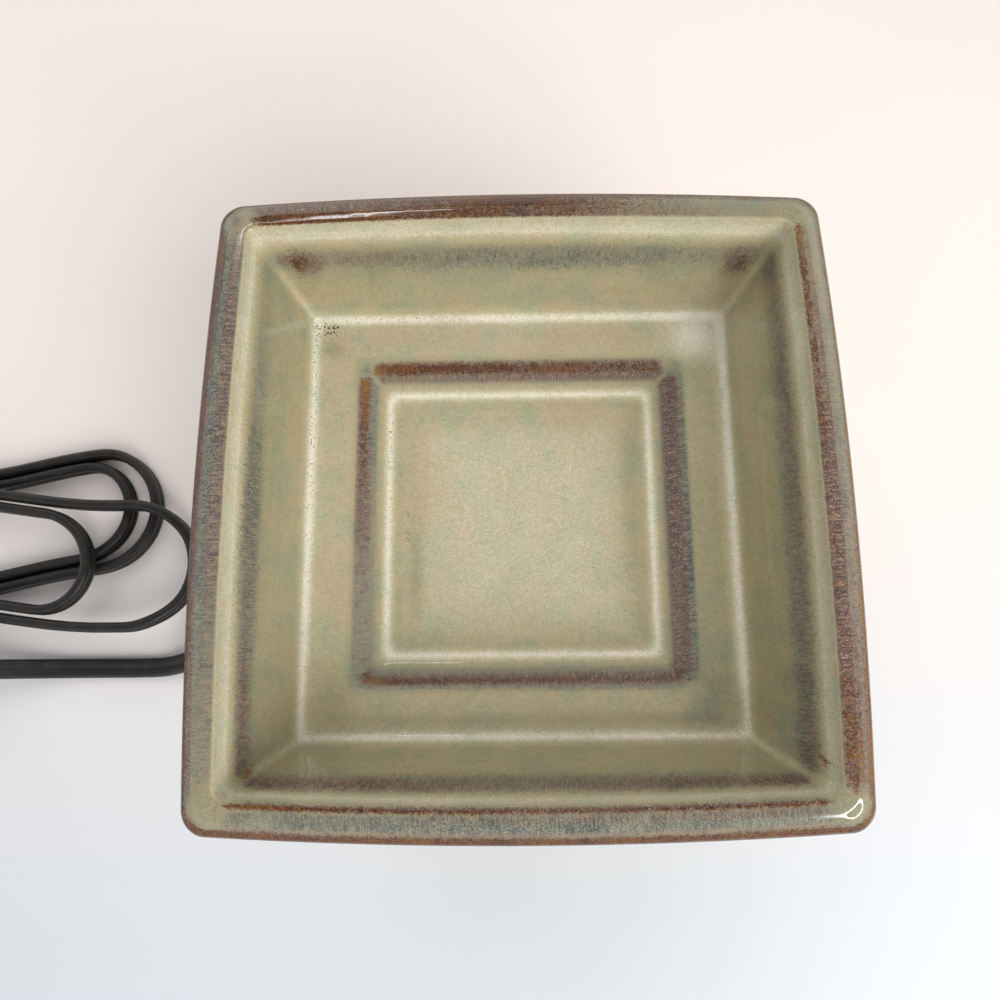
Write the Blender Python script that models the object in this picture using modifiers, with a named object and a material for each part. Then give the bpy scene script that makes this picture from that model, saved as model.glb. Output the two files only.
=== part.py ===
"""Square ceramic wax warmer: a lift-off dish over a small lamp, with a corded thumb-wheel switch.

Metres, +Z up. The origin is on the table under the middle of the warmer, +Y points away from the
viewer and the cord leaves on the -X side.
"""
import math

import bmesh
import bpy
from mathutils import Matrix, Vector

# Clearance between pieces that touch, and between a shaft and its hole
GAP = 0.0003
SHAFT_CLEARANCE = 0.0003
# How far a cutter runs past what it cuts
OVERCUT = 0.002
# Points nearer than this are one, and edges sharper than this stay sharp
MERGE_DISTANCE = 1e-6
SHARP_ANGLE = math.radians(35)

# Dish: half widths are across the middles of its sides, heights are from the table
DISH_HALF = 0.075
DISH_EDGE_Z = 0.118
DISH_CORNER = 0.005
DISH_SIDE_BOW = 0.0024
DISH_BOW_STARTS = 0.055
RIM_RISE = 0.0039
RIM_WIDTH = 0.0083
LIP_INSET = 0.0026
LIP_DROP = 0.0061
SLOPE_RUN = 0.0073
SLOPE_DROP = 0.0236
LEDGE_WIDTH = 0.0123
LEDGE_FALL = 0.0010
STEP_RUN = 0.0061
STEP_DROP = 0.0044
FLOOR_FALL = 0.0024
FLOOR_FILLET = 0.0080
DISH_WALL = 0.0050
DISH_INNER_CORNER = 0.0026
APRON_HEIGHT = 0.0140
SEAT_EDGE_RADIUS = 0.0020
SIDE_FILLET = 0.0026
CREST_FILLET = 0.0060
RIM_INNER_FILLET = 0.0009
LIP_CURVE = 0.0030
LIP_FILLET = 0.0016
LEDGE_FILLET = 0.0034
STEP_FILLET = 0.0016
WELL_FILLET = 0.0055
FLOOR_EDGE_FILLET = 0.0060
UNDERSIDE_FILLET = 0.0030

# Body: the ceramic housing under the dish
FOOT_HEIGHT = 0.0027
BODY_BOTTOM_Z = FOOT_HEIGHT + GAP
BODY_TOP_INSET = 0.0018
BODY_TOP_WALL = 0.0047
COLLAR_HEIGHT = 0.0177
SHOULDER_DROP = 0.0070
BODY_NECK_HALF = 0.0655
BODY_WAIST_HALF = 0.0615
BODY_WAIST_Z = 0.0235
PLINTH_HALF = 0.0660
PLINTH_TOP_Z = 0.0200
BODY_WALL = 0.0048
WAIST_WALL = 0.0045
PLINTH_WALL = 0.0090
PLINTH_INNER_HALF = PLINTH_HALF - PLINTH_WALL
BODY_EDGE = 0.0015
BODY_INNER_EDGE = 0.0006
BODY_FOOT_FILLET = 0.0010
PLINTH_FILLET = 0.0018
WAIST_FILLET = 0.0024
NECK_FILLET = 0.0040
COLLAR_FILLET = 0.0030
SEAT_FILLET = 0.0012
BODY_INNER_FILLET = 0.0020
BODY_BOW = 0.0015
BODY_CORNER = 0.0100
BODY_INNER_CORNER = 0.0050
WINDOW_SIZE = 0.0150
WINDOW_CORNER = 0.0020
WINDOW_Z = 0.0500
WINDOW_PITCH = 0.0260
WINDOW_COUNT = 3

# Corner bosses, nylon anchors and the screws that hold the base pan
BOSS_SIZE = 0.0180
BOSS_INSET = 0.0010
BOSS_HEIGHT = 0.0170
BOSS_CENTRE = PLINTH_INNER_HALF - BOSS_INSET - BOSS_SIZE / 2
BOSS_INNER = BOSS_CENTRE - BOSS_SIZE / 2
ANCHOR_RADIUS = 0.0035
ANCHOR_LENGTH = 0.0132
SCREW_SHANK_RADIUS = 0.00175
SCREW_LENGTH = 0.0110
SCREW_HEAD_RADIUS = 0.0034
SCREW_HEAD_HEIGHT = 0.0019
SCREW_POINT = 0.0012

# Base pan
PAN_CLEARANCE = 0.0030
PAN_HALF = PLINTH_INNER_HALF - PAN_CLEARANCE
PAN_THICKNESS = 0.0010
PAN_CORNER = 0.0040
PAN_RISE = 0.0007
PAN_VENT_RADIUS = 0.0045
PAN_VENT_INSET = 0.0210
PAN_VENT_RING = PAN_HALF - PAN_VENT_INSET
PAN_VENT_COUNT = 8

# Rubber feet
FOOT_RADIUS = 0.0045
FOOT_INSET = 0.0082
FOOT_EDGE = 0.0006

# Socket bracket
BRACKET_SHEET = 0.0010
BRACKET_WIDTH = 0.0160
BRACKET_HALF_LENGTH = 0.0240
BRACKET_LEG_FOOT = 0.0148
BRACKET_LEG_TOP = 0.0130
BRACKET_RISE = 0.0050
RIVET_OFFSET = 0.0195
RIVET_RADIUS = 0.0016
RIVET_HEAD_RADIUS = 0.0028
RIVET_HEAD_HEIGHT = 0.0010

# Lamp socket
SOCKET_RADIUS = 0.0125
SOCKET_HEIGHT = 0.0257
SOCKET_FLOOR = 0.0047
SOCKET_BORE_RADIUS = 0.0080
SOCKET_SCREW_DEPTH = 0.0037
SOCKET_LIP = 0.0010
SOCKET_FOOT_EDGE = 0.0005
SHELL_FLANGE_RADIUS = 0.0077
SHELL_HOLE_RADIUS = 0.0042
SHELL_INNER_RADIUS = 0.0063
SHELL_THICKNESS = 0.0005
SHELL_HEIGHT = 0.0170
LEAF_THICKNESS = 0.0004
LEAF_WIDTH = 0.0030
LEAF_TONGUE_RISE = 0.0014
TERMINAL_OFFSET = 0.0045
TERMINAL_RISE = 0.0090
TERMINAL_SHANK_RADIUS = 0.0015
TERMINAL_HEAD_RADIUS = 0.0026
TERMINAL_HEAD_HEIGHT = 0.0016
TERMINAL_DEPTH = 0.0028

# Lamp: small pygmy lamp with a candelabra cap
LAMP_LENGTH = 0.0480
LAMP_RADIUS = 0.0110
LAMP_GLASS = 0.0006
LAMP_NECK_RADIUS = 0.0048
LAMP_CAP_RADIUS = 0.00585
LAMP_CAP_WALL = 0.0005
LAMP_CAP_BOTTOM = 0.0025
LAMP_CAP_HEIGHT = 0.0125
LAMP_THREAD_DEPTH = 0.0004
LAMP_THREAD_PITCH = 0.00254
LAMP_THREADS = 3
LAMP_THREAD_START = 0.0030
LAMP_CAP_SHOULDER = 0.0015
LAMP_CAP_INNER_RISE = 0.0020
LAMP_SEAL_RISE = 0.0045
LAMP_SEAL_OVERLAP = 0.0010
LAMP_NECK_RISE = 0.0015
LAMP_SHOULDER_RISE = 0.0060
LAMP_SIDE_HEIGHT = 0.0040
LAMP_DOME_STEPS = 6
TIP_RADIUS = 0.0020
TIP_HEIGHT = 0.0035
TIP_EDGE = 0.0008
STEM_FLARE_RADIUS = 0.0038
STEM_FLARE_HEIGHT = 0.0010
STEM_TAPER_HEIGHT = 0.0035
STEM_ROD_RADIUS = 0.0014
STEM_ROD_START = 0.0060
STEM_EDGE = 0.0005
STEM_HEIGHT = 0.0210
FILAMENT_RADIUS = 0.00035
FILAMENT_SPAN = 0.0100
FILAMENT_RISE = 0.0090
FILAMENT_ARCH = 0.0010
FILAMENT_ROOT = 0.0030

# Cord: flat twin lead, lying flat on its run and on edge in its hank
CORD_WIDTH = 0.0070
CORD_THICKNESS = 0.0036
CORD_EXIT_INSET = 0.0080
CORD_EXIT_Y = -(BOSS_INNER - CORD_EXIT_INSET)
CORD_EXIT_Z = 0.0115
CORD_FLOAT = 0.00005
LEAD_RADIUS = 0.0011
LEAD_SWEEP_X = 0.0180

# Cord bushing in the plinth wall
BUSHING_SHAFT_RADIUS = 0.0045
BUSHING_FLANGE_RADIUS = 0.0068
BUSHING_FLANGE = 0.0018
BUSHING_TAIL = 0.0240
BUSHING_TAIL_ROOT = 0.0058
BUSHING_TAIL_TIP = 0.0044
BUSHING_TAIL_STEP = 0.0010
BUSHING_INNER_OFFSET = 0.0008

# Inline switch
SWITCH_LENGTH = 0.0580
SWITCH_WIDTH = 0.0240
SWITCH_END_WIDTH = 0.0130
SWITCH_HALF_HEIGHT = 0.0090
SWITCH_X = -0.2265
SWITCH_Y = -0.0392
SWITCH_ROUND = 0.0022
SWITCH_TAPER_START = 0.45
SWITCH_OUTLINE_STEPS = 10
SWITCH_SHOULDER_WIDTH = 0.93
SWITCH_TOP_WIDTH = 0.82
SWITCH_TOP_SHORTENS = 0.35
WHEEL_RADIUS = 0.0100
WHEEL_THICKNESS = 0.0050
WHEEL_Y_OFFSET = -0.0045
WHEEL_POCKET_CLEARANCE = 0.0006
WHEEL_NOTCHES = 20
WHEEL_NOTCH_RADIUS = 0.0005
SPINDLE_RADIUS = 0.0018
SPINDLE_DEPTH = 0.0040
CASE_SCREW_X = 0.0190
CASE_SCREW_RADIUS = 0.0014
CASE_SCREW_HEAD_RADIUS = 0.0026
CASE_SCREW_HEAD_HEIGHT = 0.0016
CASE_NUT_RADIUS = 0.0030
CASE_NUT_HEIGHT = 0.0022
CONTACT_LENGTH = 0.0080
CONTACT_WIDTH = 0.0030
CONTACT_THICKNESS = 0.0006
CONTACT_X = 0.0165
CONTACT_Y_OFFSET = 0.0060

# Plug
PLUG_X = -0.2650
PLUG_Y = 0.0480
PLUG_LENGTH = 0.0350
PLUG_WIDTH = 0.0240
PLUG_THICKNESS = 0.0160
PLUG_NECK_WIDTH = 0.0110
PLUG_NECK_THICKNESS = 0.0080
PLUG_SHOULDER = 0.0140
PLUG_FACE_EDGE = 0.0010
PLUG_NECK_CORNER = 0.0025
PLUG_NECK_END_CORNER = 0.0028
PLUG_SHOULDER_CORNER = 0.0040
PLUG_CORNER = 0.0045
PLUG_FACE_CORNER = 0.0035
BLADE_SPACING = 0.0127
BLADE_THICKNESS = 0.0015
BLADE_WIDTH = 0.0063
BLADE_REACH = 0.0175
BLADE_ROOT = 0.0060

# Hank: an oval of loops, wound in on the table and out again on top, on edge
HANK_TURNS = 4
HANK_LANE = 0.0046
HANK_INNER_RADIUS = 0.0153
HANK_LAYER_GAP = 0.00070
HANK_Y = 0.0065
HANK_LEFT_X = -0.2750
HANK_WAIST_X = -0.2180
HANK_FAN_END_X = -0.1500
HANK_LOOP_X = (-0.1583, -0.1637, -0.1740, -0.1414)
HANK_FAN_LOWER = 0.0104
HANK_FAN_UPPER = -0.0069
HANK_DROOP = 0.0045
HANK_DROOP_START_X = -0.1335
HANK_DROOP_LENGTH = 0.0130
ARC_POINTS = 8
RUN_POINTS = 4
# Shares of a turn: a quarter round the left end, a run along one side, the loop round the right end
QUARTER_SHARE = 0.15
RUN_SHARE = 0.15
LOOP_SHARE = 0.40
# Where in a turn the lane changes, and how long before the top of the pile the climb starts
LANE_STEP_START = 0.3
LANE_STEP_SHARE = 0.4
CLIMB_LEAD = 0.2
CLIMB_SHARE = 0.3

# Tie strap round one side of the hank
TIE_X = -0.2350
TIE_WIDTH = 0.0100
TIE_THICKNESS = 0.0008
TIE_LIFT_REACH = 0.0280
TIE_LIFT_LENGTH = 0.0200
TIE_SLACK = 0.0005
TIE_CORNER = 0.0012

# Route of the free cord stretches, chosen by hand: x, y, height of the middle of the cord
CORD_LIES_FLAT_Z = CORD_THICKNESS / 2 + CORD_FLOAT
CORD_ON_EDGE_Z = CORD_WIDTH / 2 + CORD_FLOAT
RUN_ROUTE = (
    (-0.1065, -0.0316, 0.0092),
    (-0.1135, -0.0342, 0.0063),
    (-0.1205, -0.0370, 0.0037),
    (-0.1285, -0.0388, CORD_LIES_FLAT_Z),
    (-0.1380, -0.0392, CORD_LIES_FLAT_Z),
    (-0.1500, -0.0392, CORD_LIES_FLAT_Z),
    (-0.1620, -0.0392, 0.0022),
    (-0.1730, -0.0392, 0.0042),
    (-0.1830, -0.0392, 0.0072),
)
LINK_ROUTE = (
    (-0.2690, -0.0380, 0.0080),
    (-0.2775, -0.0352, 0.0063),
    (-0.2855, -0.0304, 0.0050),
    (-0.2925, -0.0238, 0.0041),
    (-0.2975, -0.0160, CORD_ON_EDGE_Z),
)
TAIL_ROUTE = (
    (-0.2987, 0.0290, 0.0105),
    (-0.2955, 0.0370, 0.0095),
    (-0.2895, 0.0435, 0.0086),
    (-0.2815, 0.0470, 0.0081),
)

# Facets: points round a corner of a square ring, along its side, and round a turned piece
CORNER_STEPS = 3
SIDE_STEPS = 4
TURN_STEPS = 20
SMALL_TURN_STEPS = 10
FILLET_STEPS = 2

PARTS_NAME = "wax_warmer"
CUTTERS_NAME = "wax_warmer_cutters"


def clear_scene():
    """Remove what is in the scene and add the two collections."""
    for old in list(bpy.data.objects):
        bpy.data.objects.remove(old, do_unlink=True)
    for name in (PARTS_NAME, CUTTERS_NAME):
        bpy.context.scene.collection.children.link(bpy.data.collections.new(name))


def make_material(name, color, roughness, metallic=0.0, alpha=1.0):
    """A Principled material with one colour."""
    material = bpy.data.materials.new(name)
    material.use_nodes = True
    shader = material.node_tree.nodes["Principled BSDF"]
    shader.inputs["Base Color"].default_value = (*color, 1.0)
    shader.inputs["Roughness"].default_value = roughness
    shader.inputs["Metallic"].default_value = metallic
    shader.inputs["Alpha"].default_value = alpha
    material.diffuse_color = (*color, alpha)
    return material


def add_part(name, mesh, material, parent=None):
    """Link a mesh as a named part with its material."""
    part = bpy.data.objects.new(name, mesh)
    bpy.data.collections[PARTS_NAME].objects.link(part)
    mesh.materials.clear()
    mesh.materials.append(material)
    if parent is not None:
        part.parent = parent
    return part


def add_cutter(name, mesh):
    """Link a mesh as a cutter that the build leaves out."""
    cutter = bpy.data.objects.new(name, mesh)
    bpy.data.collections[CUTTERS_NAME].objects.link(cutter)
    cutter.hide_render = True
    cutter.display_type = "WIRE"
    return cutter


def add_axis(name, location):
    """An empty on a joint's axis."""
    axis = bpy.data.objects.new(name, None)
    bpy.data.collections[CUTTERS_NAME].objects.link(axis)
    axis.location = location
    axis.empty_display_size = 0.01
    return axis


def cut(part, cutter, operation="DIFFERENCE"):
    """Cut a part by a cutter, or join them, with an exact Boolean."""
    modifier = part.modifiers.new(cutter.name, "BOOLEAN")
    modifier.operation = operation
    modifier.solver = "EXACT"
    modifier.object = cutter


def round_edges(part, width, segments=2, angle=0.6):
    """Round a part's sharp edges."""
    bevel = part.modifiers.new("rounded_edges", "BEVEL")
    bevel.width = width
    bevel.segments = segments
    bevel.limit_method = "ANGLE"
    bevel.angle_limit = angle
    bevel.use_clamp_overlap = True


def mesh_from(bm, name, smooth=True):
    """Turn a bmesh into a mesh, with its doubles merged and its faces pointing out."""
    bmesh.ops.remove_doubles(bm, verts=bm.verts, dist=MERGE_DISTANCE)
    bmesh.ops.recalc_face_normals(bm, faces=bm.faces)
    mesh = bpy.data.meshes.new(name)
    bm.to_mesh(mesh)
    bm.free()
    if smooth:
        mesh.shade_smooth()
        mesh.set_sharp_from_angle(angle=SHARP_ANGLE)
    return mesh


def block(name, size, centre):
    """Box of a size about a centre."""
    bm = bmesh.new()
    bmesh.ops.create_cube(bm, size=1.0)
    bmesh.ops.scale(bm, vec=Vector(size), verts=bm.verts)
    bmesh.ops.translate(bm, vec=Vector(centre), verts=bm.verts)
    return mesh_from(bm, name, smooth=False)


def rod(name, radius, start, end, steps=SMALL_TURN_STEPS):
    """Cylinder from one point to another."""
    start = Vector(start)
    axis = Vector(end) - start
    bm = bmesh.new()
    bmesh.ops.create_cone(bm, cap_ends=True, segments=steps, radius1=radius, radius2=radius,
                          depth=axis.length)
    turn = Vector((0, 0, 1)).rotation_difference(axis).to_matrix().to_4x4()
    bmesh.ops.transform(bm, matrix=Matrix.Translation(start + axis / 2) @ turn, verts=bm.verts)
    return mesh_from(bm, name)


def turned(name, profile, material, location=(0, 0, 0), axis="Z", steps=TURN_STEPS, parent=None):
    """Turned part: a closed or axis-to-axis profile of (radius, height), swept by a Screw modifier."""
    bm = bmesh.new()
    verts = [bm.verts.new((radius, 0, height)) for radius, height in profile]
    for first, second in zip(verts, verts[1:]):
        bm.edges.new((first, second))
    if profile[0][0] > 0:
        bm.edges.new((verts[-1], verts[0]))
    mesh = bpy.data.meshes.new(name)
    bm.to_mesh(mesh)
    bm.free()
    part = add_part(name, mesh, material, parent)
    part.location = location
    if axis == "X":
        part.rotation_euler = (0, math.radians(-90), 0)
    screw = part.modifiers.new("turned", "SCREW")
    screw.steps = steps
    screw.render_steps = steps
    screw.use_merge_vertices = True
    screw.merge_threshold = MERGE_DISTANCE
    screw.use_smooth_shade = True
    return part


def smooth_step(value):
    """0 below 0, 1 above 1, and an even S between."""
    value = min(max(value, 0.0), 1.0)
    return value * value * (3 - 2 * value)


def fillet(before, corner, after, radius, steps=FILLET_STEPS):
    """Points of an arc that rounds a corner between two straight lines."""
    towards = (before - corner).normalized()
    onwards = (after - corner).normalized()
    half = towards.angle(onwards) / 2
    if radius <= 0 or half > math.radians(89):
        return [corner]
    reach = radius / math.tan(half)
    room = 0.49 * min((before - corner).length, (after - corner).length)
    if reach > room:
        reach = room
        radius = reach * math.tan(half)
    centre = corner + (towards + onwards).normalized() * radius / math.sin(half)
    first = corner + towards * reach - centre
    last = corner + onwards * reach - centre
    sweep = first.angle(last)
    points = []
    for i in range(steps + 1):
        share = i / steps
        points.append(centre + (first * math.sin((1 - share) * sweep) + last * math.sin(share * sweep))
                      / math.sin(sweep))
    return points


def rounded_profile(corners):
    """A line of (half width, height, fillet radius) corners, each rounded by its fillet."""
    places = [Vector((half, height)) for half, height, radius in corners]
    points = [places[0]]
    for i in range(1, len(places) - 1):
        points += fillet(places[i - 1], places[i], places[i + 1], corners[i][2])
    return points + [places[-1]]


def square_ring(half, bow, corner, height):
    """Ring of a rounded square whose sides bow out, anticlockwise seen from above.

    half is the half width across the middles of the sides, bow is how far a side's middle stands
    out past its corners, and corner is the corner radius.
    """
    corner_half = half - bow
    straight = corner_half - corner
    quarter = [(corner_half, straight * (2 * i / SIDE_STEPS - 1)) for i in range(SIDE_STEPS)]
    for i in range(CORNER_STEPS):
        angle = math.radians(90) * i / CORNER_STEPS
        quarter.append((straight + corner * math.cos(angle), straight + corner * math.sin(angle)))
    ring = []
    for side in range(4):
        turn = Matrix.Rotation(math.radians(90) * side, 2)
        for x, y in quarter:
            swell_x = 1 + bow / corner_half * (1 - (y / corner_half) ** 2)
            swell_y = 1 + bow / corner_half * (1 - (x / corner_half) ** 2)
            x_out, y_out = turn @ Vector((x * swell_x, y * swell_y))
            ring.append(Vector((x_out, y_out, height)))
    return ring


def loft(name, rings, closed=False, smooth=True):
    """Mesh through rings of as many points; closed joins the last ring to the first."""
    bm = bmesh.new()
    rows = [[bm.verts.new(point) for point in ring] for ring in rings]
    pairs = list(zip(rows, rows[1:]))
    if closed:
        pairs.append((rows[-1], rows[0]))
    else:
        bm.faces.new(list(reversed(rows[0])))
        bm.faces.new(rows[-1])
    count = len(rings[0])
    for lower, upper in pairs:
        for i in range(count):
            following = (i + 1) % count
            bm.faces.new((lower[i], lower[following], upper[following], upper[i]))
    return mesh_from(bm, name, smooth)


def sheet(name, path, width, thickness, material, parent=None, location=(0, 0, 0)):
    """Bent strip: a path in X and Z, as wide as width along Y, with a Solidify wall about it."""
    bm = bmesh.new()
    near = [bm.verts.new((x, -width / 2, z)) for x, z in path]
    far = [bm.verts.new((x, width / 2, z)) for x, z in path]
    for i in range(len(path) - 1):
        bm.faces.new((near[i], near[i + 1], far[i + 1], far[i]))
    mesh = bpy.data.meshes.new(name)
    bm.to_mesh(mesh)
    bm.free()
    part = add_part(name, mesh, material, parent)
    part.location = location
    wall = part.modifiers.new("sheet_wall", "SOLIDIFY")
    wall.thickness = thickness
    wall.offset = 0
    wall.use_even_offset = True
    return part


def smooth_route(points, spacing):
    """Evenly spaced points along a smooth curve (Catmull-Rom) between two straight ends.

    The first two of the route's points bound one straight end, and the last two the other.
    """
    places = [Vector(point) for point in points]
    dense = []
    for i in range(1, len(places) - 2):
        before, here, there, after = places[i - 1:i + 3]
        for j in range(16):
            t = j / 16
            dense.append(0.5 * (2 * here + (there - before) * t
                                + (2 * before - 5 * here + 4 * there - after) * t ** 2
                                + (3 * here - before - 3 * there + after) * t ** 3))
    dense.append(places[-2])
    travelled = [0.0]
    for first, second in zip(dense, dense[1:]):
        travelled.append(travelled[-1] + (second - first).length)
    count = max(2, round(travelled[-1] / spacing))
    even = []
    j = 0
    for i in range(count + 1):
        target = travelled[-1] * i / count
        while j < len(dense) - 2 and travelled[j + 1] < target:
            j += 1
        share = (target - travelled[j]) / (travelled[j + 1] - travelled[j])
        even.append(dense[j].lerp(dense[j + 1], min(max(share, 0.0), 1.0)))
    return [places[0], *even, places[-1]]


def straight_end(end, direction, length):
    """An end of a route and the point that its straight stretch runs to."""
    return Vector(end), Vector(end) + Vector(direction) * length


def cord_curve(name, points, material, tilts, resolution=2):
    """Flat cord: a poly curve with round edges; a tilt of 0 stands it on edge, a quarter lays it flat."""
    curve = bpy.data.curves.new(name, "CURVE")
    curve.dimensions = "3D"
    curve.twist_mode = "Z_UP"
    curve.bevel_depth = CORD_THICKNESS / 2
    curve.extrude = (CORD_WIDTH - CORD_THICKNESS) / 2
    curve.bevel_resolution = resolution
    curve.use_fill_caps = True
    spline = curve.splines.new("POLY")
    spline.points.add(len(points) - 1)
    for spline_point, place, tilt in zip(spline.points, points, tilts):
        spline_point.co = (*place, 1.0)
        spline_point.tilt = tilt
    part = bpy.data.objects.new(name, curve)
    bpy.data.collections[PARTS_NAME].objects.link(part)
    curve.materials.append(material)
    return part


def wire(name, points, radius, material, parent=None, resolution=2):
    """Round wire along a poly curve."""
    curve = bpy.data.curves.new(name, "CURVE")
    curve.dimensions = "3D"
    curve.bevel_depth = radius
    curve.bevel_resolution = resolution
    curve.use_fill_caps = True
    spline = curve.splines.new("POLY")
    spline.points.add(len(points) - 1)
    for spline_point, place in zip(spline.points, points):
        spline_point.co = (*place, 1.0)
    part = bpy.data.objects.new(name, curve)
    bpy.data.collections[PARTS_NAME].objects.link(part)
    curve.materials.append(material)
    part.parent = parent
    return part


def dish_bow(half):
    """How far a side bows out at a half width: all of it at the edge, none at the ledge."""
    return DISH_SIDE_BOW * smooth_step((half - DISH_BOW_STARTS) / (DISH_HALF - DISH_BOW_STARTS))


def dish_corner(half):
    """Corner radius inside the dish at a half width, growing to the outer one over the rim."""
    rim_inner = DISH_HALF - RIM_WIDTH
    share = smooth_step((half - rim_inner) / (DISH_HALF - rim_inner))
    return DISH_INNER_CORNER + (DISH_CORNER - DISH_INNER_CORNER) * share


# Heights and half widths that several pieces share
SEAT_Z = DISH_EDGE_Z - APRON_HEIGHT
RIM_INNER_HALF = DISH_HALF - RIM_WIDTH
LIP_HALF = RIM_INNER_HALF - LIP_INSET
LIP_Z = DISH_EDGE_Z - LIP_DROP
LEDGE_OUTER_HALF = LIP_HALF - SLOPE_RUN
LEDGE_Z = LIP_Z - SLOPE_DROP
LEDGE_INNER_HALF = LEDGE_OUTER_HALF - LEDGE_WIDTH
STEP_TOP_Z = LEDGE_Z - LEDGE_FALL
WELL_HALF = LEDGE_INNER_HALF - STEP_RUN
WELL_Z = STEP_TOP_Z - STEP_DROP
FLOOR_Z = WELL_Z - FLOOR_FALL
FLOOR_HALF = WELL_HALF - FLOOR_FILLET
DISH_UNDERSIDE_Z = FLOOR_Z - DISH_WALL
BODY_TOP_Z = SEAT_Z - GAP
BODY_TOP_HALF = DISH_HALF - BODY_TOP_INSET
COLLAR_BOTTOM_Z = BODY_TOP_Z - COLLAR_HEIGHT
NECK_Z = COLLAR_BOTTOM_Z - SHOULDER_DROP
BOSS_BOTTOM_Z = BODY_BOTTOM_Z + PAN_RISE + PAN_THICKNESS + GAP
PAN_BOTTOM_Z = BODY_BOTTOM_Z + PAN_RISE
PAN_TOP_Z = PAN_BOTTOM_Z + PAN_THICKNESS
BRACKET_FOOT_Z = PAN_TOP_Z + GAP + BRACKET_SHEET / 2
BRACKET_TOP_Z = BRACKET_FOOT_Z + BRACKET_RISE
SOCKET_BOTTOM_Z = BRACKET_TOP_Z + BRACKET_SHEET / 2 + GAP
SOCKET_FLOOR_Z = SOCKET_BOTTOM_Z + SOCKET_FLOOR
LEAF_Z = SOCKET_FLOOR_Z + GAP + LEAF_THICKNESS / 2
SHELL_Z = LEAF_Z + LEAF_THICKNESS / 2 + GAP
TIP_Z = LEAF_Z + LEAF_TONGUE_RISE + LEAF_THICKNESS / 2 + GAP
BUSHING_OUTER_X = -(PLINTH_HALF + GAP)
BUSHING_END_X = BUSHING_OUTER_X - BUSHING_FLANGE - BUSHING_TAIL
BUSHING_INNER_X = -(PLINTH_INNER_HALF - BUSHING_INNER_OFFSET)
SWITCH_Z = SWITCH_HALF_HEIGHT + GAP / 2
PLUG_Z = PLUG_THICKNESS / 2 + CORD_FLOAT


def build_dish(glaze):
    """The removable square dish, lofted from its underside over the rim to its floor."""
    wall_foot = math.hypot(SLOPE_RUN, SLOPE_DROP)
    side_wall = DISH_WALL * wall_foot / SLOPE_DROP
    seat_inner = LIP_HALF + side_wall - SLOPE_RUN * (LIP_Z - SEAT_Z) / SLOPE_DROP
    crest_z = DISH_EDGE_Z + RIM_RISE
    under_ledge_z = STEP_TOP_Z - DISH_WALL
    corners = (
        (FLOOR_HALF / 2, DISH_UNDERSIDE_Z, 0.0),
        (WELL_HALF + DISH_WALL / 2, DISH_UNDERSIDE_Z, UNDERSIDE_FILLET),
        (LEDGE_INNER_HALF + DISH_WALL / 2, under_ledge_z, UNDERSIDE_FILLET),
        (LEDGE_OUTER_HALF + side_wall * 0.6, under_ledge_z, UNDERSIDE_FILLET),
        (seat_inner, SEAT_Z, 0.0),
        (DISH_HALF - SEAT_EDGE_RADIUS / 3, SEAT_Z, SEAT_EDGE_RADIUS),
        (DISH_HALF, DISH_EDGE_Z - APRON_HEIGHT / 2, SEAT_EDGE_RADIUS),
        (DISH_HALF, DISH_EDGE_Z + RIM_RISE * 0.3, SIDE_FILLET),
        (DISH_HALF - RIM_WIDTH * 0.5, crest_z, CREST_FILLET),
        (RIM_INNER_HALF, crest_z, RIM_INNER_FILLET),
        (RIM_INNER_HALF - LIP_INSET * 0.2, DISH_EDGE_Z - LIP_DROP * 0.25, LIP_CURVE),
        (LIP_HALF, LIP_Z, LIP_FILLET),
        (LEDGE_OUTER_HALF, LEDGE_Z, LEDGE_FILLET),
        (LEDGE_INNER_HALF, STEP_TOP_Z, STEP_FILLET),
        (WELL_HALF, WELL_Z, WELL_FILLET),
        (FLOOR_HALF, FLOOR_Z, FLOOR_EDGE_FILLET),
        (FLOOR_HALF / 2, FLOOR_Z, 0.0),
    )
    inside_from = DISH_EDGE_Z
    rings = []
    outside = True
    for half, height in rounded_profile(corners):
        outside = outside and height < inside_from
        corner = DISH_CORNER if outside else dish_corner(half)
        rings.append(square_ring(half, dish_bow(half), corner, height))
    return add_part("wax_dish", loft("wax_dish", rings), glaze)


def body_ring(half, height, corner=BODY_CORNER):
    """One ring of the body's wall."""
    return square_ring(half, BODY_BOW, corner, height)


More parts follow.
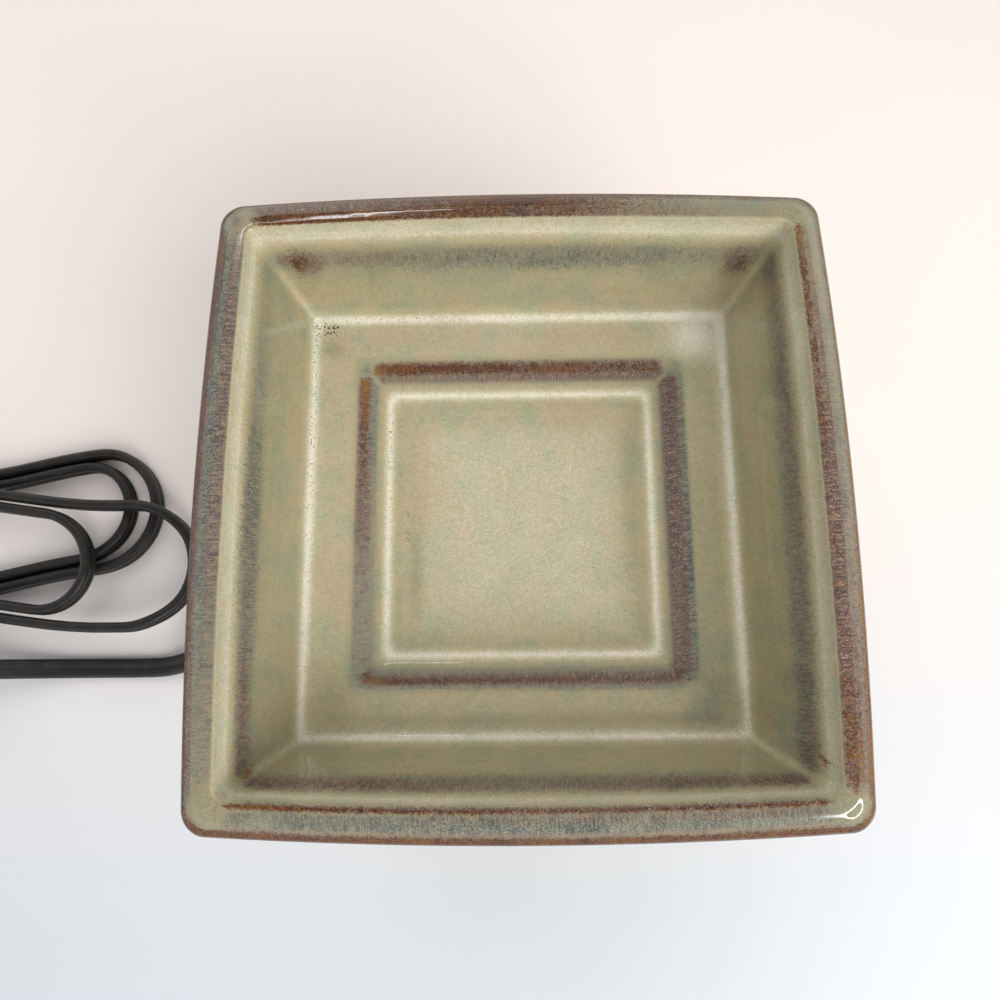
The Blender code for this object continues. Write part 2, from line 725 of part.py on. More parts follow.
def build_body(glaze):
    """The ceramic housing: outer wall up, over the seat, inner wall down, with bosses and holes."""
    inner_neck = BODY_NECK_HALF - BODY_WALL
    inner_top = BODY_TOP_HALF - BODY_TOP_WALL
    outer = rounded_profile((
        (PLINTH_HALF - BODY_EDGE, BODY_BOTTOM_Z, 0.0),
        (PLINTH_HALF, BODY_BOTTOM_Z + BODY_EDGE, BODY_FOOT_FILLET),
        (PLINTH_HALF, PLINTH_TOP_Z, PLINTH_FILLET),
        (BODY_WAIST_HALF, BODY_WAIST_Z, WAIST_FILLET),
        (BODY_NECK_HALF, NECK_Z, NECK_FILLET),
        (BODY_TOP_HALF, COLLAR_BOTTOM_Z, COLLAR_FILLET),
        (BODY_TOP_HALF, BODY_TOP_Z, SEAT_FILLET),
        (BODY_TOP_HALF - BODY_TOP_WALL / 2, BODY_TOP_Z, 0.0),
    ))
    inner = rounded_profile((
        (inner_top + BODY_INNER_EDGE, BODY_TOP_Z, 0.0),
        (inner_top, BODY_TOP_Z - BODY_EDGE, 0.0),
        (inner_top, COLLAR_BOTTOM_Z, BODY_INNER_FILLET),
        (inner_neck, NECK_Z, BODY_INNER_FILLET),
        (BODY_WAIST_HALF - WAIST_WALL, BODY_WAIST_Z, 0.0),
        (PLINTH_INNER_HALF, PLINTH_TOP_Z - BODY_WALL, 0.0),
        (PLINTH_INNER_HALF, BODY_BOTTOM_Z, 0.0),
    ))
    rings = [body_ring(half, height) for half, height in outer]
    rings += [body_ring(half, height, BODY_INNER_CORNER) for half, height in inner]
    body = add_part("warmer_body", loft("warmer_body", rings, closed=True), glaze)

    anchor_hole_top = BOSS_BOTTOM_Z + GAP + ANCHOR_LENGTH + GAP
    for number, (sign_x, sign_y) in enumerate(CORNER_SIGNS, start=1):
        boss = add_cutter(f"boss_{number}", block(
            f"boss_{number}", (BOSS_SIZE, BOSS_SIZE, BOSS_HEIGHT),
            (sign_x * BOSS_CENTRE, sign_y * BOSS_CENTRE, BOSS_BOTTOM_Z + BOSS_HEIGHT / 2)))
        cut(body, boss, "UNION")
    for number, (sign_x, sign_y) in enumerate(CORNER_SIGNS, start=1):
        centre = (sign_x * BOSS_CENTRE, sign_y * BOSS_CENTRE)
        hole = add_cutter(f"anchor_hole_{number}", rod(
            f"anchor_hole_{number}", ANCHOR_RADIUS + SHAFT_CLEARANCE,
            (*centre, BOSS_BOTTOM_Z - OVERCUT), (*centre, anchor_hole_top)))
        cut(body, hole)

    reach = 2 * (max(BODY_TOP_HALF, BODY_NECK_HALF, PLINTH_HALF) + OVERCUT)
    for i in range(WINDOW_COUNT):
        offset = (i - (WINDOW_COUNT - 1) / 2) * WINDOW_PITCH
        for axis, size, centre in (
                ("x", (reach, WINDOW_SIZE, WINDOW_SIZE), (0, offset, WINDOW_Z)),
                ("y", (WINDOW_SIZE, reach, WINDOW_SIZE), (offset, 0, WINDOW_Z))):
            name = f"window_{axis}_{i + 1}"
            window = add_cutter(name, block(name, size, centre))
            round_edges(window, WINDOW_CORNER)
            cut(body, window)

    entry = add_cutter("cord_hole", rod(
        "cord_hole", BUSHING_SHAFT_RADIUS + SHAFT_CLEARANCE,
        (BUSHING_OUTER_X - OVERCUT, CORD_EXIT_Y, CORD_EXIT_Z),
        (BUSHING_INNER_X + OVERCUT, CORD_EXIT_Y, CORD_EXIT_Z), steps=16))
    cut(body, entry)
    return body


CORNER_SIGNS = ((1, 1), (-1, 1), (-1, -1), (1, -1))


def build_feet(rubber):
    """Four round rubber feet under the plinth's corners."""
    place = PLINTH_HALF - FOOT_INSET
    for number, (sign_x, sign_y) in enumerate(CORNER_SIGNS, start=1):
        turned(f"rubber_foot_{number}", (
            (0, FOOT_HEIGHT),
            (FOOT_RADIUS, FOOT_HEIGHT),
            (FOOT_RADIUS, FOOT_EDGE),
            (FOOT_RADIUS - FOOT_EDGE, 0),
            (0, 0),
        ), rubber, location=(sign_x * place, sign_y * place, 0), steps=16)


def build_base(steel, screw_steel, nylon):
    """The base pan with its vents, its four screws and their anchors in the bosses."""
    bottom = square_ring(PAN_HALF, 0.0, PAN_CORNER, PAN_BOTTOM_Z)
    top = square_ring(PAN_HALF, 0.0, PAN_CORNER, PAN_TOP_Z)
    pan = add_part("base_pan", loft("base_pan", [bottom, top]), steel)
    holes = [(f"pan_screw_hole_{n}", sx * BOSS_CENTRE, sy * BOSS_CENTRE,
              SCREW_SHANK_RADIUS + SHAFT_CLEARANCE)
             for n, (sx, sy) in enumerate(CORNER_SIGNS, start=1)]
    holes += [(f"pan_rivet_hole_{n}", side * RIVET_OFFSET, 0.0, RIVET_RADIUS + SHAFT_CLEARANCE)
              for n, side in enumerate((-1, 1), start=1)]
    for n in range(PAN_VENT_COUNT):
        angle = math.radians(360) * (n + 0.5) / PAN_VENT_COUNT
        holes.append((f"pan_vent_{n + 1}", PAN_VENT_RING * math.cos(angle),
                      PAN_VENT_RING * math.sin(angle), PAN_VENT_RADIUS))
    for name, x, y, radius in holes:
        cut(pan, add_cutter(name, rod(name, radius, (x, y, PAN_BOTTOM_Z - OVERCUT),
                                      (x, y, PAN_TOP_Z + OVERCUT))))
    head_top = PAN_BOTTOM_Z - GAP
    shank_top = head_top + SCREW_LENGTH
    anchor_bottom = BOSS_BOTTOM_Z + GAP
    for number, (sign_x, sign_y) in enumerate(CORNER_SIGNS, start=1):
        place = (sign_x * BOSS_CENTRE, sign_y * BOSS_CENTRE, 0)
        turned(f"pan_screw_{number}", (
            (0, shank_top),
            (SCREW_SHANK_RADIUS * 0.5, shank_top),
            (SCREW_SHANK_RADIUS, shank_top - SCREW_POINT),
            (SCREW_SHANK_RADIUS, head_top),
            (SCREW_HEAD_RADIUS, head_top),
            (SCREW_HEAD_RADIUS, head_top - SCREW_HEAD_HEIGHT * 0.5),
            (SCREW_HEAD_RADIUS * 0.7, head_top - SCREW_HEAD_HEIGHT),
            (0, head_top - SCREW_HEAD_HEIGHT),
        ), screw_steel, location=place, steps=SMALL_TURN_STEPS)
        bore = SCREW_SHANK_RADIUS + SHAFT_CLEARANCE
        bore_top = shank_top + GAP
        turned(f"screw_anchor_{number}", (
            (0, anchor_bottom + ANCHOR_LENGTH),
            (ANCHOR_RADIUS, anchor_bottom + ANCHOR_LENGTH),
            (ANCHOR_RADIUS, anchor_bottom),
            (bore, anchor_bottom),
            (bore, bore_top),
            (0, bore_top),
        ), nylon, location=place, steps=SMALL_TURN_STEPS)
    return pan


def build_bracket(steel, rivet_steel):
    """The bent socket bracket, riveted to the pan."""
    bracket = sheet("socket_bracket", (
        (-BRACKET_HALF_LENGTH, BRACKET_FOOT_Z),
        (-BRACKET_LEG_FOOT, BRACKET_FOOT_Z),
        (-BRACKET_LEG_TOP, BRACKET_TOP_Z),
        (BRACKET_LEG_TOP, BRACKET_TOP_Z),
        (BRACKET_LEG_FOOT, BRACKET_FOOT_Z),
        (BRACKET_HALF_LENGTH, BRACKET_FOOT_Z),
    ), BRACKET_WIDTH, BRACKET_SHEET, steel)
    hole = add_cutter("socket_screw_hole", rod(
        "socket_screw_hole", SCREW_SHANK_RADIUS + SHAFT_CLEARANCE,
        (0, 0, BRACKET_TOP_Z - OVERCUT), (0, 0, BRACKET_TOP_Z + OVERCUT)))
    cut(bracket, hole)
    foot_top = BRACKET_FOOT_Z + BRACKET_SHEET / 2
    for number, side in enumerate((-1, 1), start=1):
        x = side * RIVET_OFFSET
        name = f"bracket_rivet_hole_{number}"
        cut(bracket, add_cutter(name, rod(
            name, RIVET_RADIUS + SHAFT_CLEARANCE,
            (x, 0, BRACKET_FOOT_Z - OVERCUT), (x, 0, BRACKET_FOOT_Z + OVERCUT))))
        head = foot_top + GAP
        tail = PAN_BOTTOM_Z - GAP
        turned(f"bracket_rivet_{number}", (
            (0, head + RIVET_HEAD_HEIGHT),
            (RIVET_HEAD_RADIUS * 0.6, head + RIVET_HEAD_HEIGHT),
            (RIVET_HEAD_RADIUS, head),
            (RIVET_RADIUS, head),
            (RIVET_RADIUS, tail),
            (RIVET_HEAD_RADIUS, tail),
            (RIVET_HEAD_RADIUS, tail - RIVET_HEAD_HEIGHT * 0.6),
            (0, tail - RIVET_HEAD_HEIGHT * 0.6),
        ), rivet_steel, location=(x, 0, 0), steps=SMALL_TURN_STEPS)


def build_socket(porcelain, brass, screw_steel):
    """The porcelain lamp socket, its screw, screw shell, centre leaf and side terminals."""
    top = SOCKET_BOTTOM_Z + SOCKET_HEIGHT
    screw_bore = SCREW_SHANK_RADIUS + SHAFT_CLEARANCE
    socket = turned("lamp_socket", (
        (0, SOCKET_FLOOR_Z),
        (SOCKET_BORE_RADIUS, SOCKET_FLOOR_Z),
        (SOCKET_BORE_RADIUS, top - SOCKET_LIP),
        (SOCKET_BORE_RADIUS + SOCKET_LIP * 0.6, top),
        (SOCKET_RADIUS - SOCKET_LIP, top),
        (SOCKET_RADIUS, top - SOCKET_LIP),
        (SOCKET_RADIUS, SOCKET_BOTTOM_Z + SOCKET_FOOT_EDGE),
        (SOCKET_RADIUS - SOCKET_FOOT_EDGE, SOCKET_BOTTOM_Z),
        (screw_bore, SOCKET_BOTTOM_Z),
        (screw_bore, SOCKET_BOTTOM_Z + SOCKET_SCREW_DEPTH),
        (0, SOCKET_BOTTOM_Z + SOCKET_SCREW_DEPTH),
    ), porcelain)
    screw_head_top = BRACKET_TOP_Z - BRACKET_SHEET / 2 - GAP
    screw_top = SOCKET_BOTTOM_Z + SOCKET_SCREW_DEPTH - GAP
    turned("socket_screw", (
        (0, screw_top),
        (SCREW_SHANK_RADIUS, screw_top),
        (SCREW_SHANK_RADIUS, screw_head_top),
        (SCREW_HEAD_RADIUS, screw_head_top),
        (SCREW_HEAD_RADIUS * 0.8, screw_head_top - SCREW_HEAD_HEIGHT),
        (0, screw_head_top - SCREW_HEAD_HEIGHT),
    ), screw_steel, steps=SMALL_TURN_STEPS)
    outer = SHELL_INNER_RADIUS + SHELL_THICKNESS
    turned("socket_shell", (
        (SHELL_INNER_RADIUS, SHELL_Z + SHELL_HEIGHT),
        (outer, SHELL_Z + SHELL_HEIGHT),
        (outer, SHELL_Z + SHELL_THICKNESS),
        (SHELL_FLANGE_RADIUS, SHELL_Z + SHELL_THICKNESS),
        (SHELL_FLANGE_RADIUS, SHELL_Z),
        (SHELL_HOLE_RADIUS, SHELL_Z),
        (SHELL_HOLE_RADIUS, SHELL_Z + SHELL_THICKNESS),
        (SHELL_INNER_RADIUS, SHELL_Z + SHELL_THICKNESS),
    ), brass)
    tongue_z = LEAF_Z + LEAF_TONGUE_RISE
    sheet("socket_leaf", (
        (-SHELL_FLANGE_RADIUS, LEAF_Z),
        (-SHELL_HOLE_RADIUS * 0.9, LEAF_Z),
        (-TIP_RADIUS, tongue_z),
        (TIP_RADIUS, tongue_z),
    ), LEAF_WIDTH, LEAF_THICKNESS, brass)
    terminal_z = SOCKET_BOTTOM_Z + TERMINAL_RISE
    head_inner = -(SOCKET_RADIUS + GAP)
    for number, side in enumerate((-1, 1), start=1):
        y = side * TERMINAL_OFFSET
        name = f"terminal_hole_{number}"
        cut(socket, add_cutter(name, rod(
            name, TERMINAL_SHANK_RADIUS + SHAFT_CLEARANCE,
            (head_inner - OVERCUT, y, terminal_z),
            (head_inner + TERMINAL_DEPTH + GAP, y, terminal_z))))
        turned(f"socket_terminal_{number}", (
            (0, TERMINAL_HEAD_HEIGHT),
            (TERMINAL_HEAD_RADIUS * 0.8, TERMINAL_HEAD_HEIGHT),
            (TERMINAL_HEAD_RADIUS, TERMINAL_HEAD_HEIGHT * 0.6),
            (TERMINAL_HEAD_RADIUS, 0),
            (TERMINAL_SHANK_RADIUS, 0),
            (TERMINAL_SHANK_RADIUS, -TERMINAL_DEPTH),
            (0, -TERMINAL_DEPTH),
        ), brass, location=(head_inner, y, terminal_z), axis="X", steps=SMALL_TURN_STEPS)


def build_lamp(glass, brass, solder, wire_steel):
    """The lamp: tip contact, cap, envelope, stem and filament, on one upright axis."""
    axis = add_axis("lamp_axis", (0, 0, TIP_Z))
    cap_bottom = LAMP_CAP_BOTTOM
    cap_top = cap_bottom + LAMP_CAP_HEIGHT
    hole = TIP_RADIUS + GAP
    inner = LAMP_CAP_RADIUS - LAMP_THREAD_DEPTH - LAMP_CAP_WALL
    cap = [(inner, cap_top), (LAMP_CAP_RADIUS, cap_top)]
    for i in range(LAMP_THREADS):
        crest = cap_top - LAMP_THREAD_START - i * LAMP_THREAD_PITCH
        cap += [(LAMP_CAP_RADIUS - LAMP_THREAD_DEPTH, crest + LAMP_THREAD_PITCH / 2),
                (LAMP_CAP_RADIUS, crest)]
    cap += [(LAMP_CAP_RADIUS - LAMP_THREAD_DEPTH, cap_bottom + LAMP_CAP_SHOULDER),
            (TIP_RADIUS * 1.8, cap_bottom), (hole, cap_bottom), (hole, cap_bottom + LAMP_CAP_WALL),
            (inner, cap_bottom + LAMP_CAP_INNER_RISE)]
    turned("lamp_cap", cap, brass, parent=axis)
    turned("lamp_tip", (
        (0, TIP_HEIGHT),
        (TIP_RADIUS, TIP_HEIGHT),
        (TIP_RADIUS, TIP_EDGE),
        (TIP_RADIUS * 0.6, 0),
        (0, 0),
    ), solder, parent=axis, steps=SMALL_TURN_STEPS)

    neck_outer = inner - GAP
    neck_bottom = cap_bottom + LAMP_SEAL_RISE
    bulge_z = LAMP_LENGTH - LAMP_RADIUS
    flare_z = cap_top + LAMP_NECK_RISE
    outside = [(0, LAMP_LENGTH)]
    for i in range(1, LAMP_DOME_STEPS + 1):
        angle = math.radians(90) * i / LAMP_DOME_STEPS
        outside.append((LAMP_RADIUS * math.sin(angle), bulge_z + LAMP_RADIUS * math.cos(angle)))
    outside += [(LAMP_RADIUS, bulge_z - LAMP_SIDE_HEIGHT), (LAMP_RADIUS * 0.86, flare_z + LAMP_SHOULDER_RISE),
                (LAMP_NECK_RADIUS * 1.12, flare_z), (neck_outer, cap_top - LAMP_SEAL_OVERLAP),
                (neck_outer, neck_bottom)]
    inside = [(max(radius - LAMP_GLASS, 0), min(height, LAMP_LENGTH - LAMP_GLASS))
              for radius, height in outside]
    inside = [(radius, height) for radius, height in inside if radius > 0]
    glass_profile = outside + list(reversed(inside)) + [(0, LAMP_LENGTH - LAMP_GLASS)]
    turned("lamp_envelope", glass_profile, glass, parent=axis)

    stem_bottom = neck_bottom + GAP
    stem_top = stem_bottom + STEM_HEIGHT
    turned("lamp_stem", (
        (0, stem_top),
        (STEM_ROD_RADIUS, stem_top - STEM_EDGE),
        (STEM_ROD_RADIUS, stem_bottom + STEM_ROD_START),
        (STEM_FLARE_RADIUS * 0.7, stem_bottom + STEM_TAPER_HEIGHT),
        (STEM_FLARE_RADIUS, stem_bottom + STEM_FLARE_HEIGHT),
        (STEM_FLARE_RADIUS, stem_bottom),
        (0, stem_bottom),
    ), glass, parent=axis, steps=SMALL_TURN_STEPS)
    wire_foot = stem_top - FILAMENT_ROOT
    half_span = FILAMENT_SPAN / 2
    side = STEM_ROD_RADIUS + FILAMENT_RADIUS + GAP
    top = stem_top + FILAMENT_RISE
    wire("lamp_filament", (
        (-side, 0, wire_foot), (-side, 0, stem_top), (-half_span, 0, top),
        (-half_span * 0.4, 0, top + FILAMENT_ARCH), (half_span * 0.4, 0, top + FILAMENT_ARCH),
        (half_span, 0, top), (side, 0, stem_top), (side, 0, wire_foot),
    ), FILAMENT_RADIUS, wire_steel, parent=axis, resolution=1)


def build_bushing(rubber):
    """The tapered strain relief in the plinth wall, turned along X."""
    inner = BUSHING_INNER_X
    outer = BUSHING_OUTER_X
    flange = BUSHING_FLANGE
    turned("cord_bushing", (
        (0, BUSHING_END_X * -1 + outer),
        (BUSHING_TAIL_TIP, BUSHING_END_X * -1 + outer),
        (BUSHING_TAIL_ROOT, flange + BUSHING_TAIL_STEP),
        (BUSHING_FLANGE_RADIUS, flange),
        (BUSHING_FLANGE_RADIUS, 0),
        (BUSHING_SHAFT_RADIUS, 0),
        (BUSHING_SHAFT_RADIUS, outer - inner),
        (BUSHING_FLANGE_RADIUS * 0.85, outer - inner),
        (BUSHING_FLANGE_RADIUS * 0.8, outer - inner - flange),
        (0, outer - inner - flange),
    ), rubber, location=(outer, CORD_EXIT_Y, CORD_EXIT_Z), axis="X", steps=16)


def build_leads(live, neutral):
    """The two inner leads, from the bushing to the socket's side terminals."""
    start_x = BUSHING_INNER_X + BUSHING_FLANGE + GAP
    terminal_z = SOCKET_BOTTOM_Z + TERMINAL_RISE
    end_x = -(SOCKET_RADIUS + GAP + TERMINAL_HEAD_HEIGHT + GAP)
    for name, side, material in (("lead_live", -1, live), ("lead_neutral", 1, neutral)):
        start_y = CORD_EXIT_Y + side * CORD_WIDTH / 4
        end_y = side * TERMINAL_OFFSET
        sweep_y = (start_y * 2 + end_y) / 3
        route = (
            *straight_end((start_x, start_y, CORD_EXIT_Z), (1, 0, 0), 2 * LEAD_RADIUS),
            (start_x + LEAD_SWEEP_X, sweep_y, CORD_EXIT_Z),
            *reversed(straight_end((end_x, end_y, terminal_z), (-1, 0, 0), 2 * LEAD_RADIUS)),
        )
        wire(name, smooth_route(route, 3 * LEAD_RADIUS * 2), LEAD_RADIUS, material)


def switch_outline(scale_width):
    """Half of the switch's outline in plan: wide in the middle, drawn in to its ends."""
    half_length = SWITCH_LENGTH / 2
    points = []
    for i in range(SWITCH_OUTLINE_STEPS + 1):
        along = i / SWITCH_OUTLINE_STEPS * 2 - 1
        drawn_in = smooth_step((abs(along) - SWITCH_TAPER_START) / (1 - SWITCH_TAPER_START))
        half = (SWITCH_WIDTH - (SWITCH_WIDTH - SWITCH_END_WIDTH) * drawn_in) / 2
        points.append((along * half_length, half * scale_width))
    return points


def build_switch(case_plastic, wheel_plastic, brass, screw_steel):
    """The inline switch: two case halves, thumb wheel on its spindle, contacts, screw and nut."""
    wheel_x = SWITCH_X
    wheel_y = SWITCH_Y + WHEEL_Y_OFFSET
    pocket_depth = WHEEL_THICKNESS / 2 + WHEEL_POCKET_CLEARANCE
    for name, direction in (("switch_case_lower", -1), ("switch_case_upper", 1)):
        near = SWITCH_Z + direction * GAP / 2
        far = SWITCH_Z + direction * SWITCH_HALF_HEIGHT
        shoulder = far - direction * SWITCH_ROUND
        rings = []
        for height, width in ((near, 1.0), (shoulder, 1.0),
                              (far - direction * SWITCH_ROUND * 0.3, SWITCH_SHOULDER_WIDTH),
                              (far, SWITCH_TOP_WIDTH)):
            upper_side = switch_outline(width)
            shorter = 1 - (1 - width) * SWITCH_TOP_SHORTENS
            ring = [Vector((SWITCH_X + x * shorter, SWITCH_Y - y, height)) for x, y in upper_side]
            ring += [Vector((SWITCH_X + x * shorter, SWITCH_Y + y, height))
                     for x, y in reversed(upper_side)]
            rings.append(ring)
        half = add_part(name, loft(name, rings), case_plastic)
        label = name.rsplit("_", 1)[1]
        inside = near - direction * OVERCUT
        pocket = add_cutter(f"wheel_pocket_{label}", rod(
            f"wheel_pocket_{label}", WHEEL_RADIUS + WHEEL_POCKET_CLEARANCE,
            (wheel_x, wheel_y, inside), (wheel_x, wheel_y, SWITCH_Z + direction * pocket_depth), 24))
        cut(half, pocket)
        spindle_hole = add_cutter(f"spindle_hole_{label}", rod(
            f"spindle_hole_{label}", SPINDLE_RADIUS + SHAFT_CLEARANCE, (wheel_x, wheel_y, inside),
            (wheel_x, wheel_y, SWITCH_Z + direction * (WHEEL_THICKNESS / 2 + SPINDLE_DEPTH + GAP))))
        cut(half, spindle_hole)
        screw_hole = add_cutter(f"case_screw_hole_{label}", rod(
            f"case_screw_hole_{label}", CASE_SCREW_RADIUS + SHAFT_CLEARANCE,
            (SWITCH_X + CASE_SCREW_X, SWITCH_Y, inside),
            (SWITCH_X + CASE_SCREW_X, SWITCH_Y, far + direction * OVERCUT)))
        cut(half, screw_hole)
        upper = direction > 0
        recess_radius = CASE_SCREW_HEAD_RADIUS if upper else CASE_NUT_RADIUS
        recess_depth = CASE_SCREW_HEAD_HEIGHT if upper else CASE_NUT_HEIGHT
        recess = add_cutter(f"case_recess_{label}", rod(
            f"case_recess_{label}", recess_radius + SHAFT_CLEARANCE * 2,
            (SWITCH_X + CASE_SCREW_X, SWITCH_Y, far - direction * (recess_depth + GAP * 2)),
            (SWITCH_X + CASE_SCREW_X, SWITCH_Y, far + direction * OVERCUT)))
        cut(half, recess)
        for number, side in enumerate((-1, 1), start=1):
            contact_x = SWITCH_X + side * CONTACT_X
            if upper:
                continue
            slot_name = f"contact_slot_{number}"
            slot = add_cutter(slot_name, block(
                slot_name, (CONTACT_LENGTH + 2 * GAP, CONTACT_WIDTH + 2 * GAP, 2 * CONTACT_THICKNESS + GAP),
                (contact_x, SWITCH_Y + CONTACT_Y_OFFSET, near)))
            cut(half, slot)
            contact_name = f"switch_contact_{number}"
            add_part(contact_name, block(
                contact_name, (CONTACT_LENGTH, CONTACT_WIDTH, CONTACT_THICKNESS),
                (contact_x, SWITCH_Y + CONTACT_Y_OFFSET, near - CONTACT_THICKNESS / 2)), brass)

    axis = add_axis("switch_axis", (wheel_x, wheel_y, SWITCH_Z))
    wheel_mesh = rod("switch_wheel", WHEEL_RADIUS, (0, 0, -WHEEL_THICKNESS / 2),
                     (0, 0, WHEEL_THICKNESS / 2), steps=WHEEL_NOTCHES * 2)
    wheel = add_part("switch_wheel", wheel_mesh, wheel_plastic, parent=axis)
    bm = bmesh.new()
    bm.from_mesh(wheel_mesh)
    for vert in bm.verts:
        around = math.atan2(vert.co.y, vert.co.x) / math.radians(360) * WHEEL_NOTCHES * 2
        if round(around) % 2:
            shrink = 1 - 2 * WHEEL_NOTCH_RADIUS / WHEEL_RADIUS
            vert.co.x *= shrink
            vert.co.y *= shrink
    bm.to_mesh(wheel_mesh)
    bm.free()
    bore = add_cutter("wheel_bore", rod(
        "wheel_bore", SPINDLE_RADIUS + SHAFT_CLEARANCE,
        (wheel_x, wheel_y, SWITCH_Z - WHEEL_THICKNESS), (wheel_x, wheel_y, SWITCH_Z + WHEEL_THICKNESS)))
    cut(wheel, bore)
    spindle_half = WHEEL_THICKNESS / 2 + SPINDLE_DEPTH
    add_part("switch_spindle", rod(
        "switch_spindle", SPINDLE_RADIUS, (wheel_x, wheel_y, SWITCH_Z - spindle_half),
        (wheel_x, wheel_y, SWITCH_Z + spindle_half)), brass)
    screw_place = (SWITCH_X + CASE_SCREW_X, SWITCH_Y, 0)
    head_bottom = SWITCH_Z + SWITCH_HALF_HEIGHT - CASE_SCREW_HEAD_HEIGHT - GAP
    nut_bottom = SWITCH_Z - SWITCH_HALF_HEIGHT + GAP
    turned("switch_screw", (
        (0, head_bottom + CASE_SCREW_HEAD_HEIGHT),
        (CASE_SCREW_HEAD_RADIUS * 0.8, head_bottom + CASE_SCREW_HEAD_HEIGHT),
        (CASE_SCREW_HEAD_RADIUS, head_bottom + CASE_SCREW_HEAD_HEIGHT * 0.5),
        (CASE_SCREW_HEAD_RADIUS, head_bottom),
        (CASE_SCREW_RADIUS, head_bottom),
        (CASE_SCREW_RADIUS, nut_bottom),
        (0, nut_bottom),
    ), screw_steel, location=screw_place, steps=SMALL_TURN_STEPS)
    nut_top = nut_bottom + CASE_NUT_HEIGHT
    nut_x = SWITCH_X + CASE_SCREW_X
    nut = add_part("switch_nut", rod(
        "switch_nut", CASE_NUT_RADIUS, (nut_x, SWITCH_Y, nut_bottom), (nut_x, SWITCH_Y, nut_top),
        steps=6), screw_steel)
    cut(nut, add_cutter("nut_bore", rod(
        "nut_bore", CASE_SCREW_RADIUS + SHAFT_CLEARANCE,
        (nut_x, SWITCH_Y, nut_bottom - OVERCUT), (nut_x, SWITCH_Y, nut_top + OVERCUT))))


def rectangle_ring(x, half_y, half_z, centre_y, centre_z, corner):
    """Ring of a rounded rectangle across X."""
    ring = []
    for sign_y, sign_z, start in ((1, 1, 0), (-1, 1, 90), (-1, -1, 180), (1, -1, 270)):
        for i in range(4):
            angle = math.radians(start + 30 * i)
            ring.append(Vector((x, centre_y + sign_y * (half_y - corner) + corner * math.cos(angle),
                                centre_z + sign_z * (half_z - corner) + corner * math.sin(angle))))
    return ring


def build_plug(plastic, brass):
    """The moulded plug, its neck towards the tail of the cord, and its two flat blades."""
    front = PLUG_X + PLUG_LENGTH
    sections = (
        (PLUG_X, PLUG_NECK_WIDTH, PLUG_NECK_THICKNESS, PLUG_NECK_CORNER),
        (PLUG_X + PLUG_SHOULDER * 0.5, PLUG_NECK_WIDTH * 1.1, PLUG_NECK_THICKNESS * 1.1,
         PLUG_NECK_END_CORNER),
        (PLUG_X + PLUG_SHOULDER * 0.8, PLUG_WIDTH * 0.80, PLUG_THICKNESS * 0.82, PLUG_SHOULDER_CORNER),
        (PLUG_X + PLUG_SHOULDER, PLUG_WIDTH, PLUG_THICKNESS, PLUG_CORNER),
        (front - PLUG_FACE_EDGE, PLUG_WIDTH, PLUG_THICKNESS, PLUG_CORNER),
        (front, PLUG_WIDTH - 2 * PLUG_FACE_EDGE, PLUG_THICKNESS - 2 * PLUG_FACE_EDGE, PLUG_FACE_CORNER),
    )
    rings = [rectangle_ring(x, width / 2, depth / 2, PLUG_Y, PLUG_Z, corner)
             for x, width, depth, corner in sections]
    body = add_part("plug_body", loft("plug_body", rings), plastic)
    for number, side in enumerate((-1, 1), start=1):
        y = PLUG_Y + side * BLADE_SPACING / 2
        slot_name = f"blade_slot_{number}"
        slot = add_cutter(slot_name, block(
            slot_name, (2 * BLADE_ROOT, BLADE_THICKNESS + 2 * GAP, BLADE_WIDTH + 2 * GAP),
            (front, y, PLUG_Z)))
        cut(body, slot)
        start = front - BLADE_ROOT + GAP
        end = front + BLADE_REACH
        blade_name = f"plug_blade_{number}"
        blade = add_part(blade_name, block(
            blade_name, (end - start, BLADE_THICKNESS, BLADE_WIDTH),
            ((start + end) / 2, y, PLUG_Z)), brass)
        round_edges(blade, BLADE_THICKNESS * 0.3, segments=1)


def hank_lane(turn):
    """How many lanes out from the innermost a turn lies: level on the left, a step on the right."""
    away = abs(turn - HANK_TURNS / 2)
    whole = math.floor(away)
    return whole + smooth_step((away - whole - LANE_STEP_START) / LANE_STEP_SHARE)


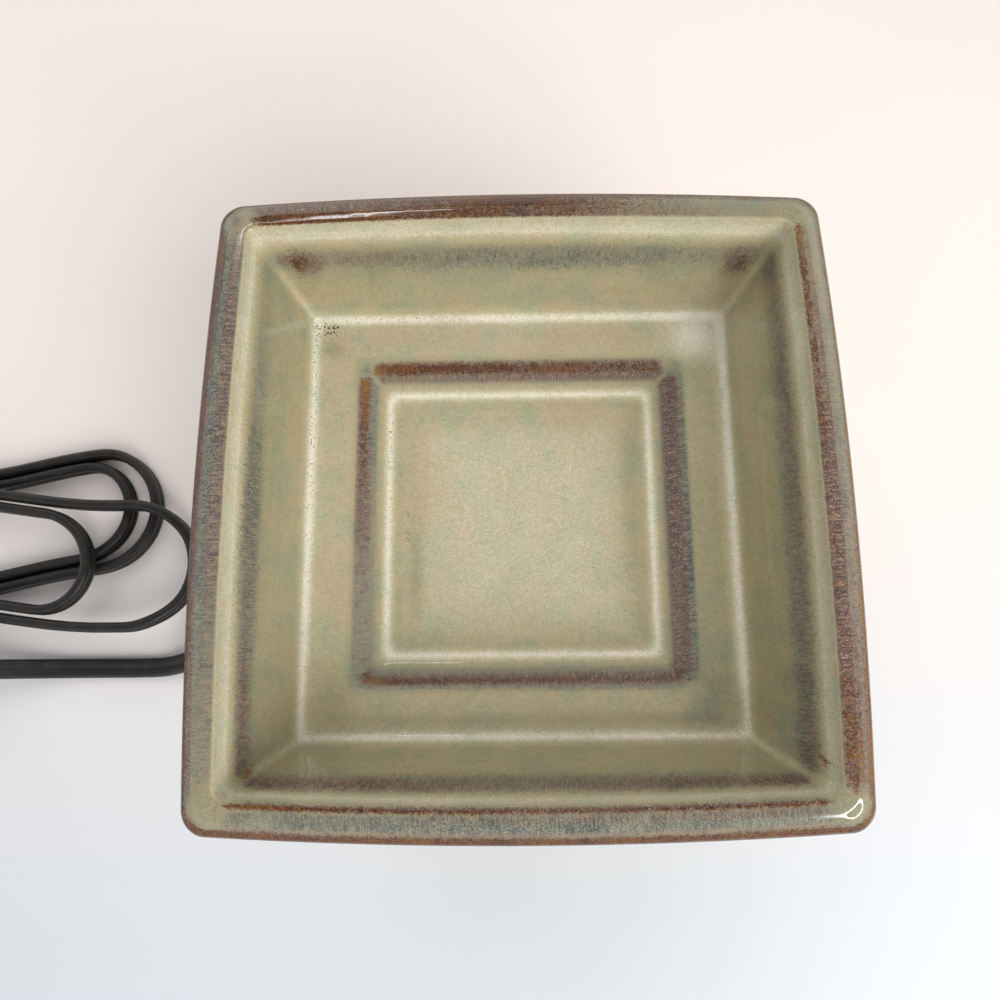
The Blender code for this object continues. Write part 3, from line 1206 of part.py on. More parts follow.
def hank_place(turn):
    """Middle of the cord after so many turns, counted from the leftmost point, clockwise."""
    part = turn - math.floor(turn)
    loop = min(int(turn), HANK_TURNS - 1)
    radius = HANK_INNER_RADIUS + HANK_LANE * hank_lane(turn)
    right_x = HANK_LOOP_X[loop]
    loop_start = QUARTER_SHARE + RUN_SHARE
    loop_end = loop_start + LOOP_SHARE
    if part < QUARTER_SHARE:
        angle = math.radians(180) - part / QUARTER_SHARE * math.radians(90)
        x = HANK_LEFT_X + radius * math.cos(angle)
        across = radius * math.sin(angle)
    elif part < loop_start:
        x = HANK_LEFT_X + (right_x - HANK_LEFT_X) * (part - QUARTER_SHARE) / RUN_SHARE
        across = radius
    elif part > loop_end + RUN_SHARE:
        angle = math.radians(180) + (1 - part) / QUARTER_SHARE * math.radians(90)
        x = HANK_LEFT_X + radius * math.cos(angle)
        across = radius * math.sin(angle)
    elif part > loop_end:
        x = right_x + (HANK_LEFT_X - right_x) * (part - loop_end) / RUN_SHARE
        across = -radius
    else:
        angle = math.radians(90) - (part - loop_start) / LOOP_SHARE * math.radians(180)
        x = right_x + radius * math.cos(angle)
        across = radius * math.sin(angle)
    upper = turn > HANK_TURNS / 2
    fan = HANK_FAN_UPPER if upper else HANK_FAN_LOWER
    spread = smooth_step((x - HANK_WAIST_X) / (HANK_FAN_END_X - HANK_WAIST_X))
    y = HANK_Y + fan * spread + across
    climbed = smooth_step((turn - (HANK_TURNS / 2 - CLIMB_LEAD)) / CLIMB_SHARE)
    climb = (CORD_WIDTH + HANK_LAYER_GAP) * climbed
    droop = HANK_DROOP * smooth_step((x - HANK_DROOP_START_X) / HANK_DROOP_LENGTH) if upper else 0.0
    lift = 0.0
    if across > 0:
        beyond = (abs(x - TIE_X) - TIE_LIFT_REACH) / TIE_LIFT_LENGTH
        lift = (TIE_THICKNESS + GAP) * (1 - smooth_step(beyond))
    return Vector((x, y, CORD_ON_EDGE_Z + climb - droop + lift))


def hank_points():
    """Points along the whole hank: close together round its ends, wider along its runs.

    It starts and ends with a straight stretch as long as the cord is wide.
    """
    shares = []
    start = 0.0
    for share, count in ((QUARTER_SHARE, ARC_POINTS // 2), (RUN_SHARE, RUN_POINTS), (LOOP_SHARE, ARC_POINTS),
                         (RUN_SHARE, RUN_POINTS), (QUARTER_SHARE, ARC_POINTS // 2)):
        shares += [start + share * i / count for i in range(count)]
        start += share
    points = [hank_place(turn + share) for turn in range(HANK_TURNS) for share in shares]
    points.append(hank_place(HANK_TURNS - 1e-9))
    straight = Vector((0, CORD_WIDTH, 0))
    return [points[0] - straight, *points, points[-1] + straight]


def least_gap(points):
    """Least free space between two stretches of the hank's on-edge cord, measured on points."""
    dense = []
    for first, second in zip(points, points[1:]):
        for i in range(4):
            dense.append(first.lerp(second, i / 4))
    travelled = [0.0]
    for first, second in zip(dense, dense[1:]):
        travelled.append(travelled[-1] + (second - first).length)
    least = math.inf
    for i, here in enumerate(dense):
        for j in range(i + 1, len(dense)):
            if travelled[j] - travelled[i] < 5 * CORD_WIDTH:
                continue
            apart = dense[j] - here
            sideways = max(math.hypot(apart.x, apart.y) - CORD_THICKNESS, 0.0)
            upright = max(abs(apart.z) - CORD_WIDTH, 0.0)
            least = min(least, math.hypot(sideways, upright))
    return least


def build_cord(jacket, strap):
    """The cord's run, link, hank and tail, and the strap round the hank's far side."""
    flat = math.radians(90)
    switch_reach = SWITCH_LENGTH / 2 + GAP
    run = smooth_route((
        *straight_end((BUSHING_END_X - GAP, CORD_EXIT_Y, CORD_EXIT_Z), (-1, 0, 0), CORD_WIDTH),
        *RUN_ROUTE,
        *reversed(straight_end((SWITCH_X + switch_reach, SWITCH_Y, SWITCH_Z), (1, 0, 0), CORD_WIDTH)),
    ), CORD_WIDTH)
    cord_curve("supply_cord_run", run, jacket, [flat] * len(run))

    hank = hank_points()
    gap = least_gap(hank)
    print(f"least gap in the hank: {gap * 1000:.2f} mm")

    touching = Vector((0, GAP, 0))
    link = smooth_route((
        *straight_end((SWITCH_X - switch_reach, SWITCH_Y, SWITCH_Z), (-1, 0, 0), CORD_WIDTH),
        *LINK_ROUTE,
        *reversed(straight_end(hank[0] - touching, (0, -1, 0), CORD_WIDTH)),
    ), CORD_WIDTH)
    link_tilts = [flat * (1 - smooth_step((i - 1) / (len(link) - 3))) for i in range(len(link))]
    cord_curve("supply_cord_link", link, jacket, link_tilts)
    cord_curve("supply_cord_hank", hank, jacket, [0.0] * len(hank), resolution=1)

    tail = smooth_route((
        *straight_end(hank[-1] + touching, (0, 1, 0), CORD_WIDTH),
        *TAIL_ROUTE,
        *reversed(straight_end((PLUG_X - GAP, PLUG_Y, PLUG_Z), (-1, 0, 0), CORD_WIDTH)),
    ), CORD_WIDTH)
    tail_tilts = [flat * smooth_step((i - 1) / (len(tail) - 3)) for i in range(len(tail))]
    cord_curve("supply_cord_tail", tail, jacket, tail_tilts)

    length = sum((second - first).length for points in (run, link, hank, tail)
                 for first, second in zip(points, points[1:])) + SWITCH_LENGTH
    print(f"cord length from bushing to plug: {length:.3f} m")

    inner_edge = HANK_Y + HANK_INNER_RADIUS - CORD_THICKNESS / 2 - TIE_SLACK
    outer_edge = HANK_Y + HANK_INNER_RADIUS + 2 * HANK_LANE + CORD_THICKNESS / 2 + TIE_SLACK
    bottom = TIE_THICKNESS + GAP / 2
    top = CORD_ON_EDGE_Z + TIE_THICKNESS + GAP + 1.5 * CORD_WIDTH + HANK_LAYER_GAP + TIE_SLACK
    centre_y = (inner_edge + outer_edge) / 2
    centre_z = (bottom + top) / 2
    half_y = (outer_edge - inner_edge) / 2
    half_z = (top - bottom) / 2
    rings = []
    for side, outwards in ((-1, 0), (1, 0), (1, TIE_THICKNESS), (-1, TIE_THICKNESS)):
        rings.append(rectangle_ring(TIE_X + side * TIE_WIDTH / 2, half_y + outwards, half_z + outwards,
                                    centre_y, centre_z, TIE_CORNER + outwards))
    add_part("cord_tie", loft("cord_tie", rings, closed=True), strap)


def main():
    """Build the whole warmer."""
    clear_scene()
    dish_glaze = make_material("dish_glaze", (0.42, 0.38, 0.25), 0.18)
    body_glaze = make_material("body_glaze", (0.36, 0.32, 0.21), 0.2)
    steel = make_material("zinc_steel", (0.55, 0.56, 0.57), 0.4, 1.0)
    screw_steel = make_material("screw_steel", (0.6, 0.6, 0.6), 0.35, 1.0)
    nylon = make_material("white_nylon", (0.8, 0.8, 0.76), 0.5)
    rubber = make_material("black_rubber", (0.03, 0.03, 0.03), 0.8)
    porcelain = make_material("white_porcelain", (0.85, 0.84, 0.8), 0.25)
    brass = make_material("brass", (0.71, 0.53, 0.22), 0.3, 1.0)
    glass = make_material("clear_glass", (0.95, 0.97, 0.97), 0.05, alpha=0.35)
    jacket = make_material("black_jacket", (0.012, 0.011, 0.011), 0.45)
    case_plastic = make_material("black_case", (0.015, 0.015, 0.015), 0.4)
    wheel_plastic = make_material("grey_wheel", (0.2, 0.2, 0.2), 0.5)
    live = make_material("black_lead", (0.02, 0.02, 0.02), 0.5)
    neutral = make_material("white_lead", (0.75, 0.75, 0.72), 0.5)
    strap = make_material("black_strap", (0.02, 0.02, 0.02), 0.9)

    build_dish(dish_glaze)
    build_body(body_glaze)
    build_feet(rubber)
    build_base(steel, screw_steel, nylon)
    build_bracket(steel, screw_steel)
    build_socket(porcelain, brass, screw_steel)
    build_lamp(glass, brass, screw_steel, screw_steel)
    build_bushing(rubber)
    build_leads(live, neutral)
    build_switch(case_plastic, wheel_plastic, brass, screw_steel)
    build_plug(case_plastic, brass)
    build_cord(jacket, strap)


main()
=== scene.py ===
"""Looks of a square stoneware wax warmer, modelled round its packed construction.

Metres, +Z up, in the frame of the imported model: the origin is on the table under the warmer, and the
cord leaves on the -X side. Each class builds one sub-assembly as numpy surfaces and dresses it in its
finish, and the pieces that need no finer shape keep their solids and get a finish.
"""
from __future__ import annotations

import logging
import math
from dataclasses import dataclass
from enum import Enum
from functools import lru_cache, partial
from typing import Any, Callable, Sequence

import bmesh
import bpy
import numpy as np
from mathutils import Matrix, Vector


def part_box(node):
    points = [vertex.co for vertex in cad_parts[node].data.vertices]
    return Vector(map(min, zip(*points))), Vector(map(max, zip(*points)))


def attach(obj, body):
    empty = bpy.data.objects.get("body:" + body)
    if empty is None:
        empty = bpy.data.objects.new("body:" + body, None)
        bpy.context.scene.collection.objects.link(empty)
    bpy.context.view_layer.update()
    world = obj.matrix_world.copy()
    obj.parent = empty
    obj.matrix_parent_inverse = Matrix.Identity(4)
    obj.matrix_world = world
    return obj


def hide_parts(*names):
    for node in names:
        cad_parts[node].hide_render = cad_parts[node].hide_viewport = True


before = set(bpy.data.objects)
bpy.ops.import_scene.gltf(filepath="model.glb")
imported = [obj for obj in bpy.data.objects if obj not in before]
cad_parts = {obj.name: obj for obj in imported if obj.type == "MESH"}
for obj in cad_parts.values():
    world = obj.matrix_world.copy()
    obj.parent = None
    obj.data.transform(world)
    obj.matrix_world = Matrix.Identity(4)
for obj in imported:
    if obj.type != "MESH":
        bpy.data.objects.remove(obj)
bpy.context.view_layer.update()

LOG = logging.getLogger("wax_warmer")
Array = np.ndarray
NodeMaker = Callable[..., Any]
Noises = Sequence[tuple[Any, float]]
Stops = Sequence[tuple[float, str]]
Corners = Sequence[tuple[float, float, float]]
TAU = 2 * math.pi
# Room between a piece and the one that it sits in, and how near to each other points are one
GAP = 0.0003
MERGE_DISTANCE = 1e-7


# Colours and shader nodes

def linear(hex_colour: str) -> tuple[float, float, float, float]:
    """Turn an sRGB hex value to linear colour.

    Args:
        hex_colour: six hex digits after a hash mark.

    Returns:
        Red, green, blue and an alpha of 1.
    """
    shown = np.array([int(hex_colour[i:i + 2], 16) for i in (1, 3, 5)]) / 255
    bright = ((shown + 0.055) / 1.055) ** 2.4
    red, green, blue = np.where(shown <= 0.04045, shown / 12.92, bright).tolist()
    return red, green, blue, 1.0


def add_node(tree: bpy.types.NodeTree, kind: str, inputs: dict[Any, Any] | None = None, out: Any = 0,
             stops: Stops = (), **settings: Any) -> Any:
    """Add a node with its settings and links.

    Args:
        tree: the node tree.
        kind: the node's type name after ShaderNode.
        inputs: a value or a linked socket for each named or numbered input.
        out: name or number of the output that is wanted.
        stops: places and hex colours, where the node is a colour ramp.
        settings: the node's own properties.

    Returns:
        The wanted output socket, or None where the node has no output.
    """
    node = tree.nodes.new("ShaderNode" + kind)
    for name, value in settings.items():
        setattr(node, name, value)
    for key, value in (inputs or {}).items():
        if isinstance(value, bpy.types.NodeSocket):
            tree.links.new(value, node.inputs[key])
        else:
            node.inputs[key].default_value = value
    if stops:
        elements = node.color_ramp.elements
        while len(elements) < len(stops):
            elements.new(1.0)
        for element, (place, colour) in zip(elements, stops):
            element.position = place
            element.color = linear(colour)
    return node.outputs[out] if node.outputs else None


def fresh_nodes(owner: bpy.types.Material | bpy.types.World) -> NodeMaker:
    """Empty the node tree of a material or a world, and return what adds nodes to it."""
    owner.use_nodes = True
    owner.node_tree.nodes.clear()
    return partial(add_node, owner.node_tree)


@dataclass(frozen=True)
class Finish:
    """A finish with a maker's name; each kind says what its Principled shader gets."""

    name: str

    def shade(self, add: NodeMaker) -> dict[str, Any]:
        """Add the finish's nodes.

        Args:
            add: adds a node to the finish's tree.

        Returns:
            The shader's inputs.
        """
        raise NotImplementedError


@lru_cache(maxsize=None)
def material_of(finish: Finish) -> bpy.types.Material:
    """Make a finish's material, once for each finish.

    Args:
        finish: the finish.

    Returns:
        The finish's material.
    """
    material = bpy.data.materials.new(finish.name)
    add = fresh_nodes(material)
    add("OutputMaterial", {"Surface": add("BsdfPrincipled", finish.shade(add))})
    return material


@dataclass(frozen=True)
class ReactiveGlaze(Finish):
    """Stoneware with a fired reactive glaze: glossy, pale where it pools and dark where it breaks.

    The mesh's attributes say how thick the glaze lies, with painted highlight and painted shade added in
    places (pool), where iron breaks through it rust brown (rust) and where that iron pools golden (amber),
    where it turns plum (plum), where it floats grey-blue (ash), where it is pitted (speck) and where the clay
    is bare (bare). Its UV map runs along and down each side, so that the fine runs follow the way the glaze
    flowed.
    """

    grain_mm: float = 0.42
    run_mm: float = 0.42
    run_length_mm: float = 3.5
    cloud_mm: float = 15.0
    ripple_mm: float = 7.0
    speck_mm: float = 0.8

    def shade(self, add: NodeMaker) -> dict[str, Any]:
        """Break the glaze's colour by its thickness, its runs, its clouds and its grain."""
        place = add("TexCoord", out="Object")
        flow = add("UVMap", uv_map="flow")
        pool, rust, amber, plum, ash, speck, bare = (
            add("Attribute", out="Fac", attribute_name=name)
            for name in ("pool", "rust", "amber", "plum", "ash", "speck", "bare"))
        # Size in millimetres, detail, and a shift that makes two noises of one size differ
        grain, fleck, mottle, cloud, tint, ripple = (
            add("TexNoise", {"Vector": add("Mapping", {"Vector": place, "Location": (shift, 0, 0)}),
                             "Scale": 1000 / size, "Detail": detail, "Roughness": 0.6})
            for size, detail, shift in (
                (self.grain_mm, 2.0, 0.0), (self.grain_mm * 1.15, 2.0, 0.37), (self.grain_mm * 4, 2.0, 0.0),
                (self.cloud_mm, 3.0, 0.0), (self.cloud_mm * 0.6, 2.0, 0.71), (self.ripple_mm, 1.0, 0.5)))
        drawn = add("Mapping", {"Vector": flow,
                                "Scale": (1000 / self.run_mm, 1000 / self.run_length_mm, 1.0)})
        runs = add("TexNoise", {"Vector": drawn, "Scale": 1.0, "Detail": 2.0, "Roughness": 0.6})

        def mixed(start: Any, noises: Noises) -> Any:
            """Add centred noises to a value, each times its amount."""
            for noise, amount in noises:
                centred = add("Math", {0: noise, 1: 0.5}, operation="SUBTRACT")
                start = add("Math", {0: centred, 1: amount, 2: start}, operation="MULTIPLY_ADD")
            return start

        # The glaze's thickness; on the dish the pool attribute also carries painted highlight in the fillets
        # and painted shade on the front and right ledges.
        thickness = mixed(pool, ((grain, 0.42), (mottle, 0.22), (cloud, 0.18), (runs, 0.16)))
        golden = add("Math", {0: amber, 1: 0.36, 2: 0.44}, operation="MULTIPLY_ADD")
        # Each tone's middle, the noises that it drifts with, and its colours from thin to thick
        cream_tone, sage_tone, ash_tone, plum_tone, rust_tone, clay_tone = (
            add("ValToRGB", {"Fac": mixed(middle, noises)}, out="Color", stops=stops)
            for middle, noises, stops in (
                (thickness, (), (
                    (0.00, "#584E42"), (0.20, "#776E5E"), (0.36, "#8F8970"), (0.50, "#A29A7B"),
                    (0.60, "#ADA283"), (0.70, "#B7AB8D"), (0.80, "#C0B79E"), (0.90, "#D2CCB5"),
                    (1.0, "#E2DECF"))),
                (thickness, (), (
                    (0.20, "#6B7062"), (0.45, "#8C9078"), (0.65, "#A0A184"), (0.85, "#BDBDA2"),
                    (1.0, "#D6D6C6"))),
                (0.5, ((fleck, 2.0), (tint, 0.6), (runs, 0.9)), (
                    (0.20, "#40484C"), (0.50, "#666A65"), (0.80, "#8E8E78"))),
                (0.5, ((grain, 1.7), (runs, 1.4)), (
                    (0.20, "#413337"), (0.50, "#6C5953"), (0.80, "#96826F"))),
                (golden, ((runs, 1.0), (tint, 0.7), (grain, 1.1)), (
                    (0.12, "#291407"), (0.36, "#47250F"), (0.56, "#643C1D"), (0.76, "#754F24"),
                    (1.0, "#855F22"))),
                (0.5, ((grain, 1.0),), (
                    (0.3, "#A08A6E"), (0.5, "#BCA78A"), (0.7, "#CDBCA0")))))
        # Each layer's amount, where its grainy edge starts and is whole, and the noises that fray it
        sage_mask, ash_mask, plum_mask, rust_mask = (
            add("MapRange", {"Value": mixed(amount, noises), "From Min": low, "From Max": high},
                interpolation_type="SMOOTHSTEP")
            for amount, low, high, noises in (
                (0.46, 0.30, 0.80, ((tint, 1.6), (cloud, 1.2), (fleck, 0.6))),
                (ash, 0.24, 0.86, ((fleck, 2.0), (mottle, 0.7), (cloud, 0.4))),
                (plum, 0.26, 0.80, ((grain, 1.9), (runs, 0.8), (mottle, 0.5), (cloud, 0.4))),
                (rust, 0.24, 0.90, ((fleck, 1.6), (runs, 0.7), (mottle, 0.7), (tint, 0.4)))))
        cells = add("TexVoronoi", {"Vector": place, "Scale": 1000 / self.speck_mm}, out="Distance")
        uneven = add("Math", {0: fleck, 1: 1.15}, operation="MULTIPLY")
        reach = add("Math", {0: speck, 1: uneven}, operation="MULTIPLY")
        pit = add("Math", {0: cells, 1: reach}, operation="LESS_THAN")
        colour = cream_tone
        for top, amount in ((sage_tone, sage_mask), (ash_tone, ash_mask), (plum_tone, plum_mask),
                            (rust_tone, rust_mask), (linear("#655A45"), pit), (clay_tone, bare)):
            colour = add("Mix", {0: amount, 6: colour, 7: top}, out=2, data_type="RGBA")
        relief = mixed(ripple, ((grain, 0.05), (pit, -0.06)))
        bump = add("Bump", {"Height": relief, "Strength": 0.22, "Distance": 0.0002})
        gloss = add("Math", {0: ash_mask, 1: 0.05, 2: 0.06}, operation="MULTIPLY_ADD")
        roughness = add("Mix", {0: bare, 2: gloss, 3: 0.85}, out=0, data_type="FLOAT")
        return {"Base Color": colour, "Roughness": roughness, "Normal": bump, "IOR": 1.52}


@dataclass(frozen=True)
class MouldedPlastic(Finish):
    """Injection-moulded plastic or rubber: a fine even grain, and a slight drift of its colour."""

    colour: str = "#1B1A1A"
    light: str = "#262524"
    roughness: float = 0.42
    grain_mm: float = 0.5
    grain_depth: float = 0.00003

    def shade(self, add: NodeMaker) -> dict[str, Any]:
        """Drift the colour and the gloss with two sizes of noise."""
        place = add("TexCoord", out="Object")
        drift = add("TexNoise", {"Vector": place, "Scale": 1000 / 9.0, "Detail": 4.0})
        grain = add("TexNoise", {"Vector": place, "Scale": 1000 / self.grain_mm, "Detail": 2.0})
        colour = add("ValToRGB", {"Fac": drift}, out="Color",
                     stops=((0.35, self.colour), (0.65, self.light)))
        gloss = add("MapRange", {"Value": drift, "From Min": 0.3, "From Max": 0.7,
                                 "To Min": self.roughness - 0.06, "To Max": self.roughness + 0.06})
        bump = add("Bump", {"Height": grain, "Strength": 0.4, "Distance": self.grain_depth})
        return {"Base Color": colour, "Roughness": gloss, "Normal": bump, "IOR": 1.5}


@dataclass(frozen=True)
class CordJacket(Finish):
    """Extruded PVC jacket: satin black, with fine die lines along it and a little dust."""

    def shade(self, add: NodeMaker) -> dict[str, Any]:
        """Stretch a noise along the cord's own map for the die lines."""
        lines = add("Mapping", {"Vector": add("UVMap", uv_map="flow"), "Scale": (3200.0, 18.0, 1.0)})
        drawn = add("TexNoise", {"Vector": lines, "Scale": 1.0, "Detail": 2.0})
        dust = add("TexNoise", {"Vector": add("TexCoord", out="Object"), "Scale": 1000 / 5.0,
                                "Detail": 5.0, "Roughness": 0.7})
        colour = add("ValToRGB", {"Fac": dust}, out="Color",
                     stops=((0.45, "#1A1918"), (0.62, "#252321"), (0.78, "#35322E")))
        gloss = add("MapRange", {"Value": dust, "From Min": 0.3, "From Max": 0.75,
                                 "To Min": 0.34, "To Max": 0.52})
        bump = add("Bump", {"Height": drawn, "Strength": 0.25, "Distance": 0.00004})
        return {"Base Color": colour, "Roughness": gloss, "Normal": bump, "IOR": 1.5}


@dataclass(frozen=True)
class PlatedMetal(Finish):
    """Plated or rolled metal: faint rolling lines and a cloudy tarnish."""

    colour: str = "#A9ABAC"
    tarnish: str = "#8C8E8E"
    roughness: float = 0.32
    patch_mm: float = 2.5

    def shade(self, add: NodeMaker) -> dict[str, Any]:
        """Cloud the metal's colour and gloss, and draw fine lines along X."""
        place = add("TexCoord", out="Object")
        patch = add("TexNoise", {"Vector": place, "Scale": 1000 / self.patch_mm, "Detail": 4.0,
                                 "Roughness": 0.6})
        rolled = add("Mapping", {"Vector": place, "Scale": (90.0, 2200.0, 2200.0)})
        lines = add("TexNoise", {"Vector": rolled, "Scale": 1.0, "Detail": 2.0})
        colour = add("ValToRGB", {"Fac": patch}, out="Color",
                     stops=((0.35, self.tarnish), (0.62, self.colour)))
        gloss = add("MapRange", {"Value": patch, "From Min": 0.3, "From Max": 0.7,
                                 "To Min": self.roughness + 0.10, "To Max": self.roughness - 0.04})
        bump = add("Bump", {"Height": lines, "Strength": 0.2, "Distance": 0.00002})
        return {"Base Color": colour, "Roughness": gloss, "Normal": bump, "Metallic": 1.0}


@dataclass(frozen=True)
class FiredPorcelain(Finish):
    """Glazed electrical porcelain: clean white, a few iron specks and a soft ripple in the gloss."""

    def shade(self, add: NodeMaker) -> dict[str, Any]:
        """Scatter small specks on a barely drifting white."""
        place = add("TexCoord", out="Object")
        drift = add("TexNoise", {"Vector": place, "Scale": 1000 / 7.0, "Detail": 2.0})
        white = add("ValToRGB", {"Fac": drift}, out="Color", stops=((0.3, "#DAD5C9"), (0.7, "#EAE6DC")))
        cells = add("TexVoronoi", {"Vector": place, "Scale": 1000 / 2.6}, out="Distance")
        speck = add("Math", {0: cells, 1: 0.055}, operation="LESS_THAN")
        colour = add("Mix", {0: speck, 6: white, 7: linear("#8A7862")}, out=2, data_type="RGBA")
        bump = add("Bump", {"Height": drift, "Strength": 0.15, "Distance": 0.0001})
        return {"Base Color": colour, "Roughness": 0.16, "Normal": bump, "IOR": 1.54}


@dataclass(frozen=True)
class LampGlass(Finish):
    """Blown soda-lime glass: clear and thin, with the slight waves of blowing."""

    def shade(self, add: NodeMaker) -> dict[str, Any]:
        """Wave the surface a little."""
        wave = add("TexNoise", {"Vector": add("TexCoord", out="Object"), "Scale": 1000 / 8.0, "Detail": 1.0})
        bump = add("Bump", {"Height": wave, "Strength": 0.12, "Distance": 0.0002})
        return {"Base Color": linear("#F4F7F5"), "Roughness": 0.02, "Normal": bump, "IOR": 1.5,
                "Transmission Weight": 1.0}


@dataclass(frozen=True)
class WovenStrap(Finish):
    """Napped hook-and-loop strap: matt black, its loops in short crossing rows."""

    def shade(self, add: NodeMaker) -> dict[str, Any]:
        """Cross two waves a thread apart for the weave, under a fuzzy sheen."""
        run = add("UVMap", uv_map="flow")
        across, along = (add("TexWave", {"Vector": run, "Scale": 1000 / 0.9, "Distortion": 1.5},
                             bands_direction=way) for way in "XY")
        weave = add("Math", {0: across, 1: along}, operation="MULTIPLY")
        colour = add("ValToRGB", {"Fac": weave}, out="Color", stops=((0.0, "#141414"), (1.0, "#343332")))
        bump = add("Bump", {"Height": weave, "Strength": 0.6, "Distance": 0.0003})
        return {"Base Color": colour, "Roughness": 0.9, "Normal": bump, "Sheen Weight": 0.3}


@dataclass(frozen=True)
class TableTop(Finish):
    """Painted pale table: nearly white, with a very soft cloud, and a painted cool grey-blue shade towards
    the front.
    """

    def shade(self, add: NodeMaker) -> dict[str, Any]:
        """Drift a near-white paint a little, and paint a cool grey-blue shade towards the front."""
        place = add("TexCoord", out="Object")
        cloud = add("TexNoise", {"Vector": place, "Scale": 5.0, "Detail": 2.0})
        depth = add("SeparateXYZ", {0: place}, out="Y")
        painted_shade_fade = add("MapRange", {"Value": depth, "From Min": -0.16, "From Max": 0.10},
                   interpolation_type="SMOOTHSTEP")
        warm = add("ValToRGB", {"Fac": cloud}, out="Color", stops=((0.3, "#F3EAE7"), (0.7, "#F7EFEC")))
        # Painted shade: a cool grey-blue at the front of the table, fading out towards the back.
        colour = add("Mix", {0: painted_shade_fade, 6: linear("#D2D9E3"), 7: warm}, out=2, data_type="RGBA")
        return {"Base Color": colour, "Roughness": 0.6}


# Stoneware under a reactive glaze, the same batch on the dish and on the housing
GLAZE = ReactiveGlaze("reactive_glazed_stoneware")
# Soft rubber, dull and faintly grainy
FOOT_RUBBER = MouldedPlastic("moulded_rubber", "#1D1C1B", "#2A2827", 0.7, 0.4, 0.00004)
BUSHING_RUBBER = MouldedPlastic("moulded_soft_pvc", "#1B1A1A", "#252423", 0.5, 0.4, 0.00003)
# Glossier hard case plastic, and the grey one of the wheel
CASE_PLASTIC = MouldedPlastic("moulded_abs_black", "#191919", "#232322", 0.36, 0.35, 0.00002)
WHEEL_PLASTIC = MouldedPlastic("moulded_abs_grey", "#6E6C68", "#7B7975", 0.45, 0.35, 0.00002)
PLUG_PLASTIC = MouldedPlastic("moulded_pvc_plug", "#1A1918", "#242322", 0.44, 0.4, 0.00003)
# Milky nylon, wax-like
NYLON = MouldedPlastic("moulded_nylon", "#DEDBCF", "#E8E6DC", 0.5, 0.6, 0.00002)
# Wire insulation of the two inner leads
LEAD_BLACK = MouldedPlastic("lead_insulation_black", "#191817", "#242221", 0.4, 0.3, 0.00001)
LEAD_WHITE = MouldedPlastic("lead_insulation_white", "#D6D2C8", "#E2DFD6", 0.42, 0.3, 0.00001)
JACKET = CordJacket("extruded_pvc_jacket")
# Zinc-plated sheet with a soft spangle, brighter screw plating, and the metals of the lamp
ZINC_SHEET = PlatedMetal("zinc_plated_steel_sheet", "#A7A9AA", "#8D9090", 0.36, 3.5)
SCREW_PLATING = PlatedMetal("nickel_plated_steel", "#B4B2AC", "#96948F", 0.26, 1.5)
BRASS = PlatedMetal("rolled_brass", "#C7A75A", "#A88842", 0.28, 2.0)
SOLDER = PlatedMetal("tin_solder", "#B9BABA", "#8F9191", 0.38, 0.8)
TUNGSTEN = PlatedMetal("drawn_tungsten", "#7E7C78", "#5F5D5A", 0.4, 1.0)
# White glazed porcelain, clear glass, the black strap and the paint that all stands on
PORCELAIN = FiredPorcelain("fired_porcelain")
GLASS = LampGlass("blown_clear_glass")
STRAP = WovenStrap("hook_and_loop_strap")
TABLE = TableTop("painted_table")


# Surfaces worked out as arrays

@dataclass
class Surface:
    """A grid or a join of grids: points, quads, each quad corner's map place, and attributes."""

    points: Array
    quads: Array
    flow: Array | None = None
    tones: dict[str, Array] | None = None

    def moved(self, matrix: Matrix) -> Surface:
        """Return the surface moved by a rigid matrix."""
        turn, shift = np.array(matrix.to_3x3()), np.array(matrix.to_translation())
        return Surface(self.points @ turn.T + shift, self.quads, self.flow, self.tones)

    def mesh(self, name: str) -> bpy.types.Mesh:
        """Put the surface's points and quads into a new mesh."""
        mesh = bpy.data.meshes.new(name)
        mesh.from_pydata(self.points, [], self.quads)
        return mesh

    def finished_mesh(self, name: str, sharp: float | None) -> bpy.types.Mesh:
        """Make a mesh with the map, the attributes and merged doubles.

        Args:
            name: the mesh's name.
            sharp: edges sharper than this many degrees stay sharp, or None for a smooth skin.

        Returns:
            The mesh.
        """
        mesh = self.mesh(name)
        if self.flow is not None:
            layer = mesh.uv_layers.new(name="flow")
            layer.data.foreach_set("uv", self.flow.astype(np.float32).ravel())
        for tone, values in (self.tones or {}).items():
            attribute = mesh.attributes.new(tone, "FLOAT", "POINT")
            attribute.data.foreach_set("value", values.astype(np.float32).ravel())
        merge_doubles(mesh)
        mesh.shade_smooth()
        if sharp is not None:
            mesh.set_sharp_from_angle(angle=math.radians(sharp))
        return mesh


@dataclass(frozen=True)
class Box:
    """The box of one of the construction's nodes."""

    low: Array
    high: Array

    @classmethod
    def of(cls, node: str) -> Box:
        """Read a node's box."""
        return cls(*(np.array(corner, dtype=float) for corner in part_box(node)))

    @property
    def half(self) -> Array:
        """Half of its sizes."""
        return (self.high - self.low) / 2

    @property
    def middle(self) -> Array:
        """Its middle."""
        return (self.low + self.high) / 2


def linked(name: str, data: bpy.types.ID) -> bpy.types.Object:
    """Make an object of some data and link it to the scene."""
    thing = bpy.data.objects.new(name, data)
    bpy.context.scene.collection.objects.link(thing)
    return thing


def smooth_step(value: Array | float, start: float = 0.0, end: float = 1.0) -> Array:
    """Return 0 before start, 1 past end and an even S between: 3t^2 - 2t^3."""
    share = np.clip((np.asarray(value, dtype=float) - start) / (end - start), 0.0, 1.0)
    return share * share * (3 - 2 * share)


def unit(ways: Array) -> Array:
    """Scale rows of directions to a length of 1."""
    return ways / np.linalg.norm(ways, axis=1, keepdims=True)


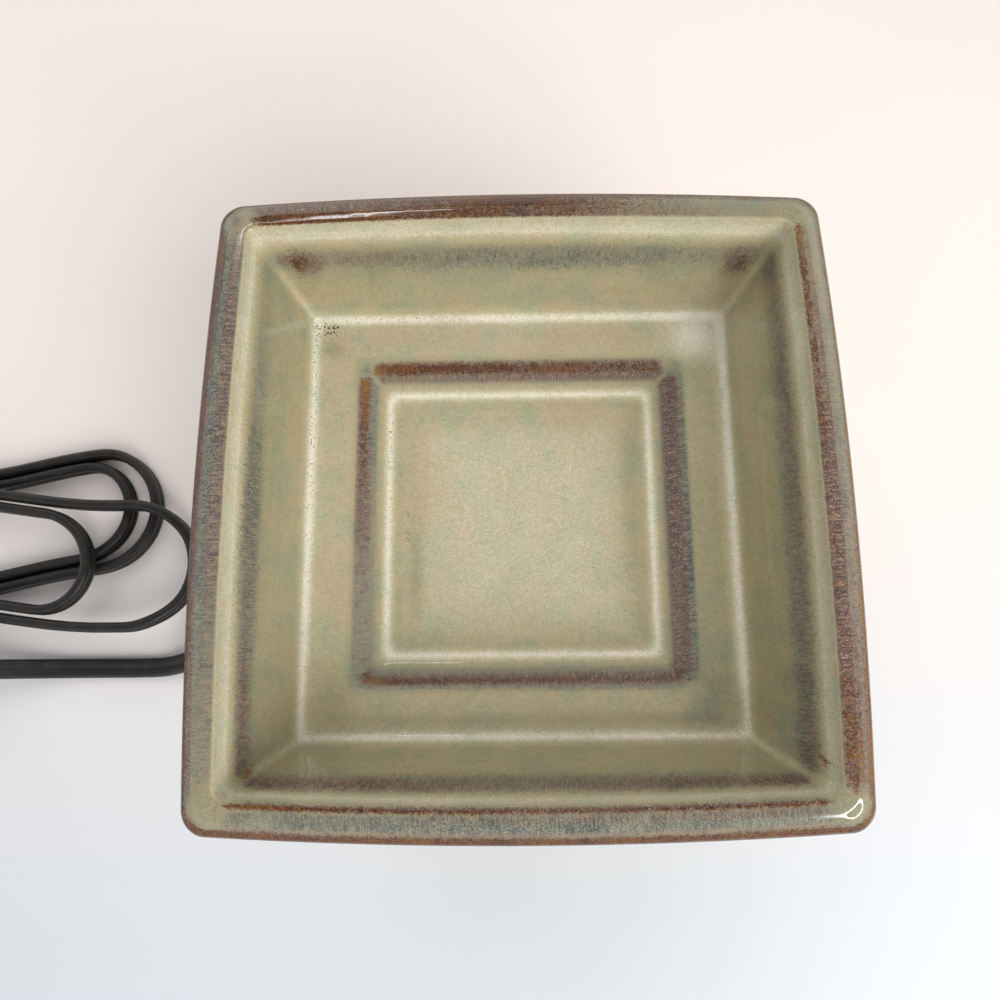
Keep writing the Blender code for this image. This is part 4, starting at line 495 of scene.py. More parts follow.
def circle(steps: int, radius: float = 1.0) -> Array:
    """Points (r cos a, r sin a) of a circle, anticlockwise from +X."""
    angle = np.arange(steps) / steps * TAU
    return radius * np.stack((np.cos(angle), np.sin(angle)), axis=1)


def at_level(flat: Array, level: float) -> Array:
    """Give flat points a height."""
    return np.column_stack((flat, np.full(len(flat), level)))


def quarter_turns(flat: Array) -> Array:
    """Follow points (..., n, 2) with their copies turned by a quarter, a half and three quarters."""
    parts = [flat]
    for _ in range(3):
        parts.append(np.stack((-parts[-1][..., 1], parts[-1][..., 0]), axis=-1))
    return np.concatenate(parts, axis=-2)


def grid_quads(rows: int, columns: int, closed_rows: bool = False, closed_columns: bool = False) -> Array:
    """Number the corners of a grid's quads, where point (row, column) has number row * columns + column.

    Args:
        rows: how many rows of points there are.
        columns: how many points a row has.
        closed_rows: whether the last row joins the first.
        closed_columns: whether each row's last point joins its first.

    Returns:
        An array of four point numbers for each quad.
    """
    row, column = np.meshgrid(np.arange(rows if closed_rows else rows - 1),
                              np.arange(columns if closed_columns else columns - 1), indexing="ij")
    next_row, next_column = (row + 1) % rows, (column + 1) % columns
    corners = (row * columns + column, row * columns + next_column,
               next_row * columns + next_column, next_row * columns + column)
    return np.stack(corners, axis=-1).reshape(-1, 4)


def polyline_lengths(points: Array) -> Array:
    """Length travelled at each point of a line."""
    steps = np.linalg.norm(np.diff(points, axis=0), axis=1)
    return np.concatenate(([0.0], np.cumsum(steps)))


def resampled(points: Array, spacing: float) -> Array:
    """Space points evenly along a line, keeping its ends.

    Args:
        points: the line's points.
        spacing: about how far apart the new points are.

    Returns:
        The new points.
    """
    travelled = polyline_lengths(points)
    count = max(2, round(travelled[-1] / spacing)) + 1
    places = np.linspace(0, travelled[-1], count)
    return np.stack([np.interp(places, travelled, column) for column in points.T], axis=1)


def filleted(corners: Corners, arc_steps: int = 10, spacing: float = 0.002) -> Array:
    """Round each corner of a profile with an arc, and divide its straight runs.

    An arc of radius r touches both legs r / tan(half angle) from the corner. Where a leg is too short
    for that, the arc takes 49% of it, as the construction does.

    Args:
        corners: (half width or radius, height, fillet radius) of each corner.
        arc_steps: how many steps an arc has.
        spacing: longest step on a straight run.

    Returns:
        The profile's points as (n, 2).
    """
    longest_share, flattest = 0.49, math.radians(89)
    places = np.array([corner[:2] for corner in corners], dtype=float)
    share = np.linspace(0, 1, arc_steps + 1)[:, None]
    runs = [places[:1]]
    for i in range(1, len(corners) - 1):
        corner, radius = places[i], corners[i][2]
        towards, onwards = places[i - 1] - corner, places[i + 1] - corner
        leg_before, leg_after = np.linalg.norm(towards), np.linalg.norm(onwards)
        towards, onwards = towards / leg_before, onwards / leg_after
        half = math.acos(np.clip(towards @ onwards, -1, 1)) / 2
        if radius <= 0 or half > flattest:
            runs.append(places[i:i + 1])
            continue
        reach = min(radius / math.tan(half), longest_share * min(leg_before, leg_after))
        radius = reach * math.tan(half)
        middle = (towards + onwards) / np.linalg.norm(towards + onwards)
        centre = corner + middle * radius / math.sin(half)
        first, last = corner + towards * reach - centre, corner + onwards * reach - centre
        sweep = math.pi - 2 * half
        runs.append(centre + (first * np.sin((1 - share) * sweep) + last * np.sin(share * sweep))
                    / math.sin(sweep))
    runs.append(places[-1:])
    parts = [runs[0]]
    for run in runs[1:]:
        step = run[0] - parts[-1][-1]
        count = max(1, math.ceil(np.linalg.norm(step) / spacing))
        parts += [parts[-1][-1] + step * (np.arange(1, count)[:, None] / count), run]
    line = np.concatenate(parts)
    keep = np.concatenate(([True], np.linalg.norm(np.diff(line, axis=0), axis=1) > MERGE_DISTANCE))
    return line[keep]


def skinned(rings: Array, around: Array, along: Array, closed: bool = False) -> Surface:
    """Join rings of points by quads that map round and along them.

    Args:
        rings: points as (ring, point, xyz).
        around: length round a ring at each point, and back at the first.
        along: length along the rings at each ring, and back at the first where they are closed.
        closed: whether the last ring joins the first.

    Returns:
        The joined surface.
    """
    rows, columns = rings.shape[:2]
    u = np.stack((around[:-1], around[1:], around[1:], around[:-1]), axis=-1)
    v = np.stack((along[:-1], along[:-1], along[1:], along[1:]), axis=-1)
    shape = (len(v), columns, 4)
    flow = np.stack((np.broadcast_to(u[None], shape), np.broadcast_to(v[:, None], shape)), axis=-1)
    return Surface(rings.reshape(-1, 3), grid_quads(rows, columns, closed, True), flow.reshape(-1, 4, 2))


def revolved(profile: Array, steps: int = 64, notch: Array | float = 1.0) -> Surface:
    """Turn a profile about Z, anticlockwise seen from above.

    Point (row, column) is (r cos a, r sin a, h), with r and h from the profile's row and a from the
    column; a notch scales r at each angle. A profile that runs up its outer side faces out.

    Args:
        profile: (radius, height) of each row.
        steps: how many points a turn has.
        notch: scale of the radius at each row and angle.

    Returns:
        The turned surface, mapped by angle and by the length along the profile.
    """
    profile = np.asarray(profile, dtype=float)
    radius = profile[:, :1] * np.broadcast_to(notch, (len(profile), steps))
    height = np.broadcast_to(profile[:, 1:2], radius.shape)
    rings = np.stack((*(radius * way for way in circle(steps).T), height), axis=-1)
    mean_radius = max(float(profile[:, 0].mean()), 0.001)
    return skinned(rings, np.arange(steps + 1) / steps * TAU * mean_radius, polyline_lengths(profile))


def swept(path: Array, tilt: Array, section: Array, closed: bool = False) -> Surface:
    """Carry a section along a path, with flat ends unless it is closed.

    At each point the section's first axis is left = Z x forward, turned about the path by the tilt, and
    its second is forward x left.

    Args:
        path: the points that the section's middle follows.
        tilt: angle of the section about the path at each point.
        section: (left, up) of the section's points, anticlockwise seen from the path's end.
        closed: whether the path's end joins its start.

    Returns:
        The swept surface, mapped round the section and along the path.
    """
    steps = np.roll(path, -1, axis=0) - np.roll(path, 1, axis=0) if closed else np.gradient(path, axis=0)
    forward = unit(steps)
    left = unit(np.cross((0.0, 0.0, 1.0), forward))
    up = np.cross(forward, left)
    cosine, sine = np.cos(tilt)[:, None], np.sin(tilt)[:, None]
    first, second = left * cosine + up * sine, up * cosine - left * sine
    rings = path[:, None] + section[None, :, :1] * first[:, None] + section[None, :, 1:] * second[:, None]
    along = polyline_lengths(path)
    if closed:
        along = np.concatenate((along, [along[-1] + np.linalg.norm(path[0] - path[-1])]))
    else:
        ends = [np.broadcast_to(end, (1, len(section), 3)) for end in (path[0], path[-1])]
        rings = np.concatenate((ends[0], rings, ends[1]))
        along = np.concatenate((along[:1], along, along[-1:]))
    return skinned(rings, polyline_lengths(np.concatenate((section, section[:1]))), along, closed)


def lofted(rings: Array, closed: bool = False) -> Surface:
    """Skin rings of as many points; the ends are closed at their middles unless the loft is closed.

    Args:
        rings: points as (ring, point, xyz), anticlockwise about the way that the rings go.
        closed: whether the last ring joins the first.

    Returns:
        The skinned surface, mapped round and along the rings.
    """
    if not closed:
        ends = [np.broadcast_to(ring.mean(axis=0), ring.shape)[None] for ring in (rings[0], rings[-1])]
        rings = np.concatenate((ends[0], rings, ends[1]))
    rows = len(rings)
    around = polyline_lengths(np.concatenate((rings[rows // 2], rings[rows // 2][:1])))
    along = polyline_lengths(np.concatenate((rings.mean(axis=1), rings[:1].mean(axis=1))))
    return skinned(rings, around, along[:rows + 1 if closed else rows], closed)


def stacked(levels: Sequence[tuple[Array, float]]) -> Array:
    """Rings of flat outlines, each at its level."""
    return np.stack([at_level(flat, level) for flat, level in levels])


def joined(surfaces: Sequence[Surface]) -> Surface:
    """Put surfaces side by side in one, with the attributes that all of them have."""
    offsets = np.cumsum([0] + [len(surface.points) for surface in surfaces])
    quads = np.concatenate([surface.quads + offset for surface, offset in zip(surfaces, offsets)])
    flow = np.concatenate([surface.flow for surface in surfaces])
    tones = None
    if all(surface.tones for surface in surfaces):
        tones = {name: np.concatenate([surface.tones[name] for surface in surfaces])
                 for name in surfaces[0].tones}
    return Surface(np.concatenate([surface.points for surface in surfaces]), quads, flow, tones)


def rounded_rectangle(half_width: float, half_height: float, corner: float, steps: int = 6) -> Array:
    """Points of a rounded rectangle about the origin, anticlockwise.

    Args:
        half_width: half of its first size.
        half_height: half of its second size.
        corner: corner radius.
        steps: steps of each corner's arc.

    Returns:
        The outline's points as (n, 2).
    """
    angle = np.linspace(0, TAU / 4, steps + 1)
    arcs = quarter_turns(corner * np.stack((np.cos(angle), np.sin(angle)), axis=1))
    signs = np.repeat(((1, 1), (-1, 1), (-1, -1), (1, -1)), steps + 1, axis=0)
    return arcs + signs * np.array((half_width - corner, half_height - corner))


def merge_doubles(mesh: bpy.types.Mesh) -> None:
    """Merge points that lie on each other, which closes a grid's seams and poles."""
    work = bmesh.new()
    work.from_mesh(mesh)
    bmesh.ops.remove_doubles(work, verts=work.verts, dist=MERGE_DISTANCE)
    work.to_mesh(mesh)
    work.free()


def make_piece(name: str, shape: Surface | bpy.types.Mesh, finish: Finish, body: str,
               replaces: Sequence[str] = (), sharp: float | None = 50.0) -> bpy.types.Object:
    """Make a surface, with its doubles merged, or a finished mesh a piece of the object.

    Args:
        name: the piece's name.
        shape: its surface or its mesh.
        finish: what it is dressed in.
        body: the body that it rides on.
        replaces: the construction's nodes that it stands for.
        sharp: edges sharper than this many degrees stay sharp, or None for a smooth skin.

    Returns:
        The piece.
    """
    mesh = shape.finished_mesh(name, sharp) if isinstance(shape, Surface) else shape
    mesh.materials.append(material_of(finish))
    piece = linked(name, mesh)
    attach(piece, body)
    if replaces:
        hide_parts(*replaces)
    LOG.info("%s: %d faces on %s", name, len(mesh.polygons), body)
    return piece


def dress(finish: Finish, *nodes: str) -> None:
    """Give construction nodes that keep their solids a finish."""
    for node in nodes:
        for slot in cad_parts[node].material_slots:
            slot.material = material_of(finish)
        LOG.info("%s: kept, in %s", node, finish.name)


# Rounded squares, which the dish and the housing share

def square_rings(half: Array, bow: Array, corner: Array, height: Array,
                 along: Callable[[Array], Array], arc_steps: int) -> tuple[Array, Array]:
    """Rings of a rounded square whose sides bow out.

    A side's point stands at half - bow + bow (1 - (y / (half - bow))^2), and the corner is an arc between
    two sides, carried out by the same bow.

    Args:
        half: half width across the sides' middles, for each ring.
        bow: how far a side's middle stands out past its corners, for each ring.
        corner: corner radius, for each ring.
        height: height of each ring.
        along: turns half the length of each ring's straight side to the places y along it.
        arc_steps: steps of a corner's arc.

    Returns:
        Points as (ring, point, xyz), and the side, 0 to 3, of each point's following quad.
    """
    reach = np.maximum(half - bow, MERGE_DISTANCE / 10)[:, None]
    straight = reach - np.minimum(corner[:, None], reach)
    places = along(straight)
    angle = np.arange(arc_steps) / arc_steps * TAU / 4
    x = np.concatenate((np.broadcast_to(reach, places.shape),
                        straight + corner[:, None] * np.cos(angle)), axis=1)
    y = np.concatenate((places, straight + corner[:, None] * np.sin(angle)), axis=1)
    swell = bow[:, None] / reach
    x, y = x * (1 + swell * (1 - (y / reach) ** 2)), y * (1 + swell * (1 - (x / reach) ** 2))
    flat = quarter_turns(np.stack((x, y), axis=-1))
    points = np.concatenate((flat, np.broadcast_to(height[:, None, None], (*flat.shape[:2], 1))), axis=-1)
    per_side = x.shape[1]
    number = np.arange(4 * per_side)
    late = number % per_side >= per_side - arc_steps // 2
    return points, (number // per_side + late) % 4


def flow_map(points: Array, quads: Array, quad_side: Array, along: Array) -> Array:
    """Map a square piece so that each side's first axis runs along the side, in metres.

    Args:
        points: all points.
        quads: point numbers of each quad.
        quad_side: side of each quad, 0 to 3.
        along: second map place of each point.

    Returns:
        The map places of each quad's corners.
    """
    tangent = np.array(((0.0, 1.0), (-1.0, 0.0), (0.0, -1.0), (1.0, 0.0)))[quad_side]
    u = (points[quads][..., :2] * tangent[:, None]).sum(axis=-1) + 0.3 * quad_side[:, None]
    return np.stack((u, along[quads]), axis=-1)


class Tone(Enum):
    """What the glaze shows, each a float attribute of the mesh."""

    # How thick the glaze lies; on the dish this also carries painted highlight and painted shade.
    POOL = "pool"
    RUST = "rust"
    AMBER = "amber"
    PLUM = "plum"
    ASH = "ash"
    SPECK = "speck"
    BARE = "bare"


class Side(Enum):
    """A side of a square piece, by its outward axis and its run, each as a row of the plan's matrix."""

    RIGHT = ((1, 0), (0, 1))
    BACK = ((0, 1), (1, 0))
    LEFT = ((-1, 0), (0, 1))
    FRONT = ((0, -1), (1, 0))


@dataclass(frozen=True)
class Band:
    """A strip of one tone along one side.

    Its limits are insets from the edge in millimetres. Its amounts hold near its left or lower end, at
    its middle and near its right or upper end, seen from above. At each end it turns the corner to the
    next side, or it fades out before the corner.
    """

    side: Side
    tone: Tone
    start: float
    end: float
    amounts: tuple[float, float, float]
    corner_fade: tuple[float, float] = (0.6, 3.0)
    softness: float = 0.4
    turns: tuple[bool, bool] = (False, False)

    def weight(self, points: Array, inset: Array, half: float) -> Array:
        """Work out the amount of the tone at each point.

        An end either fades in a round cap, short of the corner, or turns the corner to the next side.

        Args:
            points: all points.
            inset: each point's inset in millimetres.
            half: the dish's half width.

        Returns:
            The amounts, 0 to 1.
        """
        end_share = 0.78
        out, along = np.array(self.side.value) @ points[:, :2].T
        amount = np.interp(along / np.maximum(out, 0.001), (-end_share, 0.0, end_share), self.amounts)
        across = (smooth_step(inset, self.start - self.softness, self.start + self.softness)
                  * (1 - smooth_step(inset, self.end - self.softness, self.end + self.softness)))
        middle, reach = (self.start + self.end) / 2, (self.end - self.start) / 2
        cap = np.minimum(((inset - middle) / reach) ** 2, 1)
        left_over = (half - np.abs(along)) * 1000 - middle - cap
        to_mitre = (out - np.abs(along)) * 1000
        corner = smooth_step(np.minimum(left_over, to_mitre + 1), *self.corner_fade)
        past = smooth_step(to_mitre, -1.5, -0.5)
        return amount * across * np.where(np.where(along < 0, *self.turns), past, corner)


@dataclass(frozen=True)
class Blot:
    """A soft spot of one tone, in millimetres from the dish's middle."""

    tone: Tone
    x: float
    y: float
    reach_x: float
    reach_y: float
    amount: float

    def weight(self, points: Array) -> Array:
        """Bell of the distance from the spot's middle."""
        return self.amount * np.exp(-((points[:, 0] * 1000 - self.x) / self.reach_x) ** 2
                                    - ((points[:, 1] * 1000 - self.y) / self.reach_y) ** 2)


@dataclass
class Dish:
    """The lift-off melting dish: square, with a rolled rim, sloping sides, a ledge and a stepped well."""

    half: float = 0.075
    edge_z: float = 0.118
    corner: float = 0.005
    inner_corner: float = 0.0026
    side_bow: float = 0.0024
    bow_starts: float = 0.055
    rim_rise: float = 0.0039
    rim_width: float = 0.0083
    lip_inset: float = 0.0026
    lip_drop: float = 0.0061
    slope_run: float = 0.0073
    slope_drop: float = 0.0236
    ledge_width: float = 0.0123
    ledge_fall: float = 0.0010
    step_run: float = 0.0061
    step_drop: float = 0.0044
    floor_fall: float = 0.0024
    floor_fillet: float = 0.0080
    wall: float = 0.0050
    apron: float = 0.0140
    seat_radius: float = 0.0020
    band_round_inset: float = 0.0365
    bands_round_from: float = 27.0
    side_steps: int = 44
    arc_steps: int = 14

    def corners(self) -> list[tuple[float, float, float]]:
        """Corners of the section, from under the floor, up the outside, over the rim to the floor."""
        rim_inner = self.half - self.rim_width
        lip, lip_z = rim_inner - self.lip_inset, self.edge_z - self.lip_drop
        ledge_outer, ledge_z = lip - self.slope_run, lip_z - self.slope_drop
        ledge_inner, step_z = ledge_outer - self.ledge_width, ledge_z - self.ledge_fall
        well, well_z = ledge_inner - self.step_run, step_z - self.step_drop
        floor, floor_z = well - self.floor_fillet, well_z - self.floor_fall
        under_z, seat_z = floor_z - self.wall, self.edge_z - self.apron
        side_wall = self.wall * math.hypot(self.slope_run, self.slope_drop) / self.slope_drop
        seat_inner = lip + side_wall - self.slope_run * (lip_z - seat_z) / self.slope_drop
        crest_z = self.edge_z + self.rim_rise
        return [
            (0.0, under_z, 0.0),
            (well + self.wall / 2, under_z, 0.003),
            (ledge_inner + self.wall / 2, step_z - self.wall, 0.003),
            (ledge_outer + side_wall * 0.6, step_z - self.wall, 0.003),
            (seat_inner, seat_z, 0.0006),
            (self.half - self.seat_radius / 3, seat_z, self.seat_radius),
            (self.half, self.edge_z - self.apron / 2, self.seat_radius),
            (self.half, self.edge_z + self.rim_rise * 0.3, 0.0026),
            (self.half - self.rim_width * 0.5, crest_z, 0.0060),
            (rim_inner, crest_z, 0.0009),
            (rim_inner - self.lip_inset * 0.2, self.edge_z - self.lip_drop * 0.25, 0.0030),
            (lip, lip_z, 0.0016),
            (ledge_outer, ledge_z, 0.0034),
            (ledge_inner, step_z, 0.0016),
            (well, well_z, 0.0055),
            (floor, floor_z, 0.0060),
            (0.0, floor_z, 0.0),
        ]

    def pool_and_painted_light_stations(self) -> tuple[tuple[float, float], ...]:
        """How thick the glaze pools, with painted highlight and painted shade in places, 0 to 1, by inset
        from the silhouette in millimetres.
        """
        return (
            # The cream peaks at 8.75, 19.0 and 39.2 are partly pooled glaze and partly painted highlight on
            # the fillets; the dip at 41.8 is partly painted shade round the floor.
            (0.0, 0.20), (1.5, 0.26), (3.0, 0.40), (7.6, 0.38), (8.05, 0.50), (8.35, 0.82), (8.75, 0.94),
            (9.3, 0.78), (10.0, 0.60), (10.8, 0.42), (11.8, 0.44), (12.6, 0.50), (15.0, 0.56),
            (16.8, 0.60), (17.6, 0.72), (18.3, 0.90), (19.0, 1.00), (19.8, 0.90), (20.8, 0.74),
            (23.0, 0.70), (29.0, 0.68), (30.2, 0.60), (31.0, 0.44), (35.6, 0.40), (36.3, 0.50),
            (37.4, 0.66), (38.4, 0.88), (39.2, 1.00), (39.9, 0.88), (40.7, 0.70), (41.8, 0.60),
            (45.0, 0.68), (51.0, 0.77), (60.0, 0.80), (75.0, 0.80),
        )

    def bands(self) -> list[Band]:
        """Strips where the glaze breaks over the rim, the lip and the step, side by side, and strips of
        painted shade on the front and right ledges.
        """
        pool, rust, amber, plum, ash, speck, _ = Tone
        rim, edge, edge_soft, step = (2.5, 10.0), (2.5, 5.0), (2.5, 6.0), (0.6, 3.0)
        both, lower = (True, True), (True, False)
        strips = {
            Side.BACK: (
                (rust, -1.0, 1.4, (0.90, 0.92, 0.80), step, 0.4, both),
                (rust, 1.2, 2.8, (0.40, 0.80, 0.45), rim),
                (rust, 2.4, 5.4, (0.20, 1.00, 0.05), rim),
                (plum, 1.8, 5.4, (0.95, 0.60, 0.30), rim),
                (rust, 5.2, 8.1, (1.00, 0.62, 0.10), edge),
                (plum, 5.2, 8.1, (0.20, 0.92, 0.34), edge_soft),
                (ash, 10.4, 13.2, (0.50, 0.85, 0.55), step, 1.4),
                (plum, 10.6, 12.4, (0.60, 0.20, 0.15), step, 1.0),
                (rust, 31.2, 34.0, (0.92, 0.72, 0.62), (0.6, 3.6), 0.9),
                (plum, 30.6, 35.9, (0.70, 0.84, 0.84), (0.4, 3.0), 1.0),
                (speck, 18.2, 19.6, (0.42, 0.20, 0.08), step, 0.3),
            ),
            Side.LEFT: (
                (rust, -1.0, 1.7, (0.80, 0.95, 0.95), step, 0.4, both),
                (rust, 1.2, 2.4, (0.40, 0.85, 1.00), rim),
                (rust, 2.4, 3.6, (0.00, 0.25, 0.75), rim),
                (plum, 1.6, 3.2, (0.85, 0.70, 0.40), rim),
                (ash, 2.4, 8.0, (0.55, 0.98, 0.98), rim),
                (plum, 4.8, 8.1, (0.34, 0.62, 0.66), edge),
                (ash, 9.9, 12.3, (0.78, 1.00, 0.30), step, 1.1),
                (plum, 10.2, 11.8, (0.78, 0.34, 0.05), step, 0.9),
                (rust, 31.2, 33.6, (0.00, 0.34, 0.90), (0.6, 3.6), 0.9, lower),
                (plum, 30.6, 34.8, (0.25, 0.80, 0.60), step, 0.8, lower),
                (ash, 30.8, 35.9, (0.55, 0.60, 0.84), step, 0.8, lower),
                (speck, 18.2, 19.8, (0.08, 0.32, 0.44), step, 0.3),
                (speck, 38.6, 39.8, (0.08, 0.22, 0.50), step, 0.3),
            ),
            Side.FRONT: (
                (rust, -1.0, 1.9, (0.98, 0.95, 0.95), step, 0.4, both),
                (rust, 1.6, 2.6, (0.50, 0.40, 0.44), rim),
                (plum, 1.6, 3.4, (0.50, 0.60, 0.50), rim),
                (ash, 2.8, 6.6, (0.72, 0.95, 0.78), rim),
                (plum, 4.8, 7.0, (0.20, 0.48, 0.52), edge_soft),
                (rust, 6.8, 8.1, (1.00, 0.66, 0.74), edge, 0.8),
                (plum, 6.9, 8.3, (0.80, 0.98, 0.95), edge, 0.6),
                (plum, 10.0, 12.0, (0.90, 0.70, 0.92), step, 1.1),
                (ash, 9.8, 12.8, (0.70, 0.80, 0.66), step, 1.3),
                (rust, 31.8, 33.7, (0.92, 0.70, 0.60), step, 1.0, both),
                (plum, 31.2, 35.0, (0.74, 0.90, 0.90), step, 1.2, both),
                (ash, 30.0, 36.2, (0.50, 0.60, 0.60), step, 1.0, both),
                # Painted shade: the front ledge darker, most towards its right end.
                (pool, 21.5, 24.5, (-0.10, -0.12, -0.16), (0.0, 4.0), 1.5),
                (amber, -1.0, 2.0, (0.25, 0.10, 0.20), step, 0.4, both),
            ),
            Side.RIGHT: (
                (rust, -1.0, 1.7, (0.90, 0.62, 0.62), step, 0.4, both),
                (rust, 1.4, 2.4, (0.80, 0.45, 0.30), rim),
                (rust, 3.2, 8.0, (0.58, -0.10, 0.00), edge_soft, 0.9),
                (ash, 2.4, 5.8, (0.20, 0.80, 0.25), rim),
                (plum, 2.0, 4.6, (0.80, 0.50, 0.34), rim),
                (plum, 4.6, 8.1, (0.90, 0.98, 0.55), edge),
                (rust, 6.2, 8.1, (0.40, 0.34, 0.66), (2.5, 4.0)),
                (plum, 10.0, 12.0, (0.50, 0.62, 0.60), step, 1.1),
                (ash, 9.8, 12.8, (0.85, 0.80, 0.50), step, 1.3),
                (rust, 31.6, 34.0, (0.25, 0.10, 0.40), step, 0.4, lower),
                (plum, 31.2, 35.8, (0.90, 1.00, 1.00), (0.4, 3.0), 1.1, lower),
                (ash, 29.6, 33.4, (0.90, 0.95, 0.66), step, 1.0, lower),
                # Painted shade: the right ledge darker, most towards its front end.
                (pool, 21.5, 31.5, (-0.22, -0.18, -0.06), (0.0, 6.0), 1.5),
                (pool, 12.5, 17.0, (-0.05, 0.00, 0.16), step, 1.0),
                (amber, -1.0, 2.0, (0.80, 0.80, 0.70), step, 0.4, both),
            ),
        }
        return [Band(side, *strip) for side, rows in strips.items() for strip in rows]

    def blots(self) -> list[Blot]:
        """Single spots: the ends of the lip's bands, the well's corners, pits, pale pools and darker patches,
        two of them painted shade.
        """
        spots = {
            Tone.AMBER: (
                (-38.5, 42.0, 4.0, 2.0, 1.00), (-42.4, 34.0, 1.6, 9.0, 0.85), (-39.5, -42.6, 4.0, 1.6, 1.00),
                (-60.0, -67.5, 9.0, 1.4, 0.90), (-62.1, -61.5, 1.6, 2.0, 1.00), (64.2, -59.3, 1.6, 2.0, 0.80),
                (69.6, -58.0, 2.0, 7.0, 0.70), (62.0, -67.6, 5.0, 1.2, 0.50), (66.8, 60.2, 1.6, 4.0, 0.70),
                (39.3, 67.2, 1.5, 1.5, 1.00), (-30.8, 2.2, 1.2, 1.6, 1.00)),
            Tone.RUST: (
                (-30.6, -5.0, 0.4, 1.6, 0.45), (-56.2, 62.7, 2.2, 1.2, 0.90), (57.9, 61.9, 1.5, 1.2, 0.75),
                (64.2, -59.3, 0.9, 1.5, 0.85), (-62.1, -61.5, 1.0, 1.5, 0.85), (-56.5, -63.1, 1.6, 0.9, 0.45),
                (66.8, 60.2, 1.3, 3.4, 0.60), (64.5, -69.8, 4.0, 1.0, 0.40), (39.3, 67.2, 0.8, 0.7, 0.75),
                (-30.8, 2.2, 0.5, 0.8, 0.80)),
            Tone.PLUM: (
                (-54.2, 62.6, 4.5, 1.6, 0.95), (55.6, 62.1, 4.0, 1.9, 1.00), (62.9, 56.5, 1.2, 5.0, 0.60),
                (63.4, -55.0, 1.2, 4.5, 0.60), (-62.4, -57.0, 1.2, 4.5, 0.60), (-54.5, -63.0, 4.5, 1.3, 0.50),
                (54.0, -63.6, 6.0, 1.2, 0.50), (-68.0, 67.0, 1.6, 2.4, 0.75)),
            Tone.ASH: (
                (-42.2, 42.0, 1.6, 1.6, 0.80), (41.2, 40.8, 1.6, 1.6, 0.60), (-68.6, 68.4, 2.0, 2.0, 0.60)),
            # Pale pools, and darker patches: those on the ledge's two front corners are painted shade, and
            # the others darken the floor's left and right edges and the ledge's back left corner.
            Tone.POOL: (
                (48.5, -49.0, 7.0, 6.0, -0.22), (-48.5, -46.0, 6.0, 9.0, -0.16),
                (-28.5, -14.0, 2.0, 14.0, -0.14), (30.0, 8.0, 2.0, 20.0, -0.12),
                (48.6, 49.6, 7.0, 6.5, 0.36), (-70.5, 71.0, 4.0, 4.0, 0.10), (-51.4, 47.6, 2.6, 2.2, -0.20)),
            Tone.SPECK: (
                (-53.2, 53.6, 4.2, 3.0, 0.80), (25.4, 48.0, 3.0, 0.5, 0.55), (7.6, -0.7, 0.6, 0.6, 0.95),
                (-23.5, 22.3, 0.5, 0.5, 0.90), (-30.7, -3.7, 1.0, 2.4, 0.50), (-0.8, 64.3, 0.8, 0.8, 0.90),
                (-47.0, 24.0, 2.0, 8.0, 0.30)),
        }
        return [Blot(tone, *spot) for tone, rows in spots.items() for spot in rows]

    def glaze_tones(self, points: Array, half: Array, inside: Array) -> dict[str, Array]:
        """Work out the glaze's attributes at each point.

        Args:
            points: all points.
            half: half width of each point's ring.
            inside: whether each point's ring lies on the inside or the rim's top.

        Returns:
            An array for each tone, by its attribute's name.
        """
        inset = (self.half - half) * 1000
        tones = {tone: np.zeros(len(points)) for tone in Tone}
        tones[Tone.POOL] = np.interp(inset, *zip(*self.pool_and_painted_light_stations()))
        turn = np.abs(points[:, :2]) - (self.half - self.band_round_inset)
        cut = np.where(turn.min(axis=1) > 0, np.hypot(*turn.T) - turn.max(axis=1), 0.0)
        round_inset = np.where(inset > self.bands_round_from, inset - cut * 1000, inset)
        weights = [(band.tone, band.weight(points, round_inset, self.half)) for band in self.bands()]
        weights += [(blot.tone, blot.weight(points)) for blot in self.blots()]
        for tone, weight in weights:
            tones[tone] = tones[tone] + weight if tone is Tone.POOL else np.maximum(tones[tone], weight)
        mitre = np.abs(np.abs(points[:, 0]) - np.abs(points[:, 1])) * 1000
        on_slope = smooth_step(inset, 11.5, 13.0) * (1 - smooth_step(inset, 17.0, 18.5))
        tones[Tone.POOL] = tones[Tone.POOL] + 0.16 * on_slope * np.exp(-(mitre / 1.1) ** 2)
        top, low = self.edge_z + self.rim_rise, self.edge_z - self.apron
        drop = np.clip((top - points[:, 2]) / (top - low), 0, 1)
        outside = {Tone.POOL: ((0, 0.25, 0.7, 0.92, 1), (0.30, 0.46, 0.62, 0.45, 0.3)),
                   Tone.RUST: ((0, 0.25, 0.45, 0.85, 1), (0.60, 0.55, 0.10, 0.20, 0.8)),
                   Tone.PLUM: ((0, 0.3, 0.6, 1), (0.2, 0.5, 0.2, 0.3)),
                   Tone.ASH: ((0, 0.3, 0.6, 1), (0.1, 0.5, 0.3, 0.2)),
                   Tone.SPECK: ((0, 1), (0, 0))}
        for tone, (levels, amounts) in outside.items():
            tones[tone] = np.where(inside, tones[tone], np.interp(drop, levels, amounts))
        tones[Tone.BARE] = (~inside & (points[:, 2] < low + 0.0004)).astype(float)
        return {tone.value: values for tone, values in tones.items()}

